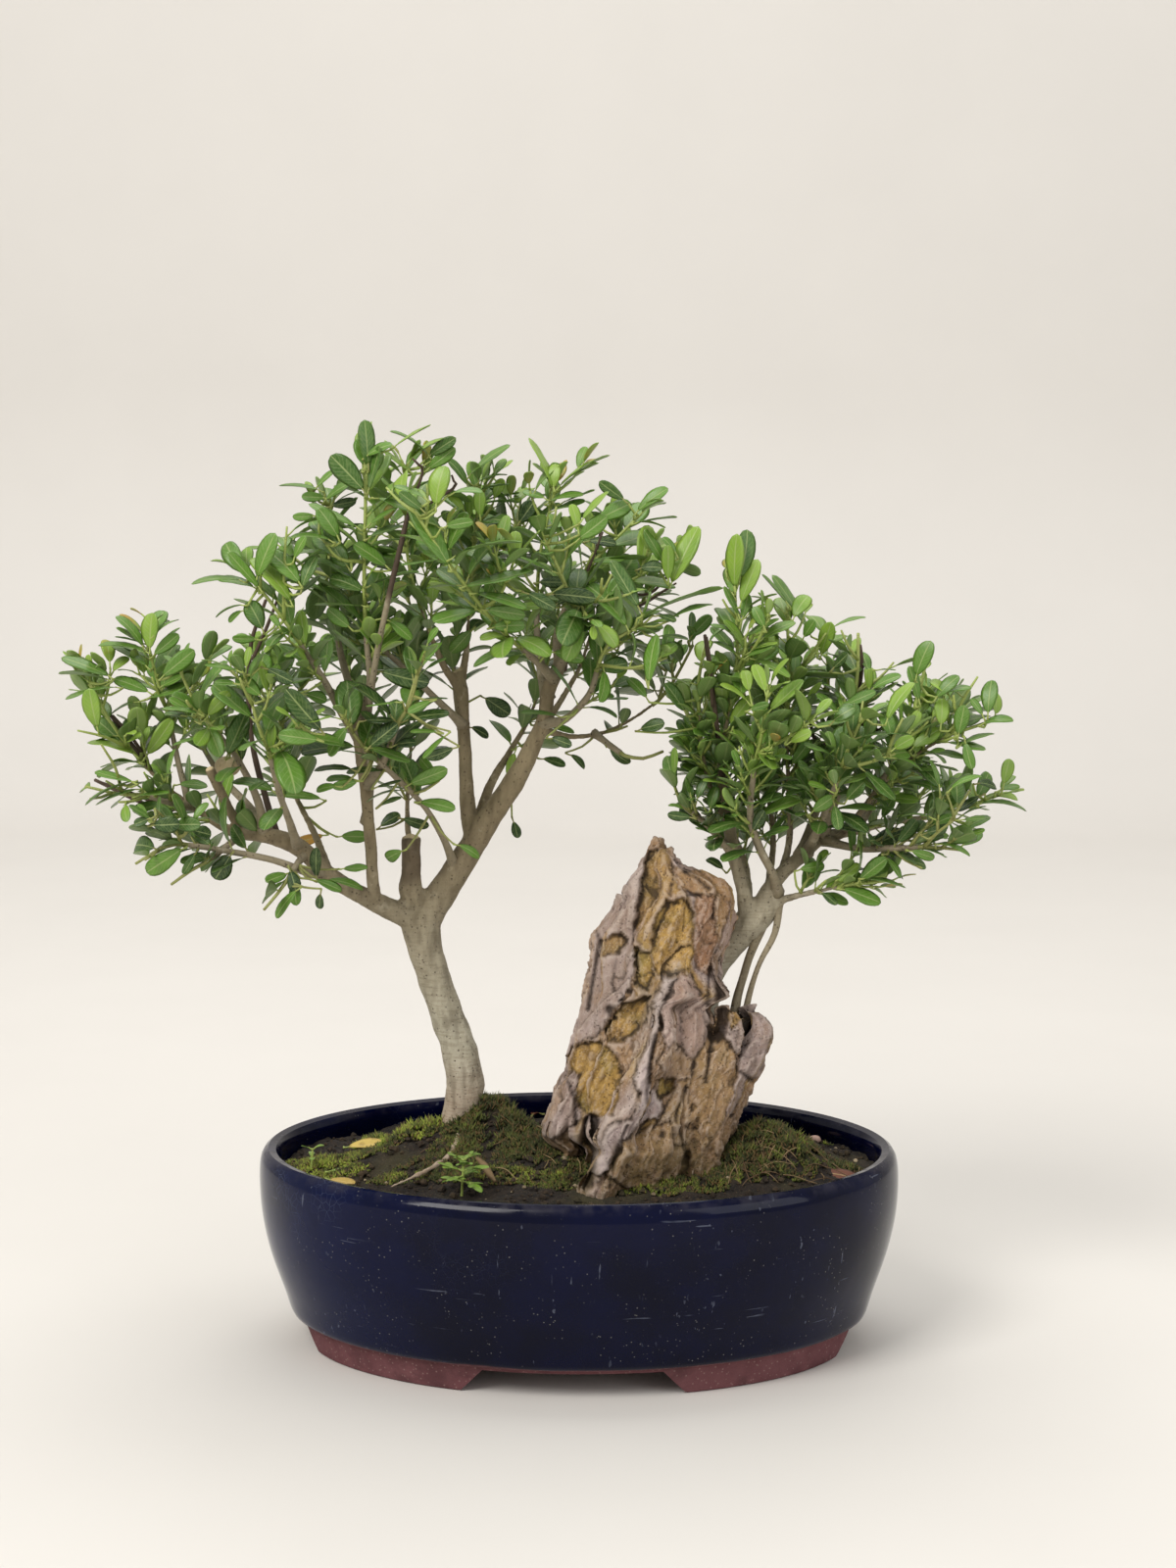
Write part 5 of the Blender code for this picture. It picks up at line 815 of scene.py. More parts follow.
def leaf_blade(length, width, fold, bend, twist, curl, wave):
    """Points of a blade along +X from the origin, with its upper face to +Z."""
    turn = bend * ALONG
    safe = bend if abs(bend) > 1e-3 else 1e-3
    x = length * np.sin(safe * ALONG) / safe
    z = -length * (1.0 - np.cos(safe * ALONG)) / safe
    half = width / 2 * LEAF_OUTLINE
    rise = np.abs(ACROSS)
    y = ACROSS * half * math.cos(fold)
    up = half * (rise * math.sin(fold) - EDGE_DROOP * rise ** EDGE_DROOP_POWER)
    up = up + half * wave * rise ** 2 * np.sin(ALONG * WAVE_TURNS + ACROSS * WAVE_LEAN)
    lean = twist * ALONG
    y, up = y * np.cos(lean) - up * np.sin(lean), y * np.sin(lean) + up * np.cos(lean)
    y = y + curl * length * ALONG ** 2
    top = np.stack([x + up * np.sin(turn), y, z + up * np.cos(turn)], axis=-1)
    thick = LEAF_THICKNESS * (1.0 - EDGE_THINNING * rise)
    down = np.stack([np.sin(turn) * thick, 0.0 * y, np.cos(turn) * thick], axis=-1)
    under = (top - down)[:, 1:-1, :]
    end = np.array([length * math.sin(safe) / safe, curl * length,
                    -length * (1.0 - math.cos(safe)) / safe])
    return np.concatenate([top.reshape(-1, 3), under.reshape(-1, 3),
                           [np.array([0.0, 0.0, -LEAF_THICKNESS / 2]), end]])


class Leaf:
    """One leaf: its stalk's foot on a stem, its blade's base, direction and upper side."""

    def __init__(self, foot, base, ahead, above, length, width, tone, rng):
        self.foot = foot
        self.base = base
        side = above.cross(ahead)
        if side.length < 0.05:
            side = ahead.orthogonal()
        side.normalize()
        above = ahead.cross(side)
        blade = leaf_blade(length, width, math.radians(LEAF_FOLD + rng.uniform(*FOLD_SPREAD)),
                           rng.uniform(*BEND_RANGE), math.radians(rng.uniform(*TWIST_RANGE)),
                           rng.uniform(*CURL_RANGE), rng.uniform(*WAVE_RANGE))
        axes = np.array([ahead, side, above])
        self.points = blade @ axes + np.array(base)
        self.ahead = ahead
        self.tone = tone
        self.probes = self.points[LEAF_PROBES]

    def fits(self):
        low, high = self.points.min(axis=0), self.points.max(axis=0)
        return all(low > np.array(CANOPY_LOW)) and all(high < np.array(CANOPY_HIGH))

    def add_to(self, shell):
        shell.add(self.points, LEAF_FACES, 0, across=LEAF_ACROSS_VALUES, along=LEAF_ALONG_VALUES,
                  under=LEAF_UNDER_VALUES, tone=self.tone)
        middle = (self.foot + self.base) / 2 + UP * -0.25
        stalk = [(*self.foot, PETIOLE_RADIUS * 1.5), (*middle, PETIOLE_RADIUS),
                 (*(self.base + self.ahead * 0.9), PETIOLE_RADIUS * 0.8)]
        verts, faces = tube(stalk, STALK_SIDES, STALK_SPACING)
        shell.add(verts, faces, 1, tone=self.tone)


class Room:
    """Remembers the places of blades and wood, to keep new leaves clear of them."""

    CELL = 4.0
    STEP = 2.0            # between the points that stand for a stem

    def __init__(self):
        self.blades = {}
        self.wood = {}
        self.heroes = []

    def cell(self, point):
        return tuple(int(math.floor(c / self.CELL)) for c in point)

    def add_leaf(self, leaf):
        for point in leaf.probes:
            self.blades.setdefault(self.cell(point), []).append(point)

    def add_stem(self, path, radii):
        """Wood along a broken line, with a radius at each of its points."""
        for (a, b), (start, end) in zip(zip(path, path[1:]), zip(radii, radii[1:])):
            steps = max(1, int((b - a).length / self.STEP))
            for step in range(steps + 1):
                share = step / steps
                entry = (np.array(a.lerp(b, share)), start + (end - start) * share)
                self.wood.setdefault(self.cell(entry[0]), []).append(entry)

    def near(self, store, point, reach=1):
        cx, cy, cz = self.cell(point)
        for dx in range(-reach, reach + 1):
            for dy in range(-reach, reach + 1):
                for dz in range(-reach, reach + 1):
                    yield from store.get((cx + dx, cy + dy, cz + dz), ())

    def is_free(self, leaf, clear=LEAF_CLEAR):
        for number, point in enumerate(leaf.probes):
            for other in self.near(self.blades, point):
                if np.sum((other - point) ** 2) < clear * clear:
                    return False
            if number < BASE_PROBES:
                continue
            for other, radius in self.near(self.wood, point, 2):
                if np.sum((other - point) ** 2) < (radius + WOOD_CLEAR) ** 2:
                    return False
        return True

    def add_hero(self, leaf):
        middle = Vector(leaf.points[LEAF_MIDDLE])
        base, tip = to_photo(leaf.base), to_photo(leaf.points[LEAF_TIP])
        self.heroes.append((base, tip, middle.y))

    def hides_hero(self, leaf):
        """Whether a leaf would stand before one that the photo shows."""
        u, v = to_photo(leaf.points[LEAF_MIDDLE])
        for (bu, bv), (tu, tv), depth in self.heroes:
            if leaf.points[LEAF_MIDDLE][1] > depth:
                continue
            length = math.hypot(tu - bu, tv - bv)
            share = ((u - bu) * (tu - bu) + (v - bv) * (tv - bv)) / max(length * length, 1.0)
            share = min(1.0, max(0.0, share))
            if math.hypot(u - bu - share * (tu - bu), v - bv - share * (tv - bv)) < HERO_SHADE:
                return True
        return False


class Spray:
    """A leafy spray that grows on from the end of a branch."""

    def __init__(self, node, branch, shoots, tint, crown):
        self.node = node
        self.tint = tint
        self.crown = crown
        self.leaves = []
        self.twigs = []
        path = smooth_path(branch, PATH_SPACING)
        end = path[-1].to_3d()
        ahead = (end - path[-2].to_3d()).normalized()
        start = end - ahead * 0.6
        self.parent = [p.to_3d() for p in smooth_path(branch, LINE_STEP)]
        self.paths, self.radii = [], []
        for number, (share, way) in enumerate(shoots):
            if number == 0:
                route = [start, start + ahead * 3.0] + [Vector(p) for p in way]
                radius = SHOOT_RADIUS
            else:
                main = self.paths[0]
                fork = point_at(main, share * path_length(main) + SHOOT_RADIUS)[0]
                route = [fork] + [Vector(p) for p in way]
                radius = SHOOT_RADIUS * 0.85
            taper = [(p.x, p.y, p.z, radius - 0.42 * i / (len(route) - 1))
                     for i, p in enumerate(route)]
            self.twigs.append(taper)
            smooth = smooth_path(taper, SHOOT_STEP)
            self.paths.append([p.to_3d() for p in smooth])
            self.radii.append([p.w for p in smooth])


def nearest_stem(stems, u, v):
    """The stem point that the photo shows nearest to a pixel, leaning to the front."""
    best = None
    for spray, place, pixel in stems:
        away = math.hypot(pixel[0] - u, pixel[1] - v)
        score = away + place.y * 0.28
        if best is None or score < best[0]:
            best = (score, spray, place)
    return best[1], best[2]


def grow_heroes(sprays, rows, room, rng):
    """Set the leaves that the photo shows, each on a twig from the nearest stem."""
    stems = []
    for spray in sprays:
        for path in spray.paths + [spray.parent[len(spray.parent) // 2:]]:
            stems += [(spray, place, to_photo(place)) for place in path]
    for bu, bv, tu, tv, wide, tone in rows:
        spray, place = nearest_stem(stems, bu, bv)
        depth = place.y - HERO_DEPTH_STEP
        for attempt in range(HERO_TRIES):
            y = depth + rng.uniform(-3.0, 3.0) * attempt / 2.0
            base = from_photo(bu, bv, y)
            tip = from_photo(tu, tv, y + rng.uniform(-5.0, 3.0))
            ahead = (tip - base)
            length = ahead.length
            ahead.normalize()
            scale = (base - CAMERA_PLACE).dot(LOOK) / FOCAL_PIXELS
            shown = wide * scale
            width = max(shown * HERO_WIDEST, length * HERO_NARROWEST)
            lean = math.acos(min(1.0, shown / width)) * rng.choice((-1.0, 1.0))
            face = (LOOK * -1.0 + UP * 0.35)
            face = (face - ahead * face.dot(ahead)).normalized()
            above = Matrix.Rotation(lean, 3, ahead) @ face
            if above.z < -0.2:
                above = Matrix.Rotation(-lean, 3, ahead) @ face
            foot = base - (ahead + UP * 0.2).normalized() * PETIOLE_LENGTH
            leaf = Leaf(foot, base, ahead, above, length, width,
                        TONES[tone] + rng.uniform(-0.06, 0.06), rng)
            if leaf.fits() and room.is_free(leaf, HERO_CLEAR):
                break
        if not leaf.fits():
            continue
        room.add_leaf(leaf)
        room.add_hero(leaf)
        if (foot - place).length > 1.2:
            bow = (foot + place) / 2 + Vector((rng.uniform(-1, 1), rng.uniform(-1, 1), -1.2))
            spray.twigs.append([(*place, TWIG_RADIUS * 1.3), (*bow, TWIG_RADIUS),
                                (*foot, TWIG_RADIUS * 0.8)])
            room.add_stem([place, bow, foot], [TWIG_RADIUS] * 3)
        spray.leaves.append(leaf)


def try_leaf(spray, room, rng, place, ahead, outward, length, tilt, tone):
    """Grow a leaf from a stem's middle line where there is room for it."""
    outline = LEFT_OUTLINE if spray.crown == "left" else RIGHT_OUTLINE
    for attempt in range(LEAF_TRIES):
        loose = attempt / LEAF_TRIES
        angle = math.radians(tilt + rng.uniform(-TILT_SPREAD, TILT_SPREAD)
                             + LOOSE_TILT * loose * rng.uniform(-1, 1))
        spin = math.radians(rng.uniform(-SPIN_SPREAD, SPIN_SPREAD)
                            + LOOSE_SPIN * loose * rng.uniform(-1, 1))
        around = Matrix.Rotation(spin, 3, ahead) @ outward
        direction = ahead * math.cos(angle) + around * math.sin(angle)
        direction.z += 0.1
        direction.normalize()
        size = length * rng.uniform(*SIZE_SPREAD) * (1.0 - LOOSE_SMALLER * loose)
        width = size * LEAF_SHARE * rng.uniform(*WIDTH_SPREAD)
        base = place + direction * (SHOOT_RADIUS + PETIOLE_LENGTH * rng.uniform(*STALK_SPREAD))
        above = ahead * 0.75 + UP * 0.8 + Vector((rng.uniform(-1, 1), rng.uniform(-1, 1), 0)) * 0.35
        leaf = Leaf(place, base, direction, above, size, width,
                    tone + rng.uniform(*TONE_SPREAD), rng)
        u, v = to_photo(leaf.points[LEAF_FAR])
        tip_u, tip_v = to_photo(leaf.points[LEAF_TIP])
        if not inside(outline, u, v) or not inside(outline, tip_u, tip_v) or not leaf.fits():
            continue
        if room.is_free(leaf) and not room.hides_hero(leaf):
            room.add_leaf(leaf)
            spray.leaves.append(leaf)
            return True
    return False


def grow_shoot(spray, room, rng, path, length, tone, start=0.0, twigs=0.5):
    """Set pairs of leaves crosswise along a shoot, from its tip down."""
    total = path_length(path)
    turn = rng.uniform(0, math.tau)
    distance, pair = total - 0.3, 0
    while distance > start:
        place, ahead = point_at(path, distance)
        side = ahead.orthogonal().normalized()
        young = max(0.0, 1.0 - pair / YOUNG_PAIRS)
        for half in (0, 1):
            spin = turn + math.pi / 2 * pair + math.pi * half
            outward = Matrix.Rotation(spin, 3, ahead) @ side
            tilt = GROWN_TILT - YOUNG_TILT * young
            size = length * (1.0 - YOUNG_SMALLER * young)
            tint = tone + YOUNG_BRIGHTER * young
            try_leaf(spray, room, rng, place, ahead, outward, size, tilt, tint)
        if twigs and pair > 0 and rng.random() < twigs:
            spin = turn + math.pi / 2 * pair + math.pi * rng.choice((0, 1)) + 0.3
            outward = Matrix.Rotation(spin, 3, ahead) @ side
            grow_twig(spray, room, rng, place, ahead, outward, length, tone)
        pair += 1
        step = TIP_SPACING if pair == 1 else 1.0
        distance -= NODE_SPACING * step * rng.uniform(0.85, 1.15)


def grow_twig(spray, room, rng, place, ahead, outward, length, tone):
    """A short side shoot with a pair or two of leaves."""
    outline = LEFT_OUTLINE if spray.crown == "left" else RIGHT_OUTLINE
    reach = rng.uniform(*SIDE_TWIG_REACH)
    direction = (ahead * 0.75 + outward * 0.8 + UP * 0.15).normalized()
    bow = place + direction * reach * 0.5
    end = bow + (direction + ahead * 0.3 + UP * 0.15).normalized() * reach * 0.5
    if not inside(outline, *to_photo(end)):
        return
    low, high = CANOPY_LOW, CANOPY_HIGH
    if any(end[i] < low[i] + 6.0 or end[i] > high[i] - 6.0 for i in range(3)):
        return
    taper = [(*p, radius) for p, radius in zip((place, bow, end), SIDE_TWIG_RADII)]
    spray.twigs.append(taper)
    path = [p.to_3d() for p in smooth_path(taper, SHOOT_STEP)]
    room.add_stem(path[2:], [TWIG_RADIUS] * len(path[2:]))
    grow_shoot(spray, room, rng, path, length * 0.9, tone + 0.05, reach * 0.3, 0.0)


# Rounds of leaves on the older wood, as (crowns, leaf size, change of tone, share of the
# branch that stays bare, chance of a side twig at each pair)
OLD_WOOD_ROUNDS = [(("left", "right"), 0.92, 0.12, 0.55, 0.4), (("right",), 0.85, 0.2, 0.3, 0.95)]


def build_sprays(materials):
    """Grow every spray, with the leaves of the photo first."""
    sprays = {"left": [], "right": []}
    room = Room()
    for crown, wood, table in (("left", LEFT_WOOD, LEFT_SPRAYS), ("right", RIGHT_WOOD, RIGHT_SPRAYS)):
        for points in wood.values():
            path = smooth_path(points, LINE_STEP)
            room.add_stem([p.to_3d() for p in path], [p.w for p in path])
        for name, (tint, shoots) in table.items():
            branch = wood[SPRAY_BRANCHES.get(name, name)]
            spray = Spray("%s_spray_%s" % (crown, name), branch, shoots, tint, crown)
            sprays[crown].append(spray)
            for path, radii in zip(spray.paths, spray.radii):
                room.add_stem(path, radii)
    rng = random.Random(5)
    grow_heroes(sprays["left"], LEFT_LEAVES, room, rng)
    grow_heroes(sprays["right"], RIGHT_LEAVES, room, rng)
    for spray in sprays["left"] + sprays["right"]:
        tone = TINT_TONES[spray.tint]
        for path in spray.paths:
            grow_shoot(spray, room, rng, path, LEAF_LENGTH, tone)
    for crowns, size, darker, bare, twigs in OLD_WOOD_ROUNDS:
        for spray in [spray for crown in crowns for spray in sprays[crown]]:
            grow_shoot(spray, room, rng, spray.parent, LEAF_LENGTH * size,
                       TINT_TONES[spray.tint] - darker, path_length(spray.parent) * bare, twigs)
    for spray in sprays["left"] + sprays["right"]:
        shell = Shell("across", "along", "tone", "under")
        for taper in spray.twigs:
            verts, faces = tube(taper, SHOOT_SIDES, LINE_STEP, TWIG_ROUGHNESS)
            shell.add(verts, faces, 1, tone=TINT_TONES[spray.tint])
        for leaf in spray.leaves:
            leaf.add_to(shell)
        piece = shell.piece(spray.node + "_fine", materials)
        place_piece(piece, ("leaf_young", "leaf_grown", "leaf_old")[spray.tint], spray.node)


# Wood
THICK_FROM = 2.3          # branches with a larger radius than this grow into one body
WOOD_VOXEL = 0.76
BLACK_TWIG_DEAD = (299.0, 306.0)          # heights over which the black twig's foot dies
STUMP_RADIUS = 4.5
STUMP_ROUGHNESS = 0.45
LIMB_SLIM = 0.9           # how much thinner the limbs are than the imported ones
# Short dead twigs as the photo shows them: foot and tip in pixels, and width in pixels
LEFT_TWIGS = [(147, 771, 115, 730, 4), (176, 827, 99, 797, 4), (258, 672, 283, 612, 4),
              (431, 483, 421, 468, 3), (462, 499, 461, 485, 3),
              (584, 617, 615, 543, 3), (656, 607, 704, 571, 3), (655, 617, 690, 595, 3)]
RIGHT_TWIGS = [(727, 720, 721, 650, 4), (878, 696, 878, 658, 4), (897, 745, 914, 727, 4),
               (833, 756, 816, 716, 4)]
LEFT_BURLS = [(232, 782, 5.6)]            # pixel and half width in millimetres
BURL_SQUASH = 0.8
BURL_OUT = 3.0            # how far a burl stands before the wood
BURL_NECK = 2.6
THICKEST_FROM = 4.0
THICK_ROUGHNESS = 0.12
LIMB_ROUGHNESS = 0.1
THIN_ROUGHNESS = 0.16
THIN_FLARE = 0.5
THICK_SIDES = 20
THIN_SIDES = 8
OLD_BARK = {"left": (215.0, 90.0), "right": (235.0, 120.0)}     # heights, young to old
RIDGE_SCALE = 0.42        # of the bark's upright ridges, its lumps and its fine grain
LUMP_SCALE = 0.16
FINE_SCALE = 1.1
BARK_SINK = 0.25
WITHERED_SHARE = 0.6
WITHERED_REACH = (22.0, 14.0)             # from the stump's end
DEAD_TWIGS = ("black_twig", "dead_left", "dead_low", "dead_middle", "dead_top", "dead_right")
SAWN = ("stump", "left_stub", "sprout", "main_right", "middle", "second", "trunk")


def nearest_wood(branches, u, v):
    """The point on a tree's middle lines that the photo shows nearest to a pixel."""
    best, found = 1e9, None
    for points in branches.values():
        for knot in smooth_path(points, WOOD_STEP):
            seen_u, seen_v = to_photo(knot.to_3d())
            away = math.hypot(seen_u - u, seen_v - v) - knot.w
            if away < best:
                best, found = away, knot
    return found


def build_wood(node, branches, twigs, burls, materials):
    """A tree's wood: the thick parts grown into one body, the thin ones as stems."""
    thick, thin = [], []
    for key, points in branches.items():
        widest = max(p[3] for p in points)
        if widest > THICK_FROM and key not in DEAD_TWIGS:
            thick.append((key, points, widest))
        else:
            thin.append((key, points))
    body = Shell()
    for key, points, widest in thick:
        rough = THICK_ROUGHNESS if widest > THICKEST_FROM else LIMB_ROUGHNESS
        slim = 1.0 if key == "trunk" else LIMB_SLIM
        stem = [(x, y, z, r * slim) for x, y, z, r in points]
        if key == "stump":
            stem = [(x, y, z, STUMP_RADIUS) for x, y, z, r in points]
            rough = STUMP_ROUGHNESS
        body.add(*tube(stem, THICK_SIDES, WOOD_STEP, rough))
    knobs = []
    for u, v, half in burls:
        knot = nearest_wood(branches, u, v)
        middle = from_photo(u, v, knot.y - BURL_OUT)
        knobs.append((middle, half))
        body.add(*ellipsoid(middle, (half, half * BURL_SQUASH, half * BURL_SQUASH)))
        body.add(*tube([(*knot.to_3d(), BURL_NECK), (*middle, half * 0.7)], 12, 2.0))
    mesh = worked(body.mesh("wood"), ("REMESH", {"mode": "VOXEL", "voxel_size": WOOD_VOXEL}),
                  ("SMOOTH", {"factor": 0.5, "iterations": 6}))
    points, normals = mesh_arrays(mesh)
    long_grain = points * np.array([1.0, 1.0, 0.28])
    ridges = grain(long_grain, RIDGE_SCALE, 1.0)
    lumps = grain(points, LUMP_SCALE, 4.0)
    fine = grain(points, FINE_SCALE, 9.0)
    old = ramp(points[:, 2], *OLD_BARK[node.split("_")[0]])
    lift = (0.16 + 0.2 * old) * ridges + 0.3 * old * lumps + 0.08 * fine - BARK_SINK
    sawn = np.zeros(len(points))
    for key in SAWN:
        if key not in branches:
            continue
        path = smooth_path(branches[key], LINE_STEP)
        end, ahead = path[-1].to_3d(), (path[-1].to_3d() - path[-2].to_3d()).normalized()
        away = np.linalg.norm(points - np.array(end), axis=1)
        facing = normals @ np.array(ahead)
        sawn = np.maximum(sawn, (away < path[-1].w * 1.15 + 0.4) * ramp(facing, 0.6, 0.85))
    for middle, half in knobs:
        away = np.linalg.norm(points - np.array(middle), axis=1)
        sawn = np.maximum(sawn, 0.7 * ramp(away, half * 1.3, half))
    lift = lift * (1.0 - sawn)
    points = points + normals * lift[:, None]
    withered = np.zeros(len(points))
    if "stump" in branches:
        x, y, z = branches["stump"][-1][:3]
        away = np.linalg.norm(points - np.array((x, y, z)), axis=1)
        withered = WITHERED_SHARE * ramp(away, *WITHERED_REACH) * (1.0 - sawn)
    # Painted shade: the bark is darker in the grooves between its ridges, and thin stems a little all
    # over
    shell = Shell("old", "dead", "sawn", "crease")
    shell.add(points, [tuple(face.vertices) for face in mesh.polygons], 0, old=old, dead=withered,
              sawn=sawn, crease=np.clip(-ridges * 1.6, 0.0, 1.0))
    for key, points in thin:
        dead = 1.0 if key in DEAD_TWIGS else 0.0
        verts, faces = tube(points, THIN_SIDES, WOOD_STEP, THIN_ROUGHNESS, THIN_FLARE)
        if key == "black_twig":
            dead = ramp(np.array([vert.z for vert in verts]), *BLACK_TWIG_DEAD)
        shell.add(verts, faces, 0, old=0.25 * (1.0 - dead), dead=dead, sawn=0.0, crease=0.2)
    for foot_u, foot_v, tip_u, tip_v, wide in twigs:
        knot = nearest_wood(branches, foot_u, foot_v)
        foot = from_photo(foot_u, foot_v, knot.y - knot.w)
        tip = from_photo(tip_u, tip_v, knot.y - knot.w - 4.0)
        radius = wide / 2 * (foot - CAMERA_PLACE).length / FOCAL_PIXELS
        middle = (foot + tip) / 2 + Vector((0.6, -0.5, 0.4))
        verts, faces = tube([(*knot.to_3d(), radius), (*foot, radius), (*middle, radius * 0.9),
                             (*tip, radius * 0.7)], THIN_SIDES, 2.5, THIN_ROUGHNESS)
        shell.add(verts, faces, 0, old=0.0, dead=1.0, sawn=0.0, crease=0.2)
    place_piece(shell.piece(node + "_fine", materials), "bark", node)


# Rock: crags as stacks of oval sections (x, y, z, half width, half depth)
ROCK_CRAGS = {
    "body": [(26, -12, 56, 18, 24), (26, -12, 70, 23, 28), (27, -13, 88, 29, 29),
             (27, -12, 106, 31, 27), (27, -11, 126, 29, 25), (30, -10, 146, 27, 22),
             (33, -10, 165, 27, 19), (38, -10, 180, 23, 16), (42, -10, 190, 19, 12),
             (39, -10, 197, 12, 8), (33, -10, 207, 3, 3)],
    "fin": [(5, -40, 58, 8, 8), (10, -42, 74, 9, 9), (20, -40, 95, 8, 10),
            (26, -36, 118, 8, 9), (32, -31, 138, 7, 8), (38, -25, 155, 4, 5)],
    "left_lobe": [(-7, -14, 79, 6, 9), (-5, -14, 92, 8, 13), (0, -13, 108, 11, 15),
                  (4, -12, 126, 11, 13), (9, -11, 146, 10, 10), (13, -10, 166, 8, 7),
                  (18, -10, 176, 4, 4)],
    "shoulder": [(50, -12, 58, 7, 14), (54, -12, 76, 9, 17), (60, -10, 92, 11, 18),
                 (66, -9, 108, 11, 16), (70, -8, 122, 10, 13), (74, -8, 132, 6, 9),
                 (74, -8, 138, 3, 5)],
    "pocket_wall": [(55, -18, 70, 9, 9), (56, -21, 90, 10, 10), (57, -22, 108, 10, 9),
                    (58, -22, 120, 8, 7), (59, -21, 127, 7, 6), (61, -20, 133, 6, 5),
                    (63, -19, 140, 4, 4)],
}
ROCK_COLUMNS = 64
RIDGE_TURN = 2.1          # ridges round a crag, how they change with height, their depth
RIDGE_RISE = 0.012
RIDGE_DEPTH = 1.6
CHIP_TURN = 3.0
CHIP_RISE = 0.05
CHIP_DEPTH = 0.9
CHIP_LIFT = 2.4           # how unevenly a crag's rows stand, in millimetres
ROCK_ROW_HEIGHT = 3.0
ROCK_RELIEF = 0.13        # depth of the upright ridges, as a share of the section
ROCK_VOXEL = 0.85
ROCK_GRAIN_LEAN = 18.0    # degrees from upright that the rock's layers lean to the right
POCKET_CENTRE = (62.0, -5.0, 137.0)
POCKET_RADII = (8.5, 12.0, 16.0)
POCKET_FILL = 133.0       # height of the soil in the rock's pocket
POCKET_ROWS = 12
POCKET_COLUMNS = 28
POCKET_CRUMBS = 140
# The rock's outline in the photo: rows of (v, left u, right u)
ROCK_ROWS = [
    (851, 671, 675), (861, 663, 680), (871, 658, 689), (885, 650, 703), (895, 642, 738),
    (906, 633, 747), (922, 626, 750), (939, 614, 752), (960, 601, 745), (979, 601, 736),
    (1004, 597, 738), (1024, 593, 757), (1036, 590, 781), (1050, 585, 790), (1064, 580, 789),
    (1078, 577, 781), (1090, 577, 780), (1104, 567, 772), (1118, 563, 753), (1133, 559, 745),
    (1150, 553, 739), (1163, 553, 731), (1175, 572, 725), (1190, 586, 716),
]
ROCK_PEAK = (673, 849, 16)                # pixel of the peak, and how far down it tapers
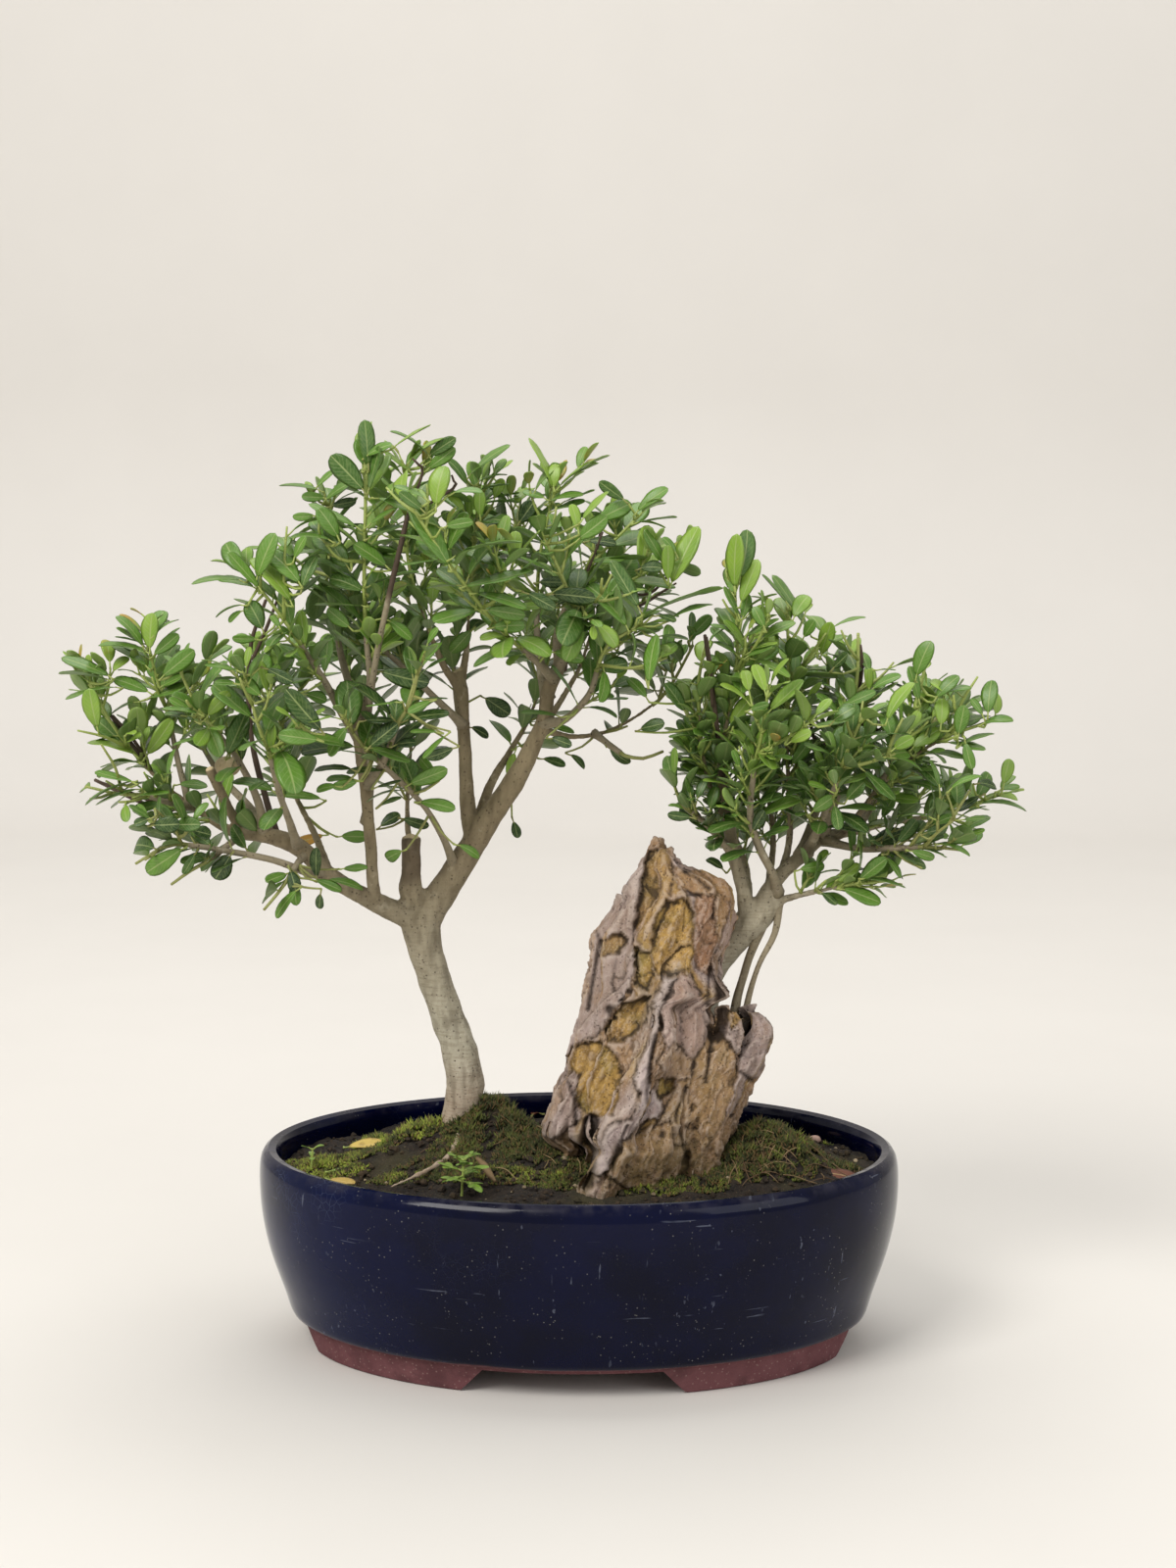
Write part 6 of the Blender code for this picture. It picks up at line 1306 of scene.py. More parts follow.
# Panels of the rock's front: (outline in pixels, how far it stands out, and how much more it
# does ten pixels to the right and ten pixels down, all in millimetres, then how ochre, smooth
# and red it is)
ROCK_PANELS = [
    ([(663, 867), (680, 867), (689, 885), (687, 902), (680, 927), (673, 946), (663, 974),
      (654, 974), (649, 946), (654, 913), (656, 890)], -1.2, 0.2, 0.1, 0.75, 0.2, 0.1),
    ([(689, 885), (705, 890), (733, 890), (743, 897), (747, 909), (745, 932), (733, 960),
      (719, 965), (710, 941), (708, 913), (691, 906)], 0.4, -0.2, 0.1, 0.45, 0.2, 0.35),
    ([(710, 913), (729, 913), (731, 960), (724, 997), (710, 988), (708, 960)],
     -0.6, -0.3, 0.1, 0.3, 0.2, 0.7),
    ([(668, 937), (680, 920), (701, 918), (708, 932), (708, 974), (703, 990), (687, 997),
      (670, 993), (663, 974), (666, 955)], -2.6, 0.1, 0.15, 1.0, 0.1, 0.0),
    ([(647, 965), (663, 974), (668, 997), (659, 1011), (649, 1007)], -3.0, 0.3, 0.2, 1.0, 0.1, 0.0),
    ([(659, 871), (654, 904), (649, 932), (645, 960), (649, 979), (640, 1016), (626, 1030),
      (612, 1054), (593, 1063), (577, 1072), (582, 1044), (593, 1016), (600, 983), (600, 960),
      (612, 939), (624, 927), (628, 909), (640, 895)], 1.0, 0.35, -0.05, 0.1, 0.9, 0.0),
    ([(614, 960), (635, 951), (640, 962), (631, 972), (612, 976)], -1.0, 0.0, 0.4, 0.8, 0.3, 0.3),
    ([(635, 1026), (663, 1016), (661, 1040), (649, 1054), (635, 1063), (621, 1063), (617, 1049)],
     -3.2, 0.2, 0.3, 0.9, 0.0, 0.1),
    ([(584, 1068), (612, 1063), (628, 1075), (635, 1096), (631, 1119), (624, 1138), (607, 1142),
      (593, 1133), (586, 1119), (591, 1100), (579, 1096), (577, 1082)],
     -1.8, 0.15, 0.2, 1.0, 0.1, 0.0),
    ([(577, 1082), (591, 1100), (586, 1119), (593, 1142), (565, 1163), (551, 1161), (561, 1128),
      (572, 1100)], 1.6, -0.4, 0.0, 0.05, 0.9, 0.1),
    ([(691, 995), (677, 997), (668, 1016), (666, 1040), (661, 1063), (652, 1082), (647, 1100),
      (654, 1119), (645, 1142), (621, 1147), (612, 1170), (598, 1198), (612, 1200), (626, 1189),
      (635, 1166), (659, 1142), (673, 1142), (675, 1124), (663, 1105), (663, 1082), (670, 1054),
      (673, 1030), (682, 1011)], 3.4, 0.0, 0.0, 0.0, 1.0, 0.0),
    ([(687, 1000), (705, 993), (715, 1016), (724, 1035), (719, 1063), (708, 1082), (696, 1072),
      (687, 1063), (680, 1072), (677, 1054), (673, 1030), (682, 1011)],
     1.4, -0.4, 0.1, 0.1, 0.75, 0.25),
    ([(680, 1072), (687, 1063), (708, 1082), (705, 1100), (691, 1103), (677, 1096), (670, 1082)],
     0.8, 0.1, -0.4, 0.4, 0.6, 0.1),
    ([(670, 1098), (687, 1103), (689, 1110), (675, 1121), (670, 1119)], -1.6, 0.0, 0.0, 1.0, 0.0, 0.0),
    ([(708, 1082), (724, 1054), (752, 1054), (752, 1100), (738, 1147), (719, 1175), (687, 1208),
      (673, 1217), (640, 1212), (617, 1198), (635, 1166), (673, 1142), (691, 1105), (705, 1100)],
     0.0, -0.15, 0.1, 0.4, 0.2, 0.05),
    ([(733, 1049), (761, 1035), (782, 1032), (790, 1049), (780, 1082), (775, 1100), (761, 1100),
      (757, 1119), (738, 1147), (752, 1100), (754, 1077)], 0.9, 0.1, 0.0, 0.05, 0.9, 0.0),
    ([(743, 1025), (754, 1023), (761, 1035), (747, 1049), (743, 1040)], -0.8, 0.0, 0.0, 0.9, 0.0, 0.1),
    ([(747, 909), (754, 932), (747, 969), (733, 988), (731, 969), (745, 932)],
     0.4, -0.2, 0.0, 0.1, 0.7, 0.2),
]
PEAK_RISE = 1.2
PEAK_NARROWEST = 0.3
PEAK_REACH = 6.0          # pixels to each side of the peak over which it rises
ROW_STEP = 4.0            # pixels between the rows that the outline is matched in
ROW_MOST = 20.0           # the most that a row is moved, in pixels
FRONT_RAMP = (0.15, 0.5)  # how squarely a surface faces the camera to count as front
FRONT_CALM = 0.5          # how much calmer the front is before its panels are set
LAYER_STRETCH = 0.3       # the rock's layers: how upright, fine, sharp and deep they are
LAYER_SCALE = 0.1
LAYER_SHARPNESS = 2.2
LAYER_DEPTH = 0.9
BROAD_DEPTH = 1.7         # depth of the broad and small cells, and of the broad ones' edges
SMALL_DEPTH = 0.5
EDGE_DEPTH = 0.9
EDGE_WIDTH = 0.08
ROCK_SINK = 0.7
# Noise that makes the panels' borders ragged, as (height in pixels, scale, seed)
RAGGED_U = [(2.4, 0.3, 31.0), (1.2, 0.9, 33.0)]
RAGGED_V = [(3.0, 0.3, 35.0), (1.2, 0.9, 37.0)]
# Width in pixels and height or depth in millimetres of the lines across the front
FIN_WIDTH, FIN_RISE = 6.0, 1.4
CREASE_WIDTH, CREASE_DEPTH = 2.2, 1.5
OPENING_WIDTH, OPENING_DEPTH = 8.0, 7.0
POCKET_WIDTH, POCKET_DEPTH = 8.0, 3.5
BORDER_WIDTH, BORDER_DEPTH = 1.6, 0.6
BORDER_SHADE_WIDTH = 2.0
SMOOTH_CALM = 0.85        # how much of the fine relief smooth and ochre rock loses
OCHRE_CALM = 0.4
NEAR_ROUNDS = 3           # rounds of smoothing that small and large hollows are found by
WIDE_ROUNDS = 12
# Cells of the rock's surface as (size, stretch along the layers, seed)
BROAD_FACETS = (17.0, 2.6, 3)
SMALL_FACETS = (7.0, 2.4, 8)
CHIP_FACETS = (3.4, 1.8, 5)
PANEL_EDGE = 1.5          # pixels over which a panel's edge drops
POCKET_LINE = [(733, 990), (738, 1012), (737, 1036), (732, 1056)]
ROCK_PITS = [(622, 1030, 4.6, 3.0), (634, 1021, 2.6, 1.8), (643, 1012, 2.2, 1.6), (648, 1004, 2.0, 1.2),
             (628, 1040, 2.2, 1.2), (676, 1158, 3.0, 1.0), (700, 1150, 2.6, 1.0)]
FIN_LINE = [(690, 985), (687, 994), (672, 1014), (659, 1051), (649, 1089), (646, 1126), (622, 1146),
            (600, 1188), (597, 1210)]
ROCK_CREASES = [
    [(699, 890), (712, 897), (724, 907)], [(756, 1094), (768, 1104), (779, 1111)],
    [(640, 1148), (628, 1176), (622, 1212)], [(606, 940), (612, 960), (607, 990), (600, 1030)],
    [(724, 989), (722, 1030), (726, 1064), (720, 1104)], [(668, 1056), (662, 1090), (660, 1124)],
    [(577, 1098), (586, 1120), (588, 1148)], [(700, 1110), (690, 1140), (700, 1180)],
]
OPENING_LINE = [(604, 1146), (600, 1176), (598, 1208)]


def crag(sections, seed):
    """A closed block of rock through oval sections, with upright ridges."""
    path = smooth_path([(x, y, z, half) for x, y, z, half, depth in sections], ROCK_ROW_HEIGHT)
    depths = smooth_path([(x, y, z, depth) for x, y, z, half, depth in sections], ROCK_ROW_HEIGHT)
    rings = []
    for row, (knot, deep) in enumerate(zip(path, depths)):
        ring = []
        for i in range(ROCK_COLUMNS):
            turn = math.tau * i / ROCK_COLUMNS
            out_x, out_y = math.cos(turn), math.sin(turn)
            ridge = noise.noise(Vector((out_x * RIDGE_TURN, out_y * RIDGE_TURN,
                                        knot.z * RIDGE_RISE + seed)))
            chip = noise.noise(Vector((out_x * CHIP_TURN, out_y * CHIP_TURN,
                                       knot.z * CHIP_RISE + seed * 2.0)))
            swell = 1.0 + ROCK_RELIEF * (RIDGE_DEPTH * (0.4 - abs(ridge) * 2.4) + CHIP_DEPTH * chip)
            lift = CHIP_LIFT * chip if 0 < row < len(path) - 1 else 0.0
            ring.append(Vector((knot.x + max(knot.w, 1.0) * swell * out_x,
                                knot.y + max(deep.w, 1.0) * swell * out_y, knot.z + lift)))
        rings.append(ring)
    return loft(rings)


def ellipsoid(centre, radii, columns=32, rows=20):
    rings = []
    for row in range(1, rows):
        lean = math.pi * row / rows
        rings.append([Vector((centre[0] + radii[0] * math.sin(lean) * math.cos(math.tau * i / columns),
                              centre[1] + radii[1] * math.sin(lean) * math.sin(math.tau * i / columns),
                              centre[2] - radii[2] * math.cos(lean))) for i in range(columns)])
    return loft(rings)


def pixels_of(points):
    """Pixels u and v where the photo shows each of the points."""
    away = points - np.array(CAMERA_PLACE)
    far = away @ np.array(LOOK)
    return (PICTURE_WIDTH / 2 + FOCAL_PIXELS * (away @ np.array(LOOK_RIGHT)) / far,
            PICTURE_HEIGHT / 2 - FOCAL_PIXELS * (away @ np.array(LOOK_UP)) / far)


def panel_depth(u, v, outline):
    """How many pixels the points (u, v) lie within an outline; negative outside it."""
    inner = np.zeros(len(u), dtype=bool)
    for (au, av), (bu, bv) in zip(outline, outline[1:] + outline[:1]):
        if av != bv:
            crossed = ((av > v) != (bv > v)) & (u < au + (bu - au) * (v - av) / (bv - av))
            inner ^= crossed
    away = line_distance(u, v, outline + outline[:1])
    return np.where(inner, away, -away)


def to_rock_rows(points):
    """Move points left or right until the rock fills the rows of its outline."""
    u, v = pixels_of(points)
    first = ROCK_ROWS[0][0]
    last_row = int((ROCK_ROWS[-1][0] - first) / ROW_STEP)
    row = np.clip(((v - first) / ROW_STEP).astype(int), 0, last_row)
    count = row.max() + 1
    lows, highs = np.full(count, 1e9), np.full(count, -1e9)
    np.minimum.at(lows, row, u)
    np.maximum.at(highs, row, u)
    middle = first + ROW_STEP * (np.arange(count) + 0.5)
    table = np.array(ROCK_ROWS, dtype=float)
    window = np.exp(-np.linspace(-1.5, 1.5, 5) ** 2)
    window /= window.sum()
    moves = []
    for column, found in ((1, lows), (2, highs)):
        wanted = np.interp(middle, table[:, 0], table[:, column]) - found
        wanted = np.pad(np.clip(wanted, -ROW_MOST, ROW_MOST), 2, mode="edge")
        moves.append(np.convolve(wanted, window, mode="valid"))
    left, right = np.interp(v, middle, moves[0]), np.interp(v, middle, moves[1])
    low, high = np.interp(v, middle, lows), np.interp(v, middle, highs)
    share = np.clip((u - low) / np.maximum(high - low, 1.0), 0.0, 1.0)
    depth = (points - np.array(CAMERA_PLACE)) @ np.array(LOOK)
    moved = points.copy()
    shift = left + (right - left) * share
    peak_u, peak_v, taper = ROCK_PEAK
    narrow = np.clip((v - peak_v) / taper, PEAK_NARROWEST, 1.0)
    shift += (u + shift - peak_u) * (narrow - 1.0)
    moved[:, 0] += shift * depth / FOCAL_PIXELS
    near_peak = np.exp(-((u + shift - peak_u) / PEAK_REACH) ** 2) * ramp(v, peak_v + taper, peak_v)
    moved[:, 2] += PEAK_RISE * near_peak
    return moved


def facets(points, size, stretch, seed):
    """Split points into leaning cells: each cell's own level and tilt, and its borders."""
    rng = random.Random(seed)
    lean = math.radians(ROCK_GRAIN_LEAN)
    x = points[:, 0] * math.cos(lean) - points[:, 2] * math.sin(lean)
    z = (points[:, 0] * math.sin(lean) + points[:, 2] * math.cos(lean)) / stretch
    warp = size * 0.22
    placed = np.stack([x + warp * grain(points, 1.3 / size, seed),
                       points[:, 1] + warp * grain(points, 1.3 / size, seed + 5.0),
                       z + warp * grain(points, 1.3 / size, seed + 9.0)], axis=1)
    low, high = placed.min(axis=0), placed.max(axis=0)
    count = max(8, int(np.prod((high - low) / size)))
    seeds = [Vector([rng.uniform(low[i], high[i]) for i in range(3)]) for _ in range(count)]
    tree = KDTree(count)
    for number, place in enumerate(seeds):
        tree.insert(place, number)
    tree.balance()
    level = [rng.uniform(-1, 1) for _ in seeds]
    tilt = [Vector([rng.uniform(-1, 1) for i in range(3)]) for _ in seeds]
    offset, border = np.empty(len(points)), np.empty(len(points))
    for i, place in enumerate(placed):
        (near, number, first), (_, _, second) = tree.find_n(place, 2)
        offset[i] = level[number] + (Vector(place) - near).dot(tilt[number]) / size
        border[i] = (second - first) / size
    return offset, border


def relief(mesh, points, normals, rounds):
    """How far each point stands out of (above 0) or lies below its surroundings."""
    edges = np.empty(len(mesh.edges) * 2, dtype=int)
    mesh.edges.foreach_get("vertices", edges)
    a, b = edges.reshape(-1, 2).T
    degree = np.bincount(np.concatenate([a, b]), minlength=len(points))[:, None]
    mean = points.copy()
    for _ in range(rounds):
        total = np.zeros_like(mean)
        for axis in range(3):
            total[:, axis] = (np.bincount(a, mean[b, axis], len(points))
                              + np.bincount(b, mean[a, axis], len(points)))
        mean = total / degree
    return np.einsum("ij,ij->i", points - mean, normals)


def line_distance(u, v, line):
    best = np.full(len(u), 1e9)
    for (au, av), (bu, bv) in zip(line, line[1:]):
        du, dv = bu - au, bv - av
        share = np.clip(((u - au) * du + (v - av) * dv) / (du * du + dv * dv), 0.0, 1.0)
        best = np.minimum(best, np.hypot(u - au - share * du, v - av - share * dv))
    return best


def roughened(values, points, layers):
    """The values with noise at the points added, in layers (height, scale, seed)."""
    for height, scale, seed in layers:
        values = values + height * grain(points, scale, seed)
    return values


def build_rock(materials):
    body = Shell()
    for number, sections in enumerate(ROCK_CRAGS.values()):
        body.add(*crag(sections, number * 7.3))
    mesh = worked(body.mesh("rock"), ("REMESH", {"mode": "VOXEL", "voxel_size": ROCK_VOXEL}))
    mesh = cut_with(mesh, [ellipsoid(POCKET_CENTRE, POCKET_RADII)])
    mesh = worked(mesh, ("REMESH", {"mode": "VOXEL", "voxel_size": ROCK_VOXEL}),
                  ("SMOOTH", {"factor": 0.5, "iterations": 2}))
    points, normals = mesh_arrays(mesh)
    broad, broad_edge = facets(points, *BROAD_FACETS)
    small = facets(points, *SMALL_FACETS)[0]
    chip, chip_edge = facets(points, *CHIP_FACETS)
    upright = points * np.array([1.0, 1.0, LAYER_STRETCH])
    ridges = 1.0 - LAYER_SHARPNESS * np.abs(grain(upright, LAYER_SCALE, 2.0))
    front = ramp(normals @ -np.array(LOOK), *FRONT_RAMP)
    calm = 1.0 - FRONT_CALM * front
    lift = LAYER_DEPTH * ridges * calm - ROCK_SINK
    lift = lift + BROAD_DEPTH * broad * calm + SMALL_DEPTH * small * calm
    lift -= EDGE_DEPTH * ramp(broad_edge, EDGE_WIDTH, 0.0) * calm
    points = to_rock_rows(points + normals * lift[:, None])

    u, v = pixels_of(points)
    ragged_u = roughened(u, points, RAGGED_U)
    ragged_v = roughened(v, points, RAGGED_V)
    ochre = 0.7 * ramp(grain(upright, 0.09, 13.0), 0.05, 0.3)
    smooth = 0.8 * ramp(grain(upright, 0.07, 15.0), 0.0, 0.3) * (1.0 - ochre)
    red = np.zeros(len(points))
    out = np.zeros(len(points))
    border_depth = np.full(len(points), 99.0)
    for outline, level, right, down, is_ochre, is_smooth, is_red in ROCK_PANELS:
        depth = panel_depth(ragged_u, ragged_v, outline)
        mask = ramp(depth, -PANEL_EDGE, PANEL_EDGE) * front
        middle = np.mean(np.array(outline), axis=0)
        shape = level + right * (u - middle[0]) / 10.0 + down * (v - middle[1]) / 10.0
        out = out * (1.0 - mask) + shape * mask
        ochre = ochre * (1.0 - mask) + is_ochre * mask
        smooth = smooth * (1.0 - mask) + is_smooth * mask
        red = red * (1.0 - mask) + is_red * mask
        border_depth = np.minimum(border_depth, np.abs(depth))
    fin = np.exp(-(line_distance(u, v, FIN_LINE) / FIN_WIDTH) ** 2) * front
    crease = np.zeros(len(points))
    for line in ROCK_CREASES:
        near = np.exp(-(line_distance(u, v, line) / CREASE_WIDTH) ** 2) * front
        crease = np.maximum(crease, near)
    opening = np.exp(-(line_distance(u, v, OPENING_LINE) / OPENING_WIDTH) ** 4) * front
    pocket = np.exp(-(line_distance(u, v, POCKET_LINE) / POCKET_WIDTH) ** 4) * front
    pit = np.zeros(len(points))
    pit_depth = np.zeros(len(points))
    for centre_u, centre_v, size, deep in ROCK_PITS:
        bowl = np.exp(-(((u - centre_u) ** 2 + (v - centre_v) ** 2) / size ** 2)) * front
        pit = np.maximum(pit, bowl)
        pit_depth = np.maximum(pit_depth, bowl * deep)
    rough = (1.0 - SMOOTH_CALM * smooth) * (1.0 - OCHRE_CALM * ochre)
    chips = grain(points, 0.2, 7.0)
    flakes = np.abs(grain(upright, 0.42, 9.0))
    grit = grain(points, 0.8, 11.0)
    out = out + FIN_RISE * fin - CREASE_DEPTH * crease - pit_depth
    out = out - OPENING_DEPTH * opening - POCKET_DEPTH * pocket
    out = out - BORDER_DEPTH * np.exp(-(border_depth / BORDER_WIDTH) ** 2) * front
    skin = (0.6 * chips + 0.5 * flakes) * (0.35 + 0.65 * rough) + 0.3 * grit * rough
    skin += (0.5 * chip - 0.22 * ramp(chip_edge, 0.1, 0.0)) * rough + 0.3 * small * rough
    points = points + normals * skin[:, None] - np.array(LOOK) * (out * front)[:, None]
    fine_relief = relief(mesh, points, normals, NEAR_ROUNDS)
    wide_relief = relief(mesh, points, normals, WIDE_ROUNDS)
    # Painted shade along the panels' borders and in the hollows, and painted highlight on the raised
    # parts; hollows and raised parts are found from how far each point lies below or stands out of its
    # surroundings
    border = np.exp(-(border_depth / BORDER_SHADE_WIDTH) ** 2) * front
    hollow_shade = 0.3 * ramp(-fine_relief, 0.06, 0.32) + 0.6 * ramp(-wide_relief, 0.3, 1.3)
    raised_highlight = 0.4 * ramp(fine_relief, 0.04, 0.25) + 0.4 * ramp(wide_relief, 0.3, 1.2)
    # The dark value is painted shade in the creases, pits, opening, pocket, hollows and along the
    # panels' borders; the pale one is painted highlight on the fin's crest and on raised parts
    shell = Shell("ochre", "smooth", "red", "pale", "dark")
    shell.add(points, [tuple(face.vertices) for face in mesh.polygons], 0, ochre=ochre,
              smooth=smooth, red=red, pale=np.clip(0.7 * fin + raised_highlight, 0.0, 1.0),
              dark=np.clip(0.6 * crease + pit + opening + pocket + hollow_shade + 0.4 * border, 0.0, 1.0))
    place_piece(shell.piece("rock_fine", materials), "rock", "rock")


# Pot


def build_pot(materials):
    """The pot's body with smooth walls, four feet and two drain holes."""
    wall = smooth_path([(inset, z, 0.0, 0.0) for inset, z in WALL_PROFILE], POT_ROW_HEIGHT)
    profile = FOOT_PROFILE + [(p.x, p.y) for p in wall[1:]] + INNER_WALL[2:]
    rings = [oval_ring(POT_HALF_LENGTH - inset, POT_HALF_DEPTH - inset, z, POT_SEGMENTS)
             for inset, z in profile]
    rings = [[point + Vector((point.x, point.y, 0.0)).normalized()
              * POT_UNEVENNESS * noise.noise(point * POT_WAVES) for point in ring]
             for ring in rings]
    verts, faces = loft(rings)
    mesh = bpy.data.meshes.new("pot")
    mesh.from_pydata([tuple(v) for v in verts], [], faces)
    below, reach = -1.0, POT_HALF_LENGTH + 10.0
    slope = FOOT_GAP_SLOPE / FOOT_GAP_TOP
    cutters = []
    for along_x, half in ((False, FOOT_GAP_FRONT), (True, FOOT_GAP_SIDE)):
        ends = []
        for end in (-reach, reach):
            corners = [(-half - slope, below), (half + slope, below),
                       (half - FOOT_GAP_SLOPE, FOOT_GAP_TOP), (-half + FOOT_GAP_SLOPE, FOOT_GAP_TOP)]
            ends.append([Vector((end, s, z)) if along_x else Vector((s, -end, z))
                         for s, z in corners])
        cutters.append(loft(ends))
    for x in (-DRAIN_HOLE_X, DRAIN_HOLE_X):
        ends = [oval_ring(DRAIN_HOLE_RADIUS, DRAIN_HOLE_RADIUS, z, 40)
                for z in (UNDERSIDE - 4.0, FLOOR_TOP + 4.0)]
        cutters.append(loft([[p + Vector((x, 0.0, 0.0)) for p in ring] for ring in ends]))
    mesh = cut_with(mesh, cutters)
    shell = Shell("height")
    points = mesh_arrays(mesh)[0]
    shell.add(points, [tuple(face.vertices) for face in mesh.polygons], 0, height=points[:, 2])
    place_piece(shell.piece("pot_fine", materials, 38.0), "glazed_pot", "pot")


# Soil and what lies or grows on it. Places are pixels of the photo, let down to the soil.
SOIL_RINGS = 70
SOIL_COLUMNS = 280
CRUMBS = 2400
MOSS_BLADES = 36000
MOSS_BARE = 0.52          # how much clumping leaves the soil between tufts bare
MOSS_DRY_SHARE = 0.24
MOSS_WIDTHS = (0.65, 1.25)
MOSS_THINNING = 0.75      # how much lower a patch is at its edge, as a share
MOSS_CLUMP = 0.62         # how dense a patch is, and how that varies, as (share, scale)
MOSS_CLUMP_NEAR = (0.6, 0.33)
MOSS_CLUMP_FAR = (0.5, 0.1)
MOSS_SHADES = (0.3, 1.7)
MOSS_LEAN = 1.1           # how upright its leaves stand
STRAWS = 90
STRAWS_ON_MOUND = 60      # the others lie further off, mostly to the left
STRAW_LENGTHS = (5.0, 15.0)
STRAW_FAR_SPREAD = 2.6
STRAW_FAR_SHIFT = 40.0
STRAW_RADIUS = 0.2
# A bit of bark as (share of its length, radius)
BARK_BIT = ((0.0, 0.9), (0.35, 1.5), (0.7, 1.4), (1.0, 0.7))
# Moss as (u, v, half width, half depth in millimetres, height, brightness)
MOSS_PATCHES = [
    (428, 1158, 11, 9, 7.5, 1.0), (330, 1190, 20, 12, 4.2, 0.8), (376, 1180, 16, 12, 4.0, 0.34),
    (508, 1154, 24, 22, 6.5, 0.16), (540, 1176, 20, 14, 4.2, 0.12), (770, 1176, 26, 18, 6.0, 0.2),
    (812, 1164, 12, 10, 5.0, 0.28), (857, 1166, 8, 6, 4.2, 0.45), (735, 1192, 14, 10, 4.2, 0.2),
    (300, 1190, 10, 8, 3.6, 0.8), (470, 1192, 18, 10, 3.2, 0.14), (600, 1206, 26, 6, 3.2, 0.2),
    (700, 1210, 22, 7, 3.6, 0.26), (440, 1190, 16, 9, 3.0, 0.12), (860, 1192, 14, 8, 3.0, 0.15),
    (500, 1200, 20, 6, 3.0, 0.3), (560, 1206, 16, 5, 3.0, 0.36), (345, 1200, 14, 5, 3.0, 0.6),
    (410, 1202, 14, 5, 2.6, 0.34), (380, 1166, 10, 8, 4.4, 0.55), (590, 1188, 14, 10, 3.0, 0.2),
    (470, 1174, 14, 10, 3.6, 0.24), (650, 1213, 20, 5, 3.0, 0.4), (795, 1192, 14, 7, 3.4, 0.26),
]
# Unevenness of the soil as (height in millimetres, scale, seed)
SOIL_NOISE = [(1.4, 0.14, 14.0), (1.1, 0.35, 0.0), (0.6, 0.9, 5.0), (0.35, 2.1, 9.0)]
SOIL_SINK = 0.2
RIM_CROWDING = 0.8        # how much closer the soil's rings stand at the rim
CRUMB_SIZES = (0.45, 1.5, 3.2)    # least radius, how much more, and how rare large ones are
CRUMB_SIDES = 5
CRUMB_TWIST = 0.5         # of each row of a crumb against the one under it, in radians
# Rows of a crumb from the lowest, as (half width, height), both in radii
CRUMB_ROWS = [(0.75, -0.4), (0.95, 0.15), (0.55, 0.65)]
# Ground that swells under the moss: (u, v, half width, half depth, rise in millimetres)
MOUND_PIXELS = [(497, 1146, 14, 12, 9.0), (418, 1166, 9, 8, 3.5), (530, 1166, 14, 10, 4.0),
                (380, 1186, 16, 9, 3.0), (762, 1168, 16, 12, 4.5), (800, 1176, 12, 9, 2.5),
                (560, 1196, 14, 7, 2.0)]
STRAW_PLACE = (775, 1176, 26.0, 16.0)     # middle pixel and spread in millimetres
PEBBLE_PIXEL = (831, 1165)
BARK_BIT_ENDS = ((487, 1186), (505, 1209))
RED_LEAVES_PIXEL = (546, 1140)
RED_LEAVES = ((200.0, 9.0), (80.0, 10.0), (140.0, 7.0))     # turn in degrees, length
PEBBLE_RADII = (2.8, 2.2, 1.7)
PEBBLE_RISE = 0.8
PEBBLE_ROWS = 9
PEBBLE_COLUMNS = 14
BLADE_PIXEL = (352, 1196)
# Fallen leaves as (turn in degrees, length, width, tone), each in place of its node
FALLEN_LEAVES = {
    "fallen_leaf_yellow": (15.0, 17.0, 8.5, 1.0),
    "fallen_leaf_brown": (-8.0, 21.0, 10.0, 0.1),
    "fallen_leaf_pale": (-35.0, 16.0, 6.0, 0.7),
}
FALLEN_LIFT = 1.4         # of a fallen leaf's middle over the lowest point of its node
# Seedlings as (x, y, height, leaf length, pairs of leaves)
SEEDLINGS = {
    "seedling_weed": (-44.0, -48.0, 14.0, 9.5, 4),
    "seedling_pale": (-108.0, -12.0, 9.0, 6.0, 1),
}


def on_soil(u, v):
    """Where the photo's ray through a pixel meets the soil."""
    y = -84.0
    while y < 84.0:
        point = from_photo(u, v, y)
        if point.z < soil_height(point.x, y):
            return Vector((point.x, y, soil_height(point.x, y)))
        y += 0.5
    return from_photo(u, v, 0.0)


def moss_mounds():
    """Places, half sizes and heights of the ground that swells under tall moss."""
    mounds = []
    for u, v, half_x, half_y, rise in MOUND_PIXELS:
        place = on_soil(u, v)
        mounds.append((place.x, place.y, half_x, half_y, rise))
    return mounds


def ground_height(x, y, mounds):
    height = soil_height(x, y)
    for mound_x, mound_y, half_x, half_y, rise in mounds:
        far = ((x - mound_x) / half_x) ** 2 + ((y - mound_y) / half_y) ** 2
        height += rise * math.exp(-far)
    return height


def lump(centre, radius, rng):
    """A small uneven crumb: rows of points round it, and one point at each end."""
    spin = rng.uniform(0, math.tau)
    verts = []
    for row, (wide, rise) in enumerate(CRUMB_ROWS):
        for i in range(CRUMB_SIDES):
            turn = spin + math.tau * i / CRUMB_SIDES + row * CRUMB_TWIST
            size = radius * wide * rng.uniform(0.75, 1.2)
            verts.append(centre + Vector((size * math.cos(turn), size * math.sin(turn),
                                          radius * rise * rng.uniform(0.7, 1.2))))
    bottom, top = len(verts), len(verts) + 1
    verts += [centre + Vector((0, 0, -radius * 0.8)), centre + Vector((0, 0, radius * 0.85))]
    faces = []
    last = bottom - CRUMB_SIDES
    for i in range(CRUMB_SIDES):
        j = (i + 1) % CRUMB_SIDES
        for low in range(0, last, CRUMB_SIDES):
            high = low + CRUMB_SIDES
            faces.append((low + i, low + j, high + j, high + i))
        faces += [(bottom, j, i), (top, last + i, last + j)]
    return verts, faces


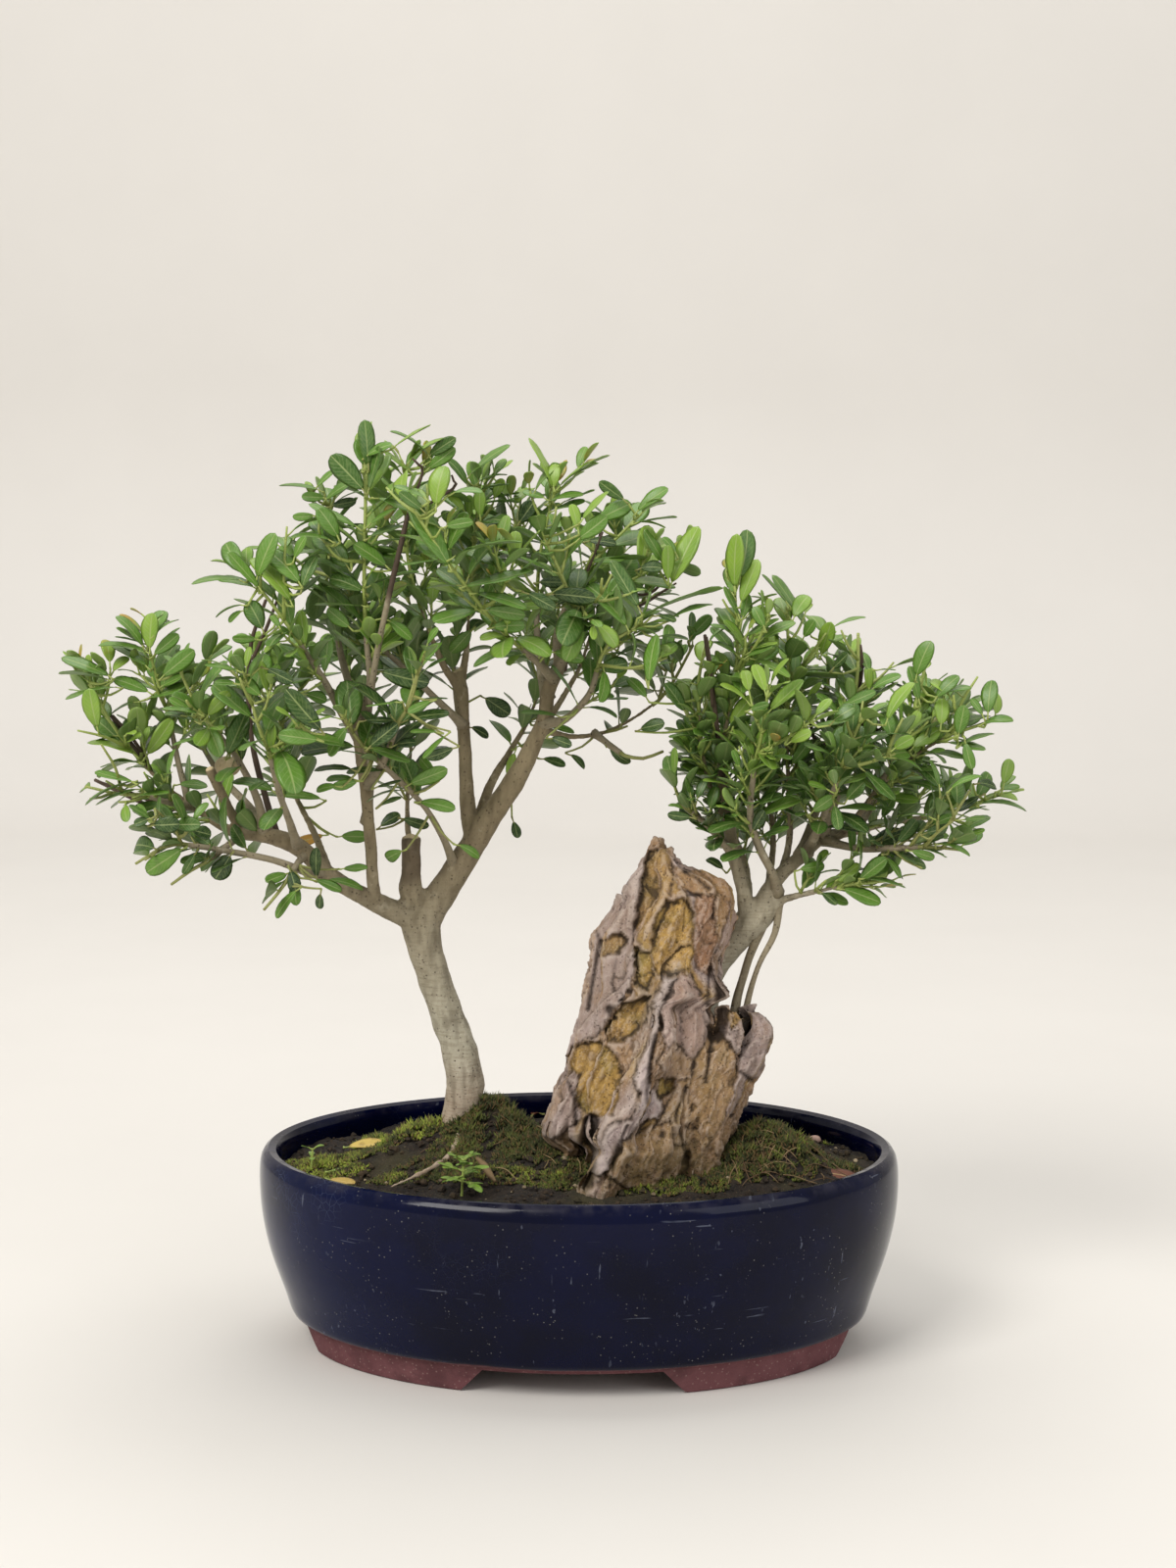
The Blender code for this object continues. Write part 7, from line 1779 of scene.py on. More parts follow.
def blade(foot, tip, width):
    """A thin closed pointed blade of moss or grass."""
    ahead = (tip - foot).normalized()
    side = ahead.orthogonal().normalized() * width / 2
    other = ahead.cross(side)
    verts = [foot + side, foot - side * 0.5 + other * 0.87, foot - side * 0.5 - other * 0.87, tip]
    return verts, [(2, 1, 0), (0, 1, 3), (1, 2, 3), (2, 0, 3)]


def build_soil(soil_material, moss_material, straw_material):
    shell = Shell("kind", "shade")
    mounds = moss_mounds()
    rings = []
    for z in (FLOOR_TOP + 0.3, 26.0, 46.0):
        inset = inner_inset(z) + 0.4
        rings.append(oval_ring(POT_HALF_LENGTH - inset, POT_HALF_DEPTH - inset, z, SOIL_COLUMNS))
    rim = POT_HALF_LENGTH - inner_inset(68.0) - 0.6
    depth = POT_HALF_DEPTH - inner_inset(68.0) - 0.6
    for ring in range(SOIL_RINGS, 0, -1):
        share = (ring / SOIL_RINGS) ** RIM_CROWDING
        flat = oval_ring(rim * share, depth * share, 0.0, SOIL_COLUMNS)
        points = []
        for p in flat:
            rough = sum(height * noise.noise(Vector((p.x, p.y, seed)) * scale)
                        for height, scale, seed in SOIL_NOISE)
            points.append(Vector((p.x, p.y, ground_height(p.x, p.y, mounds) + rough - SOIL_SINK)))
        rings.append(points)
    verts, faces = loft(rings)
    shell.add(verts, faces, 0, kind=0.0, shade=0.5)
    rng = random.Random(21)
    least, more, rare = CRUMB_SIZES
    for _ in range(CRUMBS):
        turn, reach = rng.uniform(0, math.tau), math.sqrt(rng.random()) * 0.985
        x, y = rim * reach * math.cos(turn), depth * reach * math.sin(turn)
        radius = least + more * rng.random() ** rare
        centre = Vector((x, y, ground_height(x, y, mounds) + radius * 0.25))
        verts, faces = lump(centre, radius, rng)
        shell.add(verts, faces, 0, kind=1.0, shade=rng.random())
    place_piece(shell.piece("soil_fine", [soil_material], 50.0), "soil", "soil")

    moss = Shell("bright", "along", "dry")
    areas = [patch[2] * patch[3] for patch in MOSS_PATCHES]
    for patch, area in zip(MOSS_PATCHES, areas):
        u, v, half_x, half_y, height, bright = patch
        centre = on_soil(u, v)
        for _ in range(int(MOSS_BLADES * area / sum(areas))):
            turn, reach = rng.uniform(0, math.tau), math.sqrt(rng.random())
            x = centre.x + half_x * reach * math.cos(turn)
            y = centre.y + half_y * reach * math.sin(turn)
            if math.hypot(x / (rim - 1.0), y / (depth - 1.0)) > 0.98:
                continue
            near, near_scale = MOSS_CLUMP_NEAR
            far, far_scale = MOSS_CLUMP_FAR
            clump = (MOSS_CLUMP + near * noise.noise(Vector((x, y, 30.0)) * near_scale)
                     + far * noise.noise(Vector((x, y, 50.0)) * far_scale))
            if clump < MOSS_BARE - 0.25 * bright:
                continue
            rise = height * (1.0 - MOSS_THINNING * reach ** 2) * clump
            foot = Vector((x, y, ground_height(x, y, mounds) - 0.4 + rise * 0.35))
            lean = Vector((rng.uniform(-1, 1), rng.uniform(-1, 1), MOSS_LEAN)).normalized()
            tip = foot + lean * (0.8 + rise * rng.uniform(0.45, 0.9))
            verts, faces = blade(foot, tip, rng.uniform(*MOSS_WIDTHS))
            patchy = 0.9 + 1.5 * noise.noise(Vector((x, y, 70.0)) * 0.24)
            shade = min(1.0, max(0.0, bright * patchy * rng.uniform(*MOSS_SHADES)))
            moss.add(verts, faces, 0, bright=shade,
                     along=[0.0, 0.0, 0.0, 1.0], dry=float(rng.random() < MOSS_DRY_SHARE))
    place_piece(moss.piece("moss", [moss_material]), "soil")

    straw = Shell("shade")
    middle = on_soil(*STRAW_PLACE[:2])
    for number in range(STRAWS):
        near = number < STRAWS_ON_MOUND
        spread = 1.0 if near else STRAW_FAR_SPREAD
        shift = 0.0 if near else STRAW_FAR_SHIFT
        x = middle.x + rng.gauss(0, STRAW_PLACE[2] * 0.5) * spread - shift
        y = middle.y + rng.gauss(0, STRAW_PLACE[3] * 0.5)
        turn, length = rng.uniform(0, math.pi), rng.uniform(*STRAW_LENGTHS)
        points = []
        for k in range(4):
            px = x + math.cos(turn) * length * (k / 3 - 0.5) + rng.uniform(-0.5, 0.5)
            py = y + math.sin(turn) * length * (k / 3 - 0.5) + rng.uniform(-0.5, 0.5)
            lift = 0.9 + 1.2 * math.sin(k)
            points.append((px, py, ground_height(px, py, mounds) + lift, STRAW_RADIUS))
        if all(math.hypot(p[0] / rim, p[1] / depth) < 0.95 for p in points):
            straw.add(*tube(points, 5, 2.0), 0, shade=rng.random())
    ends = [on_soil(*pixel) for pixel in BARK_BIT_ENDS]
    chip = []
    for share, radius in BARK_BIT:
        place = ends[0].lerp(ends[1], share)
        chip.append((place.x, place.y, ground_height(place.x, place.y, mounds) + 1.2, radius))
    straw.add(*tube(chip, 9, 1.0, 0.5), 0, shade=0.45)
    place_piece(straw.piece("straws", [straw_material]), "soil")


def ground_leaf(place, turn, length, width, tone, lift, rng):
    """A leaf lying at a place, turned by degrees and tilted with the ground."""
    ahead = Matrix.Rotation(math.radians(turn), 3, UP) @ Vector((1.0, 0.0, 0.05))
    ahead.normalize()
    base = place - ahead * length / 2 + UP * lift
    return Leaf(base - ahead * 2.0, base, ahead, UP + Vector((rng.uniform(-0.2, 0.2), -0.25, 0.0)),
                length, width, tone, rng)


def build_ground_leaves(dry_material, stalk_material, leaf_materials, pebble_material):
    rng = random.Random(8)
    for name, (turn, length, width, tone) in FALLEN_LEAVES.items():
        low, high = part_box(name)
        low, high = low / MM - SHIFT, high / MM - SHIFT
        place = Vector(((low.x + high.x) / 2, (low.y + high.y) / 2, low.z + FALLEN_LIFT))
        shell = Shell("across", "along", "tone", "under")
        ground_leaf(place, turn, length * 0.9, width, tone, 0.6, rng).add_to(shell)
        piece = shell.piece(name + "_fine", [dry_material, stalk_material])
        place_piece(piece, "dry_leaf" if "brown" in name else "fallen_leaf", name)
    for name, (x, y, height, length, pairs) in SEEDLINGS.items():
        ground = soil_height(x, y)
        shell = Shell("across", "along", "tone", "under")
        foot, top = Vector((x, y, ground - 3.0)), Vector((x + 1.0, y - 0.5, ground + height))
        shell.add(*tube([(*foot, 0.6), (*foot.lerp(top, 0.6), 0.5), (*top, 0.4)], 6, 2.0), 1,
                  tone=0.8)
        for pair in range(pairs + 1):
            place = top.lerp(foot, 0.62 * pair / (pairs + 1))
            for half in (0, 1):
                turn = math.radians(25.0 + 75.0 * pair + 180.0 * half)
                ahead = Vector((math.cos(turn), math.sin(turn), 0.55 - 0.15 * pair)).normalized()
                long = length * (0.7 + 0.15 * min(pair, 2))
                Leaf(place, place + ahead * 1.0, ahead, UP.copy(), long, long * 0.5, 0.95,
                     rng).add_to(shell)
                if pairs > 2:
                    for side in (-1.0, 1.0):
                        way = (Matrix.Rotation(side * 0.8, 3, UP) @ ahead).normalized()
                        start = place + ahead * long * 0.4
                        Leaf(start, start + way * 0.5, way, UP.copy(), long * 0.5, long * 0.26,
                             0.95, rng).add_to(shell)
        place_piece(shell.piece(name + "_fine", leaf_materials), "leaf_young", name)
    extras = Shell("across", "along", "tone", "under")
    middle = on_soil(*RED_LEAVES_PIXEL)
    for turn, length in RED_LEAVES:
        ground_leaf(middle + UP * 2.0, turn, length, length * 0.45, 0.0, 0.5, rng).add_to(extras)
    place_piece(extras.piece("reddish_leaves", [dry_material, stalk_material]), "dry_leaf")
    green = Shell("across", "along", "tone", "under")
    sliver = on_soil(*BLADE_PIXEL)
    ground_leaf(sliver + UP * 1.0, 30.0, 13.0, 3.2, 1.0, 0.6, rng).add_to(green)
    place_piece(green.piece("pale_sliver", leaf_materials), "leaf_young")
    pebble = Shell("shade")
    place = on_soil(*PEBBLE_PIXEL)
    rings = []
    wide, deep, tall = PEBBLE_RADII
    for row in range(1, PEBBLE_ROWS):
        lean = math.pi * row / PEBBLE_ROWS
        flat = oval_ring(wide * math.sin(lean), deep * math.sin(lean),
                         PEBBLE_RISE - tall * math.cos(lean), PEBBLE_COLUMNS)
        rings.append([place + p for p in flat])
    rings = [[p + (p - place) * 0.14 * noise.noise(p * 0.6) for p in ring] for ring in rings]
    pebble.add(*loft(rings), 0, shade=1.0)
    place_piece(pebble.piece("pebble", [pebble_material]), "rock")


def build_pocket_soil(soil_material):
    """Soil in the rock's pocket, with crumbs on its top."""
    rng = random.Random(3)
    shell = Shell("kind", "shade")
    radii = [radius - 0.4 for radius in POCKET_RADII]
    x, y, z = POCKET_CENTRE
    rings = []
    for row in range(1, POCKET_ROWS + 1):
        height = -radii[2] + (POCKET_FILL - z + radii[2]) * row / POCKET_ROWS
        wide = math.sqrt(max(0.02, 1.0 - (height / radii[2]) ** 2))
        flat = oval_ring(radii[0] * wide, radii[1] * wide, z + height, POCKET_COLUMNS)
        rings.append([p + Vector((x, y, 0.0)) for p in flat])
    verts, faces = loft(rings)
    shell.add(verts, faces, 0, kind=0.0, shade=0.4)
    for _ in range(POCKET_CRUMBS):
        turn, reach = rng.uniform(0, math.tau), math.sqrt(rng.random()) * 0.8
        radius = rng.uniform(0.5, 1.4)
        place = Vector((x + radii[0] * reach * math.cos(turn), y + radii[1] * reach * math.sin(turn),
                        POCKET_FILL + 0.1))
        verts, faces = lump(place, radius, rng)
        shell.add(verts, faces, 0, kind=1.0, shade=rng.random())
    place_piece(shell.piece("pocket_soil_fine", [soil_material], 50.0), "soil", "pocket_soil")


# Looks


class Recipe:
    """Builds the nodes of one material."""

    def __init__(self, name, roughness, **fixed):
        self.material = bpy.data.materials.new(name)
        self.material.use_nodes = True
        self.tree = self.material.node_tree
        self.shader = self.tree.nodes["Principled BSDF"]
        self.shader.inputs["Roughness"].default_value = roughness
        for key, value in fixed.items():
            self.shader.inputs[key.replace("_", " ")].default_value = value

    def node(self, kind, **settings):
        made = self.tree.nodes.new("ShaderNode" + kind)
        for key, value in settings.items():
            setattr(made, key, value)
        return made

    def link(self, source, target):
        self.tree.links.new(source, target)

    def feed(self, socket, value):
        if isinstance(value, bpy.types.NodeSocket):
            self.link(value, socket)
        else:
            socket.default_value = value

    def value(self, name):
        """A value kept at the mesh's points."""
        return self.node("Attribute", attribute_name=name).outputs["Fac"]

    def place(self):
        return self.node("TexCoord").outputs["Object"]

    def noise(self, scale, detail=4.0, roughness=0.55, stretch=None, offset=0.0):
        """Noise, with scale in cycles per metre."""
        mapping = self.node("Mapping")
        self.link(self.place(), mapping.inputs["Vector"])
        mapping.inputs["Location"].default_value = (offset, offset, offset)
        mapping.inputs["Scale"].default_value = stretch or (1.0, 1.0, 1.0)
        made = self.node("TexNoise")
        self.link(mapping.outputs["Vector"], made.inputs["Vector"])
        made.inputs["Scale"].default_value = scale
        made.inputs["Detail"].default_value = detail
        made.inputs["Roughness"].default_value = roughness
        return made.outputs["Fac"]

    def cells(self, scale, feature="DISTANCE_TO_EDGE", randomness=1.0):
        made = self.node("TexVoronoi", feature=feature)
        self.link(self.place(), made.inputs["Vector"])
        made.inputs["Scale"].default_value = scale
        made.inputs["Randomness"].default_value = randomness
        return made.outputs["Distance"]

    def math(self, operation, a, b=0.0):
        made = self.node("Math", operation=operation)
        self.feed(made.inputs[0], a)
        self.feed(made.inputs[1], b)
        return made.outputs[0]

    def times(self, a, b):
        return self.math("MULTIPLY", a, b)

    def plus(self, a, b):
        return self.math("ADD", a, b)

    def minus(self, a, b):
        return self.math("SUBTRACT", a, b)

    def step(self, value, low, high):
        """0 where the value is at low, 1 at high; low may be the larger."""
        made = self.node("MapRange", interpolation_type="SMOOTHSTEP")
        self.feed(made.inputs["Value"], value)
        small, large = min(low, high), max(low, high)
        made.inputs["From Min"].default_value = small
        made.inputs["From Max"].default_value = large
        made.inputs["To Min"].default_value = 0.0 if low < high else 1.0
        made.inputs["To Max"].default_value = 1.0 if low < high else 0.0
        return made.outputs["Result"]

    def blend(self, share, a, b):
        made = self.node("Mix", data_type="RGBA")
        self.feed(made.inputs["Factor"], share)
        self.feed(made.inputs[6], a)
        self.feed(made.inputs[7], b)
        return made.outputs[2]

    def over(self, body, tint, mask, strength):
        """The body colour with a tint laid over it where the mask is 1."""
        return self.blend(self.times(mask, strength), body, tint)

    def bump(self, height, distance, strength=1.0, after=None):
        made = self.node("Bump")
        made.inputs["Strength"].default_value = strength
        made.inputs["Distance"].default_value = distance * MM
        self.link(height, made.inputs["Height"])
        if after is not None:
            self.link(after, made.inputs["Normal"])
        return made.outputs["Normal"]

    def finish(self, colour, normal=None, roughness=None, through=None):
        """Join colour, normal and roughness to the shader; through lets light pass."""
        self.feed(self.shader.inputs["Base Color"], colour)
        if normal is not None:
            self.link(normal, self.shader.inputs["Normal"])
        if roughness is not None:
            self.feed(self.shader.inputs["Roughness"], roughness)
        if through:
            thin = self.node("BsdfTranslucent")
            self.feed(thin.inputs["Color"], colour)
            mixed = self.node("MixShader")
            mixed.inputs["Fac"].default_value = through
            self.link(self.shader.outputs[0], mixed.inputs[1])
            self.link(thin.outputs[0], mixed.inputs[2])
            self.link(mixed.outputs[0], self.tree.nodes["Material Output"].inputs["Surface"])
        return self.material


def colour(red, green, blue):
    """A colour given as it looks on a screen, 0 to 255."""
    return tuple(((c / 255.0) ** 2.2) for c in (red, green, blue)) + (1.0,)


def leaf_material():
    r = Recipe("privet_leaf", 0.36, Coat_Weight=0.12, Coat_Roughness=0.28)
    cloud = r.times(r.minus(r.noise(60.0), 0.5), 0.5)
    tone = r.plus(r.value("tone"), cloud)
    dark = r.blend(r.step(tone, 0.0, 0.45), colour(28, 58, 24), colour(70, 108, 38))
    body = r.blend(r.step(tone, 0.4, 0.75), dark, colour(100, 144, 50))
    body = r.blend(r.step(tone, 0.75, 1.1), body, colour(148, 182, 66))
    body = r.blend(r.step(tone, 1.25, 1.4), body, colour(204, 150, 52))
    blotch = r.noise(700.0, 5.0, 0.6, offset=3.0)
    body = r.over(body, colour(136, 158, 92), r.step(blotch, 0.35, 0.75), 0.35)
    across = r.math("ABSOLUTE", r.value("across"))
    along = r.value("along")
    middle = r.step(across, 0.11, 0.03)
    fan = r.math("FRACT", r.minus(r.times(along, 9.0), r.times(across, 2.4)))
    side = r.step(r.math("ABSOLUTE", r.minus(fan, 0.5)), 0.12, 0.02)
    side = r.times(side, r.step(across, 0.98, 0.7))
    veins = r.math("MAXIMUM", middle, r.times(side, 0.4))
    body = r.over(body, colour(182, 196, 128), veins, 0.55)
    under = r.value("under")
    body = r.over(body, colour(150, 168, 118), under, 0.45)
    edge = r.times(r.step(across, 0.9, 1.0), 0.35)
    body = r.blend(edge, body, colour(150, 160, 96))
    spots = r.step(r.noise(1500.0, 2.0, offset=8.0), 0.70, 0.76)
    body = r.over(body, colour(104, 82, 48), spots, 0.5)
    normal = r.bump(veins, 0.12, 0.6)
    normal = r.bump(r.noise(2200.0, 2.0), 0.05, 0.5, normal)
    rough = r.plus(r.times(blotch, 0.22), 0.26)
    return r.finish(body, normal, rough, 0.24)


def stem_material():
    r = Recipe("green_shoot", 0.55)
    grainy = r.noise(420.0, 5.0)
    body = r.blend(grainy, colour(120, 112, 66), colour(142, 150, 84))
    body = r.blend(r.step(r.value("tone"), 0.2, 0.9), body, colour(150, 166, 84))
    specks = r.step(r.cells(900.0, "F1"), 0.32, 0.12)
    body = r.over(body, colour(84, 66, 44), specks, 0.5)
    return r.finish(body, r.bump(r.noise(1500.0, 3.0), 0.12, 0.6))


def dry_material():
    r = Recipe("dry_leaf", 0.6)
    tone = r.value("tone")
    blotch = r.noise(260.0, 5.0, 0.62)
    body = r.blend(r.step(tone, 0.2, 0.95), colour(112, 66, 48), colour(206, 178, 92))
    body = r.over(body, colour(92, 56, 36), r.step(blotch, 0.45, 0.75), 0.6)
    across = r.math("ABSOLUTE", r.value("across"))
    body = r.over(body, colour(216, 190, 130), r.step(across, 0.12, 0.03), 0.5)
    return r.finish(body, r.bump(r.noise(900.0, 4.0), 0.25, 0.7), None, 0.12)


def bark_material():
    r = Recipe("privet_bark", 0.78)
    old = r.value("old")
    streak = r.noise(230.0, 6.0, 0.6, (1.0, 1.0, 0.25))
    mottle = r.noise(110.0, 6.0, 0.66, offset=4.0)
    fine = r.noise(1300.0, 4.0, 0.6, (1.0, 1.0, 0.5), 7.0)
    young = r.blend(streak, colour(104, 90, 66), colour(152, 138, 108))
    aged = r.blend(streak, colour(146, 140, 120), colour(202, 196, 176))
    bands = r.step(r.noise(520.0, 4.0, 0.6, (0.28, 0.28, 2.2), 3.0), 0.46, 0.66)
    aged = r.over(aged, colour(112, 102, 82), bands, 0.4)
    body = r.blend(old, young, aged)
    body = r.over(body, colour(112, 102, 74), r.step(mottle, 0.52, 0.74), 0.4)
    body = r.over(body, colour(206, 196, 172), r.step(mottle, 0.42, 0.28), 0.4)
    low = r.node("SeparateXYZ")
    r.link(r.place(), low.inputs[0])
    pink = r.times(r.step(low.outputs["Z"], 0.125, 0.084), 0.4)
    body = r.blend(pink, body, colour(150, 106, 84))
    pores = r.step(r.cells(620.0, "F1"), 0.30, 0.10)
    pores = r.times(pores, r.step(r.noise(300.0, offset=2.0), 0.42, 0.58))
    body = r.over(body, colour(62, 48, 36), pores, 0.75)
    # Painted shade in the bark's grooves
    body = r.over(body, colour(84, 72, 52), r.value("crease"), 0.45)
    body = r.over(body, colour(84, 74, 58), r.step(fine, 0.5, 0.8), 0.35)
    body = r.blend(r.value("dead"), body, r.blend(streak, colour(44, 34, 28), colour(96, 78, 62)))
    fresh = r.blend(r.noise(500.0), colour(186, 162, 122), colour(214, 196, 160))
    body = r.blend(r.value("sawn"), body, fresh)
    normal = r.bump(fine, 0.35, 0.7)
    normal = r.bump(streak, 0.6, 0.5, normal)
    normal = r.bump(pores, -0.4, 0.8, normal)
    return r.finish(body, normal)


def rock_material():
    r = Recipe("ridged_rock", 0.82)
    broad = r.noise(34.0, 5.0, 0.6)
    mottle = r.noise(150.0, 6.0, 0.65, offset=5.0)
    streak = r.noise(120.0, 6.0, 0.6, (1.0, 1.0, 0.22), 8.0)
    fine = r.noise(900.0, 5.0, 0.65, offset=2.0)
    body = r.blend(r.step(broad, 0.35, 0.65), colour(120, 92, 64), colour(164, 132, 98))
    body = r.over(body, colour(92, 70, 50), r.step(mottle, 0.46, 0.66), 0.7)
    mauve = r.blend(r.step(streak, 0.3, 0.7), colour(124, 108, 104), colour(182, 166, 164))
    mauve = r.over(mauve, colour(140, 108, 82), r.step(mottle, 0.5, 0.72), 0.5)
    body = r.blend(r.times(r.value("smooth"), 0.9), body, mauve)
    tawny = r.blend(r.step(mottle, 0.32, 0.62), colour(116, 88, 42), colour(180, 144, 78))
    olive = r.times(r.step(r.noise(60.0, 4.0, offset=12.0), 0.46, 0.66), 0.45)
    tawny = r.blend(olive, tawny, colour(118, 112, 54))
    tawny = r.over(tawny, colour(96, 76, 42), r.step(fine, 0.52, 0.7), 0.5)
    body = r.blend(r.times(r.value("ochre"), 0.95), body, tawny)
    body = r.over(body, colour(140, 88, 68), r.value("red"), 0.5)
    # Painted highlight on the fin's crest and on raised parts
    body = r.over(body, colour(200, 184, 172), r.value("pale"), 0.5)
    specks = r.step(r.cells(700.0, "F1"), 0.34, 0.12)
    specks = r.times(specks, r.step(r.noise(200.0, offset=9.0), 0.40, 0.60))
    body = r.over(body, colour(76, 60, 46), specks, 0.6)
    flecks = r.step(r.cells(1100.0, "F1"), 0.26, 0.1)
    body = r.over(body, colour(224, 210, 192), flecks, 0.35)
    # Painted shade in the creases, pits, opening, pocket, hollows and along the panels' borders
    body = r.over(body, colour(38, 27, 20), r.value("dark"), 0.9)
    height = r.node("SeparateXYZ")
    r.link(r.place(), height.inputs[0])
    # Darker olive-brown patches towards the rock's foot
    low_darkening = r.times(r.step(height.outputs["Z"], 0.098, 0.078), r.step(mottle, 0.3, 0.6))
    body = r.over(body, colour(92, 80, 48), low_darkening, 0.55)
    normal = r.bump(fine, 0.55, 0.85)
    normal = r.bump(streak, 0.8, 0.5, normal)
    normal = r.bump(specks, -0.5, 0.7, normal)
    return r.finish(body, normal)


# Three directions of scratches in the glaze as (stretch of the noise, offset)
SCRATCHES = [((0.35, 0.35, 6.0), 1.0), ((5.0, 5.0, 0.6), 2.0), ((3.0, 0.6, 2.0), 7.0)]


def pot_material():
    r = Recipe("dark_blue_glaze", 0.07, Specular_IOR_Level=0.17)
    height = r.node("SeparateXYZ")
    r.link(r.place(), height.inputs[0])
    x, z = height.outputs["X"], height.outputs["Z"]
    wavy = r.plus(z, r.times(r.minus(r.noise(30.0), 0.5), 0.003))
    glaze = r.step(wavy, 0.0122, 0.0134)
    cloud = r.noise(26.0, 5.0, 0.62)
    blue = r.blend(r.step(cloud, 0.35, 0.7), colour(4, 9, 30), colour(6, 13, 42))
    # Painted light: the left side of the pot is a lighter blue, in patches
    side = r.times(r.step(x, -0.01, -0.12), r.step(r.noise(16.0, offset=5.0), 0.3, 0.6))
    blue = r.over(blue, colour(11, 24, 62), side, 0.75)
    cracks = r.step(r.cells(300.0), 0.022, 0.002)
    cracks = r.times(cracks, r.step(r.noise(24.0, offset=3.0), 0.50, 0.64))
    cracks = r.times(cracks, r.step(x, 0.02, -0.11))
    cracks = r.times(cracks, r.step(z, 0.03, 0.06))
    blue = r.over(blue, colour(120, 134, 164), cracks, 0.2)
    dust = r.step(r.cells(460.0, "F1"), 0.17, 0.05)
    dust = r.times(dust, r.step(r.noise(46.0, offset=6.0), 0.46, 0.6))
    blue = r.over(blue, colour(150, 148, 140), dust, 0.42)
    for stretch, offset in SCRATCHES:
        scratch = r.step(r.noise(110.0, 2.0, 0.5, stretch, offset), 0.69, 0.72)
        scratch = r.times(scratch, r.step(r.noise(35.0, offset=offset), 0.5, 0.6))
        blue = r.over(blue, colour(118, 124, 140), scratch, 0.32)
    # Grey patches on the lip: painted reflection, and wear that also makes them rougher
    lip = r.step(z, 0.0752, 0.0792)
    lip_reflection_and_wear = r.times(lip, r.step(r.noise(120.0, 5.0, offset=2.0), 0.42, 0.66))
    blue = r.over(blue, colour(58, 56, 64), lip_reflection_and_wear, 0.4)
    clay = r.blend(r.noise(140.0, 5.0), colour(84, 50, 54), colour(118, 80, 82))
    stain = r.step(r.noise(60.0, 5.0, 0.62, offset=9.0), 0.45, 0.68)
    clay = r.over(clay, colour(62, 42, 44), stain, 0.5)
    pale = r.step(r.cells(520.0, "F1"), 0.26, 0.08)
    clay = r.over(clay, colour(168, 140, 132), pale, 0.35)
    body = r.blend(glaze, clay, blue)
    rough = r.plus(r.times(glaze, -0.7), 0.78)
    rough = r.plus(rough, r.times(r.plus(lip_reflection_and_wear, dust), 0.2))
    bare = r.minus(1.0, glaze)
    clay_bump = r.times(r.noise(700.0, 4.0), bare)
    normal = r.bump(clay_bump, 0.4, 0.7)
    normal = r.bump(r.noise(34.0, 3.0), 0.5, 0.35, normal)
    return r.finish(body, normal, rough)


def soil_material():
    r = Recipe("dark_soil", 0.92)
    mottle = r.noise(240.0, 6.0, 0.68)
    fine = r.noise(1600.0, 4.0, 0.6, offset=4.0)
    body = r.blend(r.step(mottle, 0.3, 0.7), colour(16, 12, 9), colour(44, 34, 25))
    body = r.blend(r.times(r.step(r.noise(30.0, offset=6.0), 0.45, 0.65), 0.5), body,
                   colour(66, 62, 34))
    crumb = r.value("kind")
    shade = r.value("shade")
    pale = r.times(crumb, r.step(shade, 0.95, 1.0))
    body = r.blend(r.times(crumb, r.times(shade, 0.55)), body, colour(78, 62, 44))
    body = r.blend(pale, body, colour(168, 150, 122))
    body = r.over(body, colour(124, 106, 80), r.step(fine, 0.55, 0.75), 0.5)
    normal = r.bump(fine, 0.6, 0.8)
    normal = r.bump(mottle, 1.0, 0.6, normal)
    return r.finish(body, normal)


def moss_material():
    r = Recipe("moss", 0.7)
    bright = r.value("bright")
    tip = r.value("along")
    body = r.blend(r.step(bright, 0.0, 0.9), colour(22, 27, 12), colour(132, 148, 46))
    tips = r.blend(bright, colour(84, 90, 40), colour(184, 192, 84))
    body = r.blend(r.times(tip, 0.55), body, tips)
    body = r.over(body, colour(42, 36, 20), r.step(r.noise(180.0), 0.5, 0.7), 0.5)
    body = r.over(body, colour(112, 86, 54), r.value("dry"), 0.8)
    return r.finish(body, r.bump(r.noise(900.0), 0.2, 0.6), None, 0.15)


def straw_material():
    r = Recipe("straw", 0.75)
    body = r.blend(r.value("shade"), colour(84, 62, 42), colour(150, 128, 90))
    body = r.over(body, colour(84, 64, 44), r.step(r.noise(500.0), 0.4, 0.7), 0.5)
    return r.finish(body, r.bump(r.noise(1200.0), 0.2, 0.6))


def pebble_material():
    r = Recipe("pinkish_pebble", 0.6)
    body = r.blend(r.noise(300.0, 5.0), colour(168, 128, 112), colour(206, 176, 160))
    body = r.blend(r.times(r.step(r.cells(900.0, "F1"), 0.3, 0.1), 0.5), body,
                   colour(120, 88, 76))
    return r.finish(body, r.bump(r.noise(700.0), 0.3, 0.6))


def mesh_material():
    r = Recipe("drain_plastic", 0.5)
    body = r.blend(r.noise(300.0, 4.0), colour(30, 30, 30), colour(52, 50, 48))
    return r.finish(body, r.bump(r.noise(900.0), 0.1, 0.5))


def floor_material():
    r = Recipe("pale_floor", 0.8)
    body = r.blend(r.noise(5.0, 3.0), colour(206, 202, 196), colour(212, 208, 202))
    return r.finish(body)


# Stage
FLOOR_HALF_WIDTH = 3000.0
FLOOR_FRONT = -2500.0
FLOOR_BACK = 1500.0
BACKDROP_RADIUS = 500.0
BACKDROP_STEPS = 16
BACKDROP_TOP = 3000.0
WORLD_COLOUR = (0.93, 0.92, 0.90, 1.0)
WORLD_STRENGTH = 0.66
CAMERA_REACH = 20.0       # in metres
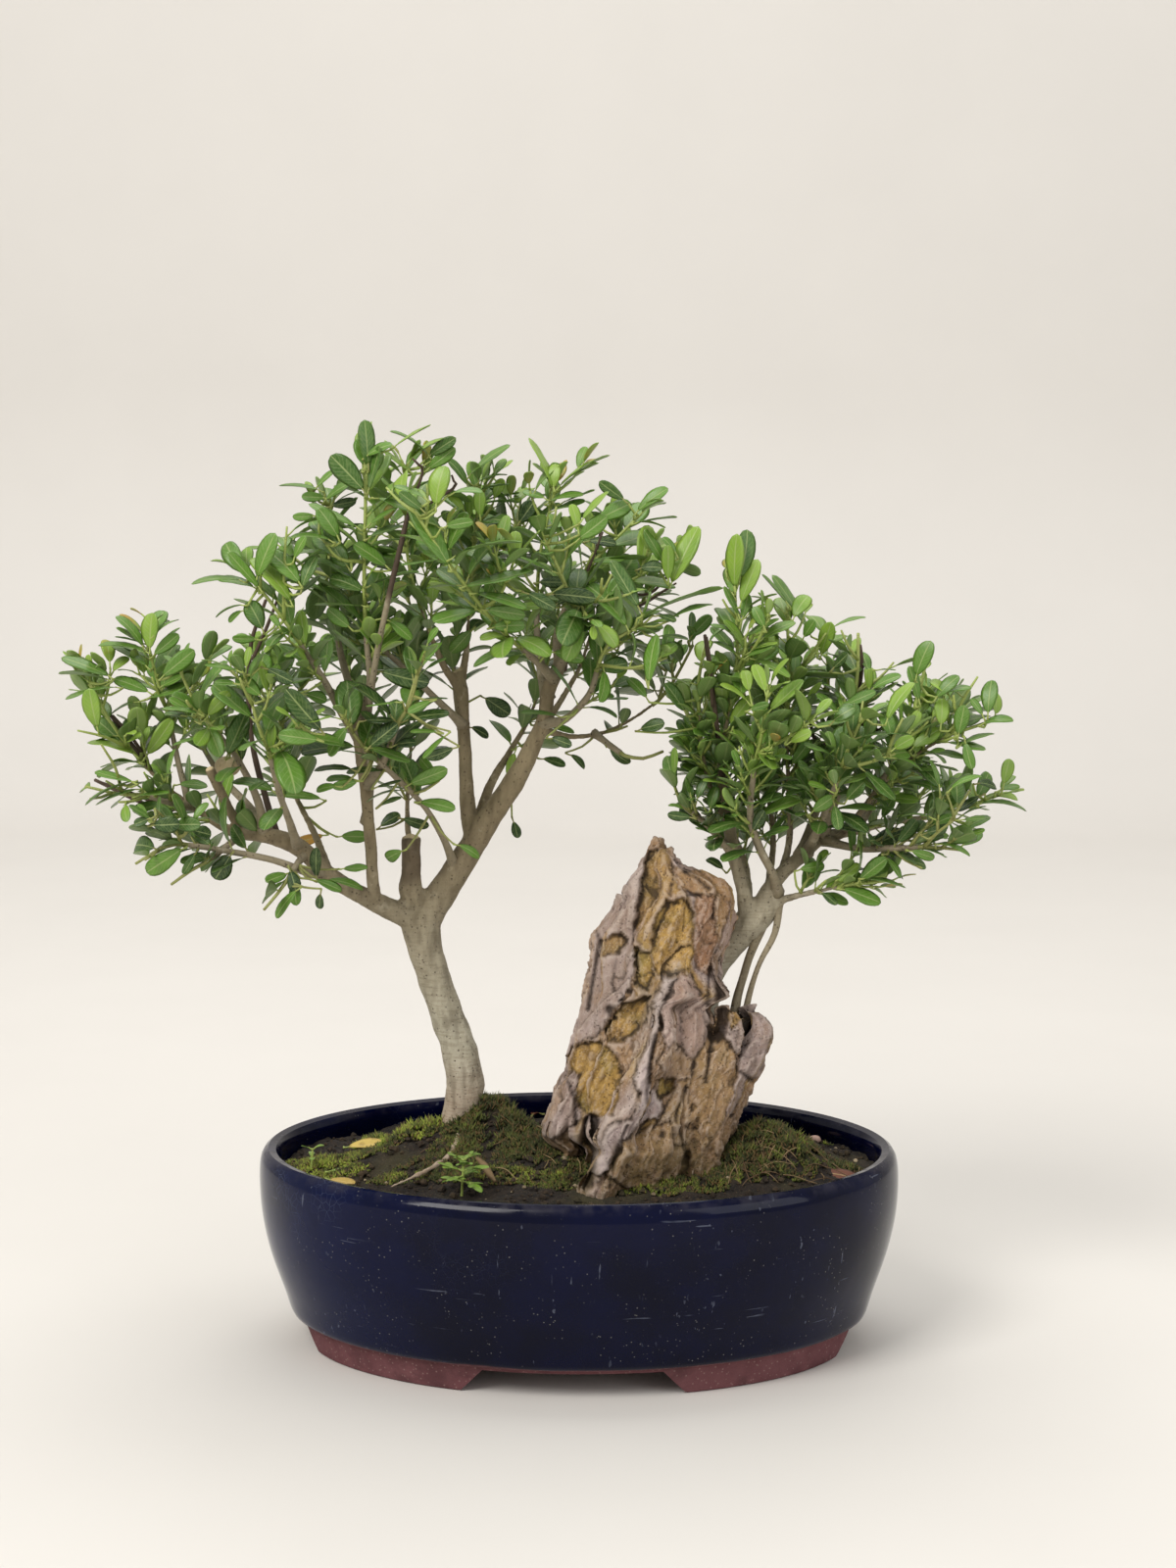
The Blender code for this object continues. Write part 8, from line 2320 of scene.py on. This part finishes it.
# Lamps as (name, place, height over the pot's middle that it looks at, size, power, tint)
LAMPS = [
    ("key", (-1400.0, -1800.0, 2200.0), 150.0, 1300.0, 66.0, (1.0, 0.98, 0.95)),
    ("fill", (1800.0, -1400.0, 1200.0), 150.0, 1600.0, 15.0, (0.95, 0.97, 1.0)),
    ("top", (0.0, 700.0, 2600.0), 200.0, 1700.0, 30.0, (1.0, 1.0, 1.0)),
]


def area_light(name, place, height, size, power, tint):
    """A soft square lamp that looks at a height over the pot's middle."""
    lamp = bpy.data.lights.new(name, "AREA")
    lamp.energy = power
    lamp.size = size * MM
    lamp.color = tint
    made = bpy.data.objects.new(name, lamp)
    bpy.context.scene.collection.objects.link(made)
    made.location = (Vector(place) + SHIFT) * MM
    aim = UP * height - Vector(place)
    made.rotation_euler = aim.to_track_quat("-Z", "Y").to_euler()


def build_stage():
    """A floor that curves up behind, the lamps, the world and the camera."""
    profile = [(FLOOR_FRONT, 0.0), (FLOOR_BACK, 0.0)]
    for i in range(1, BACKDROP_STEPS + 1):
        turn = math.pi / 2 * i / BACKDROP_STEPS
        profile.append((FLOOR_BACK + BACKDROP_RADIUS * math.sin(turn),
                        BACKDROP_RADIUS * (1.0 - math.cos(turn))))
    profile.append((FLOOR_BACK + BACKDROP_RADIUS, BACKDROP_TOP))
    verts = [Vector((x, y, z)) for y, z in profile for x in (-FLOOR_HALF_WIDTH, FLOOR_HALF_WIDTH)]
    faces = [(2 * i, 2 * i + 1, 2 * i + 3, 2 * i + 2) for i in range(len(profile) - 1)]
    mesh = bpy.data.meshes.new("floor")
    mesh.from_pydata([tuple((v + SHIFT) * MM) for v in verts], [], faces)
    mesh.materials.append(floor_material())
    mesh.shade_smooth()
    floor = bpy.data.objects.new("floor", mesh)
    bpy.context.scene.collection.objects.link(floor)

    for lamp in LAMPS:
        area_light(*lamp)
    world = bpy.data.worlds.new("studio")
    world.use_nodes = True
    background = world.node_tree.nodes["Background"]
    background.inputs["Color"].default_value = WORLD_COLOUR
    background.inputs["Strength"].default_value = WORLD_STRENGTH
    bpy.context.scene.world = world

    camera = bpy.data.cameras.new("camera")
    camera.sensor_fit = "VERTICAL"
    camera.sensor_height = SENSOR_HEIGHT
    camera.lens = FOCAL_PIXELS / PICTURE_HEIGHT * SENSOR_HEIGHT
    camera.clip_end = CAMERA_REACH
    holder = bpy.data.objects.new("camera", camera)
    bpy.context.scene.collection.objects.link(holder)
    turn = Matrix((LOOK_RIGHT, LOOK_UP, -LOOK)).transposed().to_4x4()
    holder.matrix_world = Matrix.Translation((CAMERA_PLACE + SHIFT) * MM) @ turn
    bpy.context.scene.camera = holder
    bpy.context.scene.view_settings.view_transform = "Standard"


def main():
    bark = bark_material()
    soil = soil_material()
    stems = stem_material()
    leaves = leaf_material()
    dry = dry_material()
    build_pot([pot_material()])
    build_rock([rock_material()])
    build_pocket_soil(soil)
    build_soil(soil, moss_material(), straw_material())
    build_ground_leaves(dry, stems, [leaves, stems], pebble_material())
    build_wood("left_tree_wood", LEFT_WOOD, LEFT_TWIGS, LEFT_BURLS, [bark])
    build_wood("right_tree_wood", RIGHT_WOOD, RIGHT_TWIGS, [], [bark])
    build_sprays([leaves, stems])
    plastic = mesh_material()
    for side in ("left", "right"):
        grid = frame["nodes"]["drain_mesh_" + side]
        for slot in grid.material_slots:
            slot.material = plastic
    build_stage()


main()
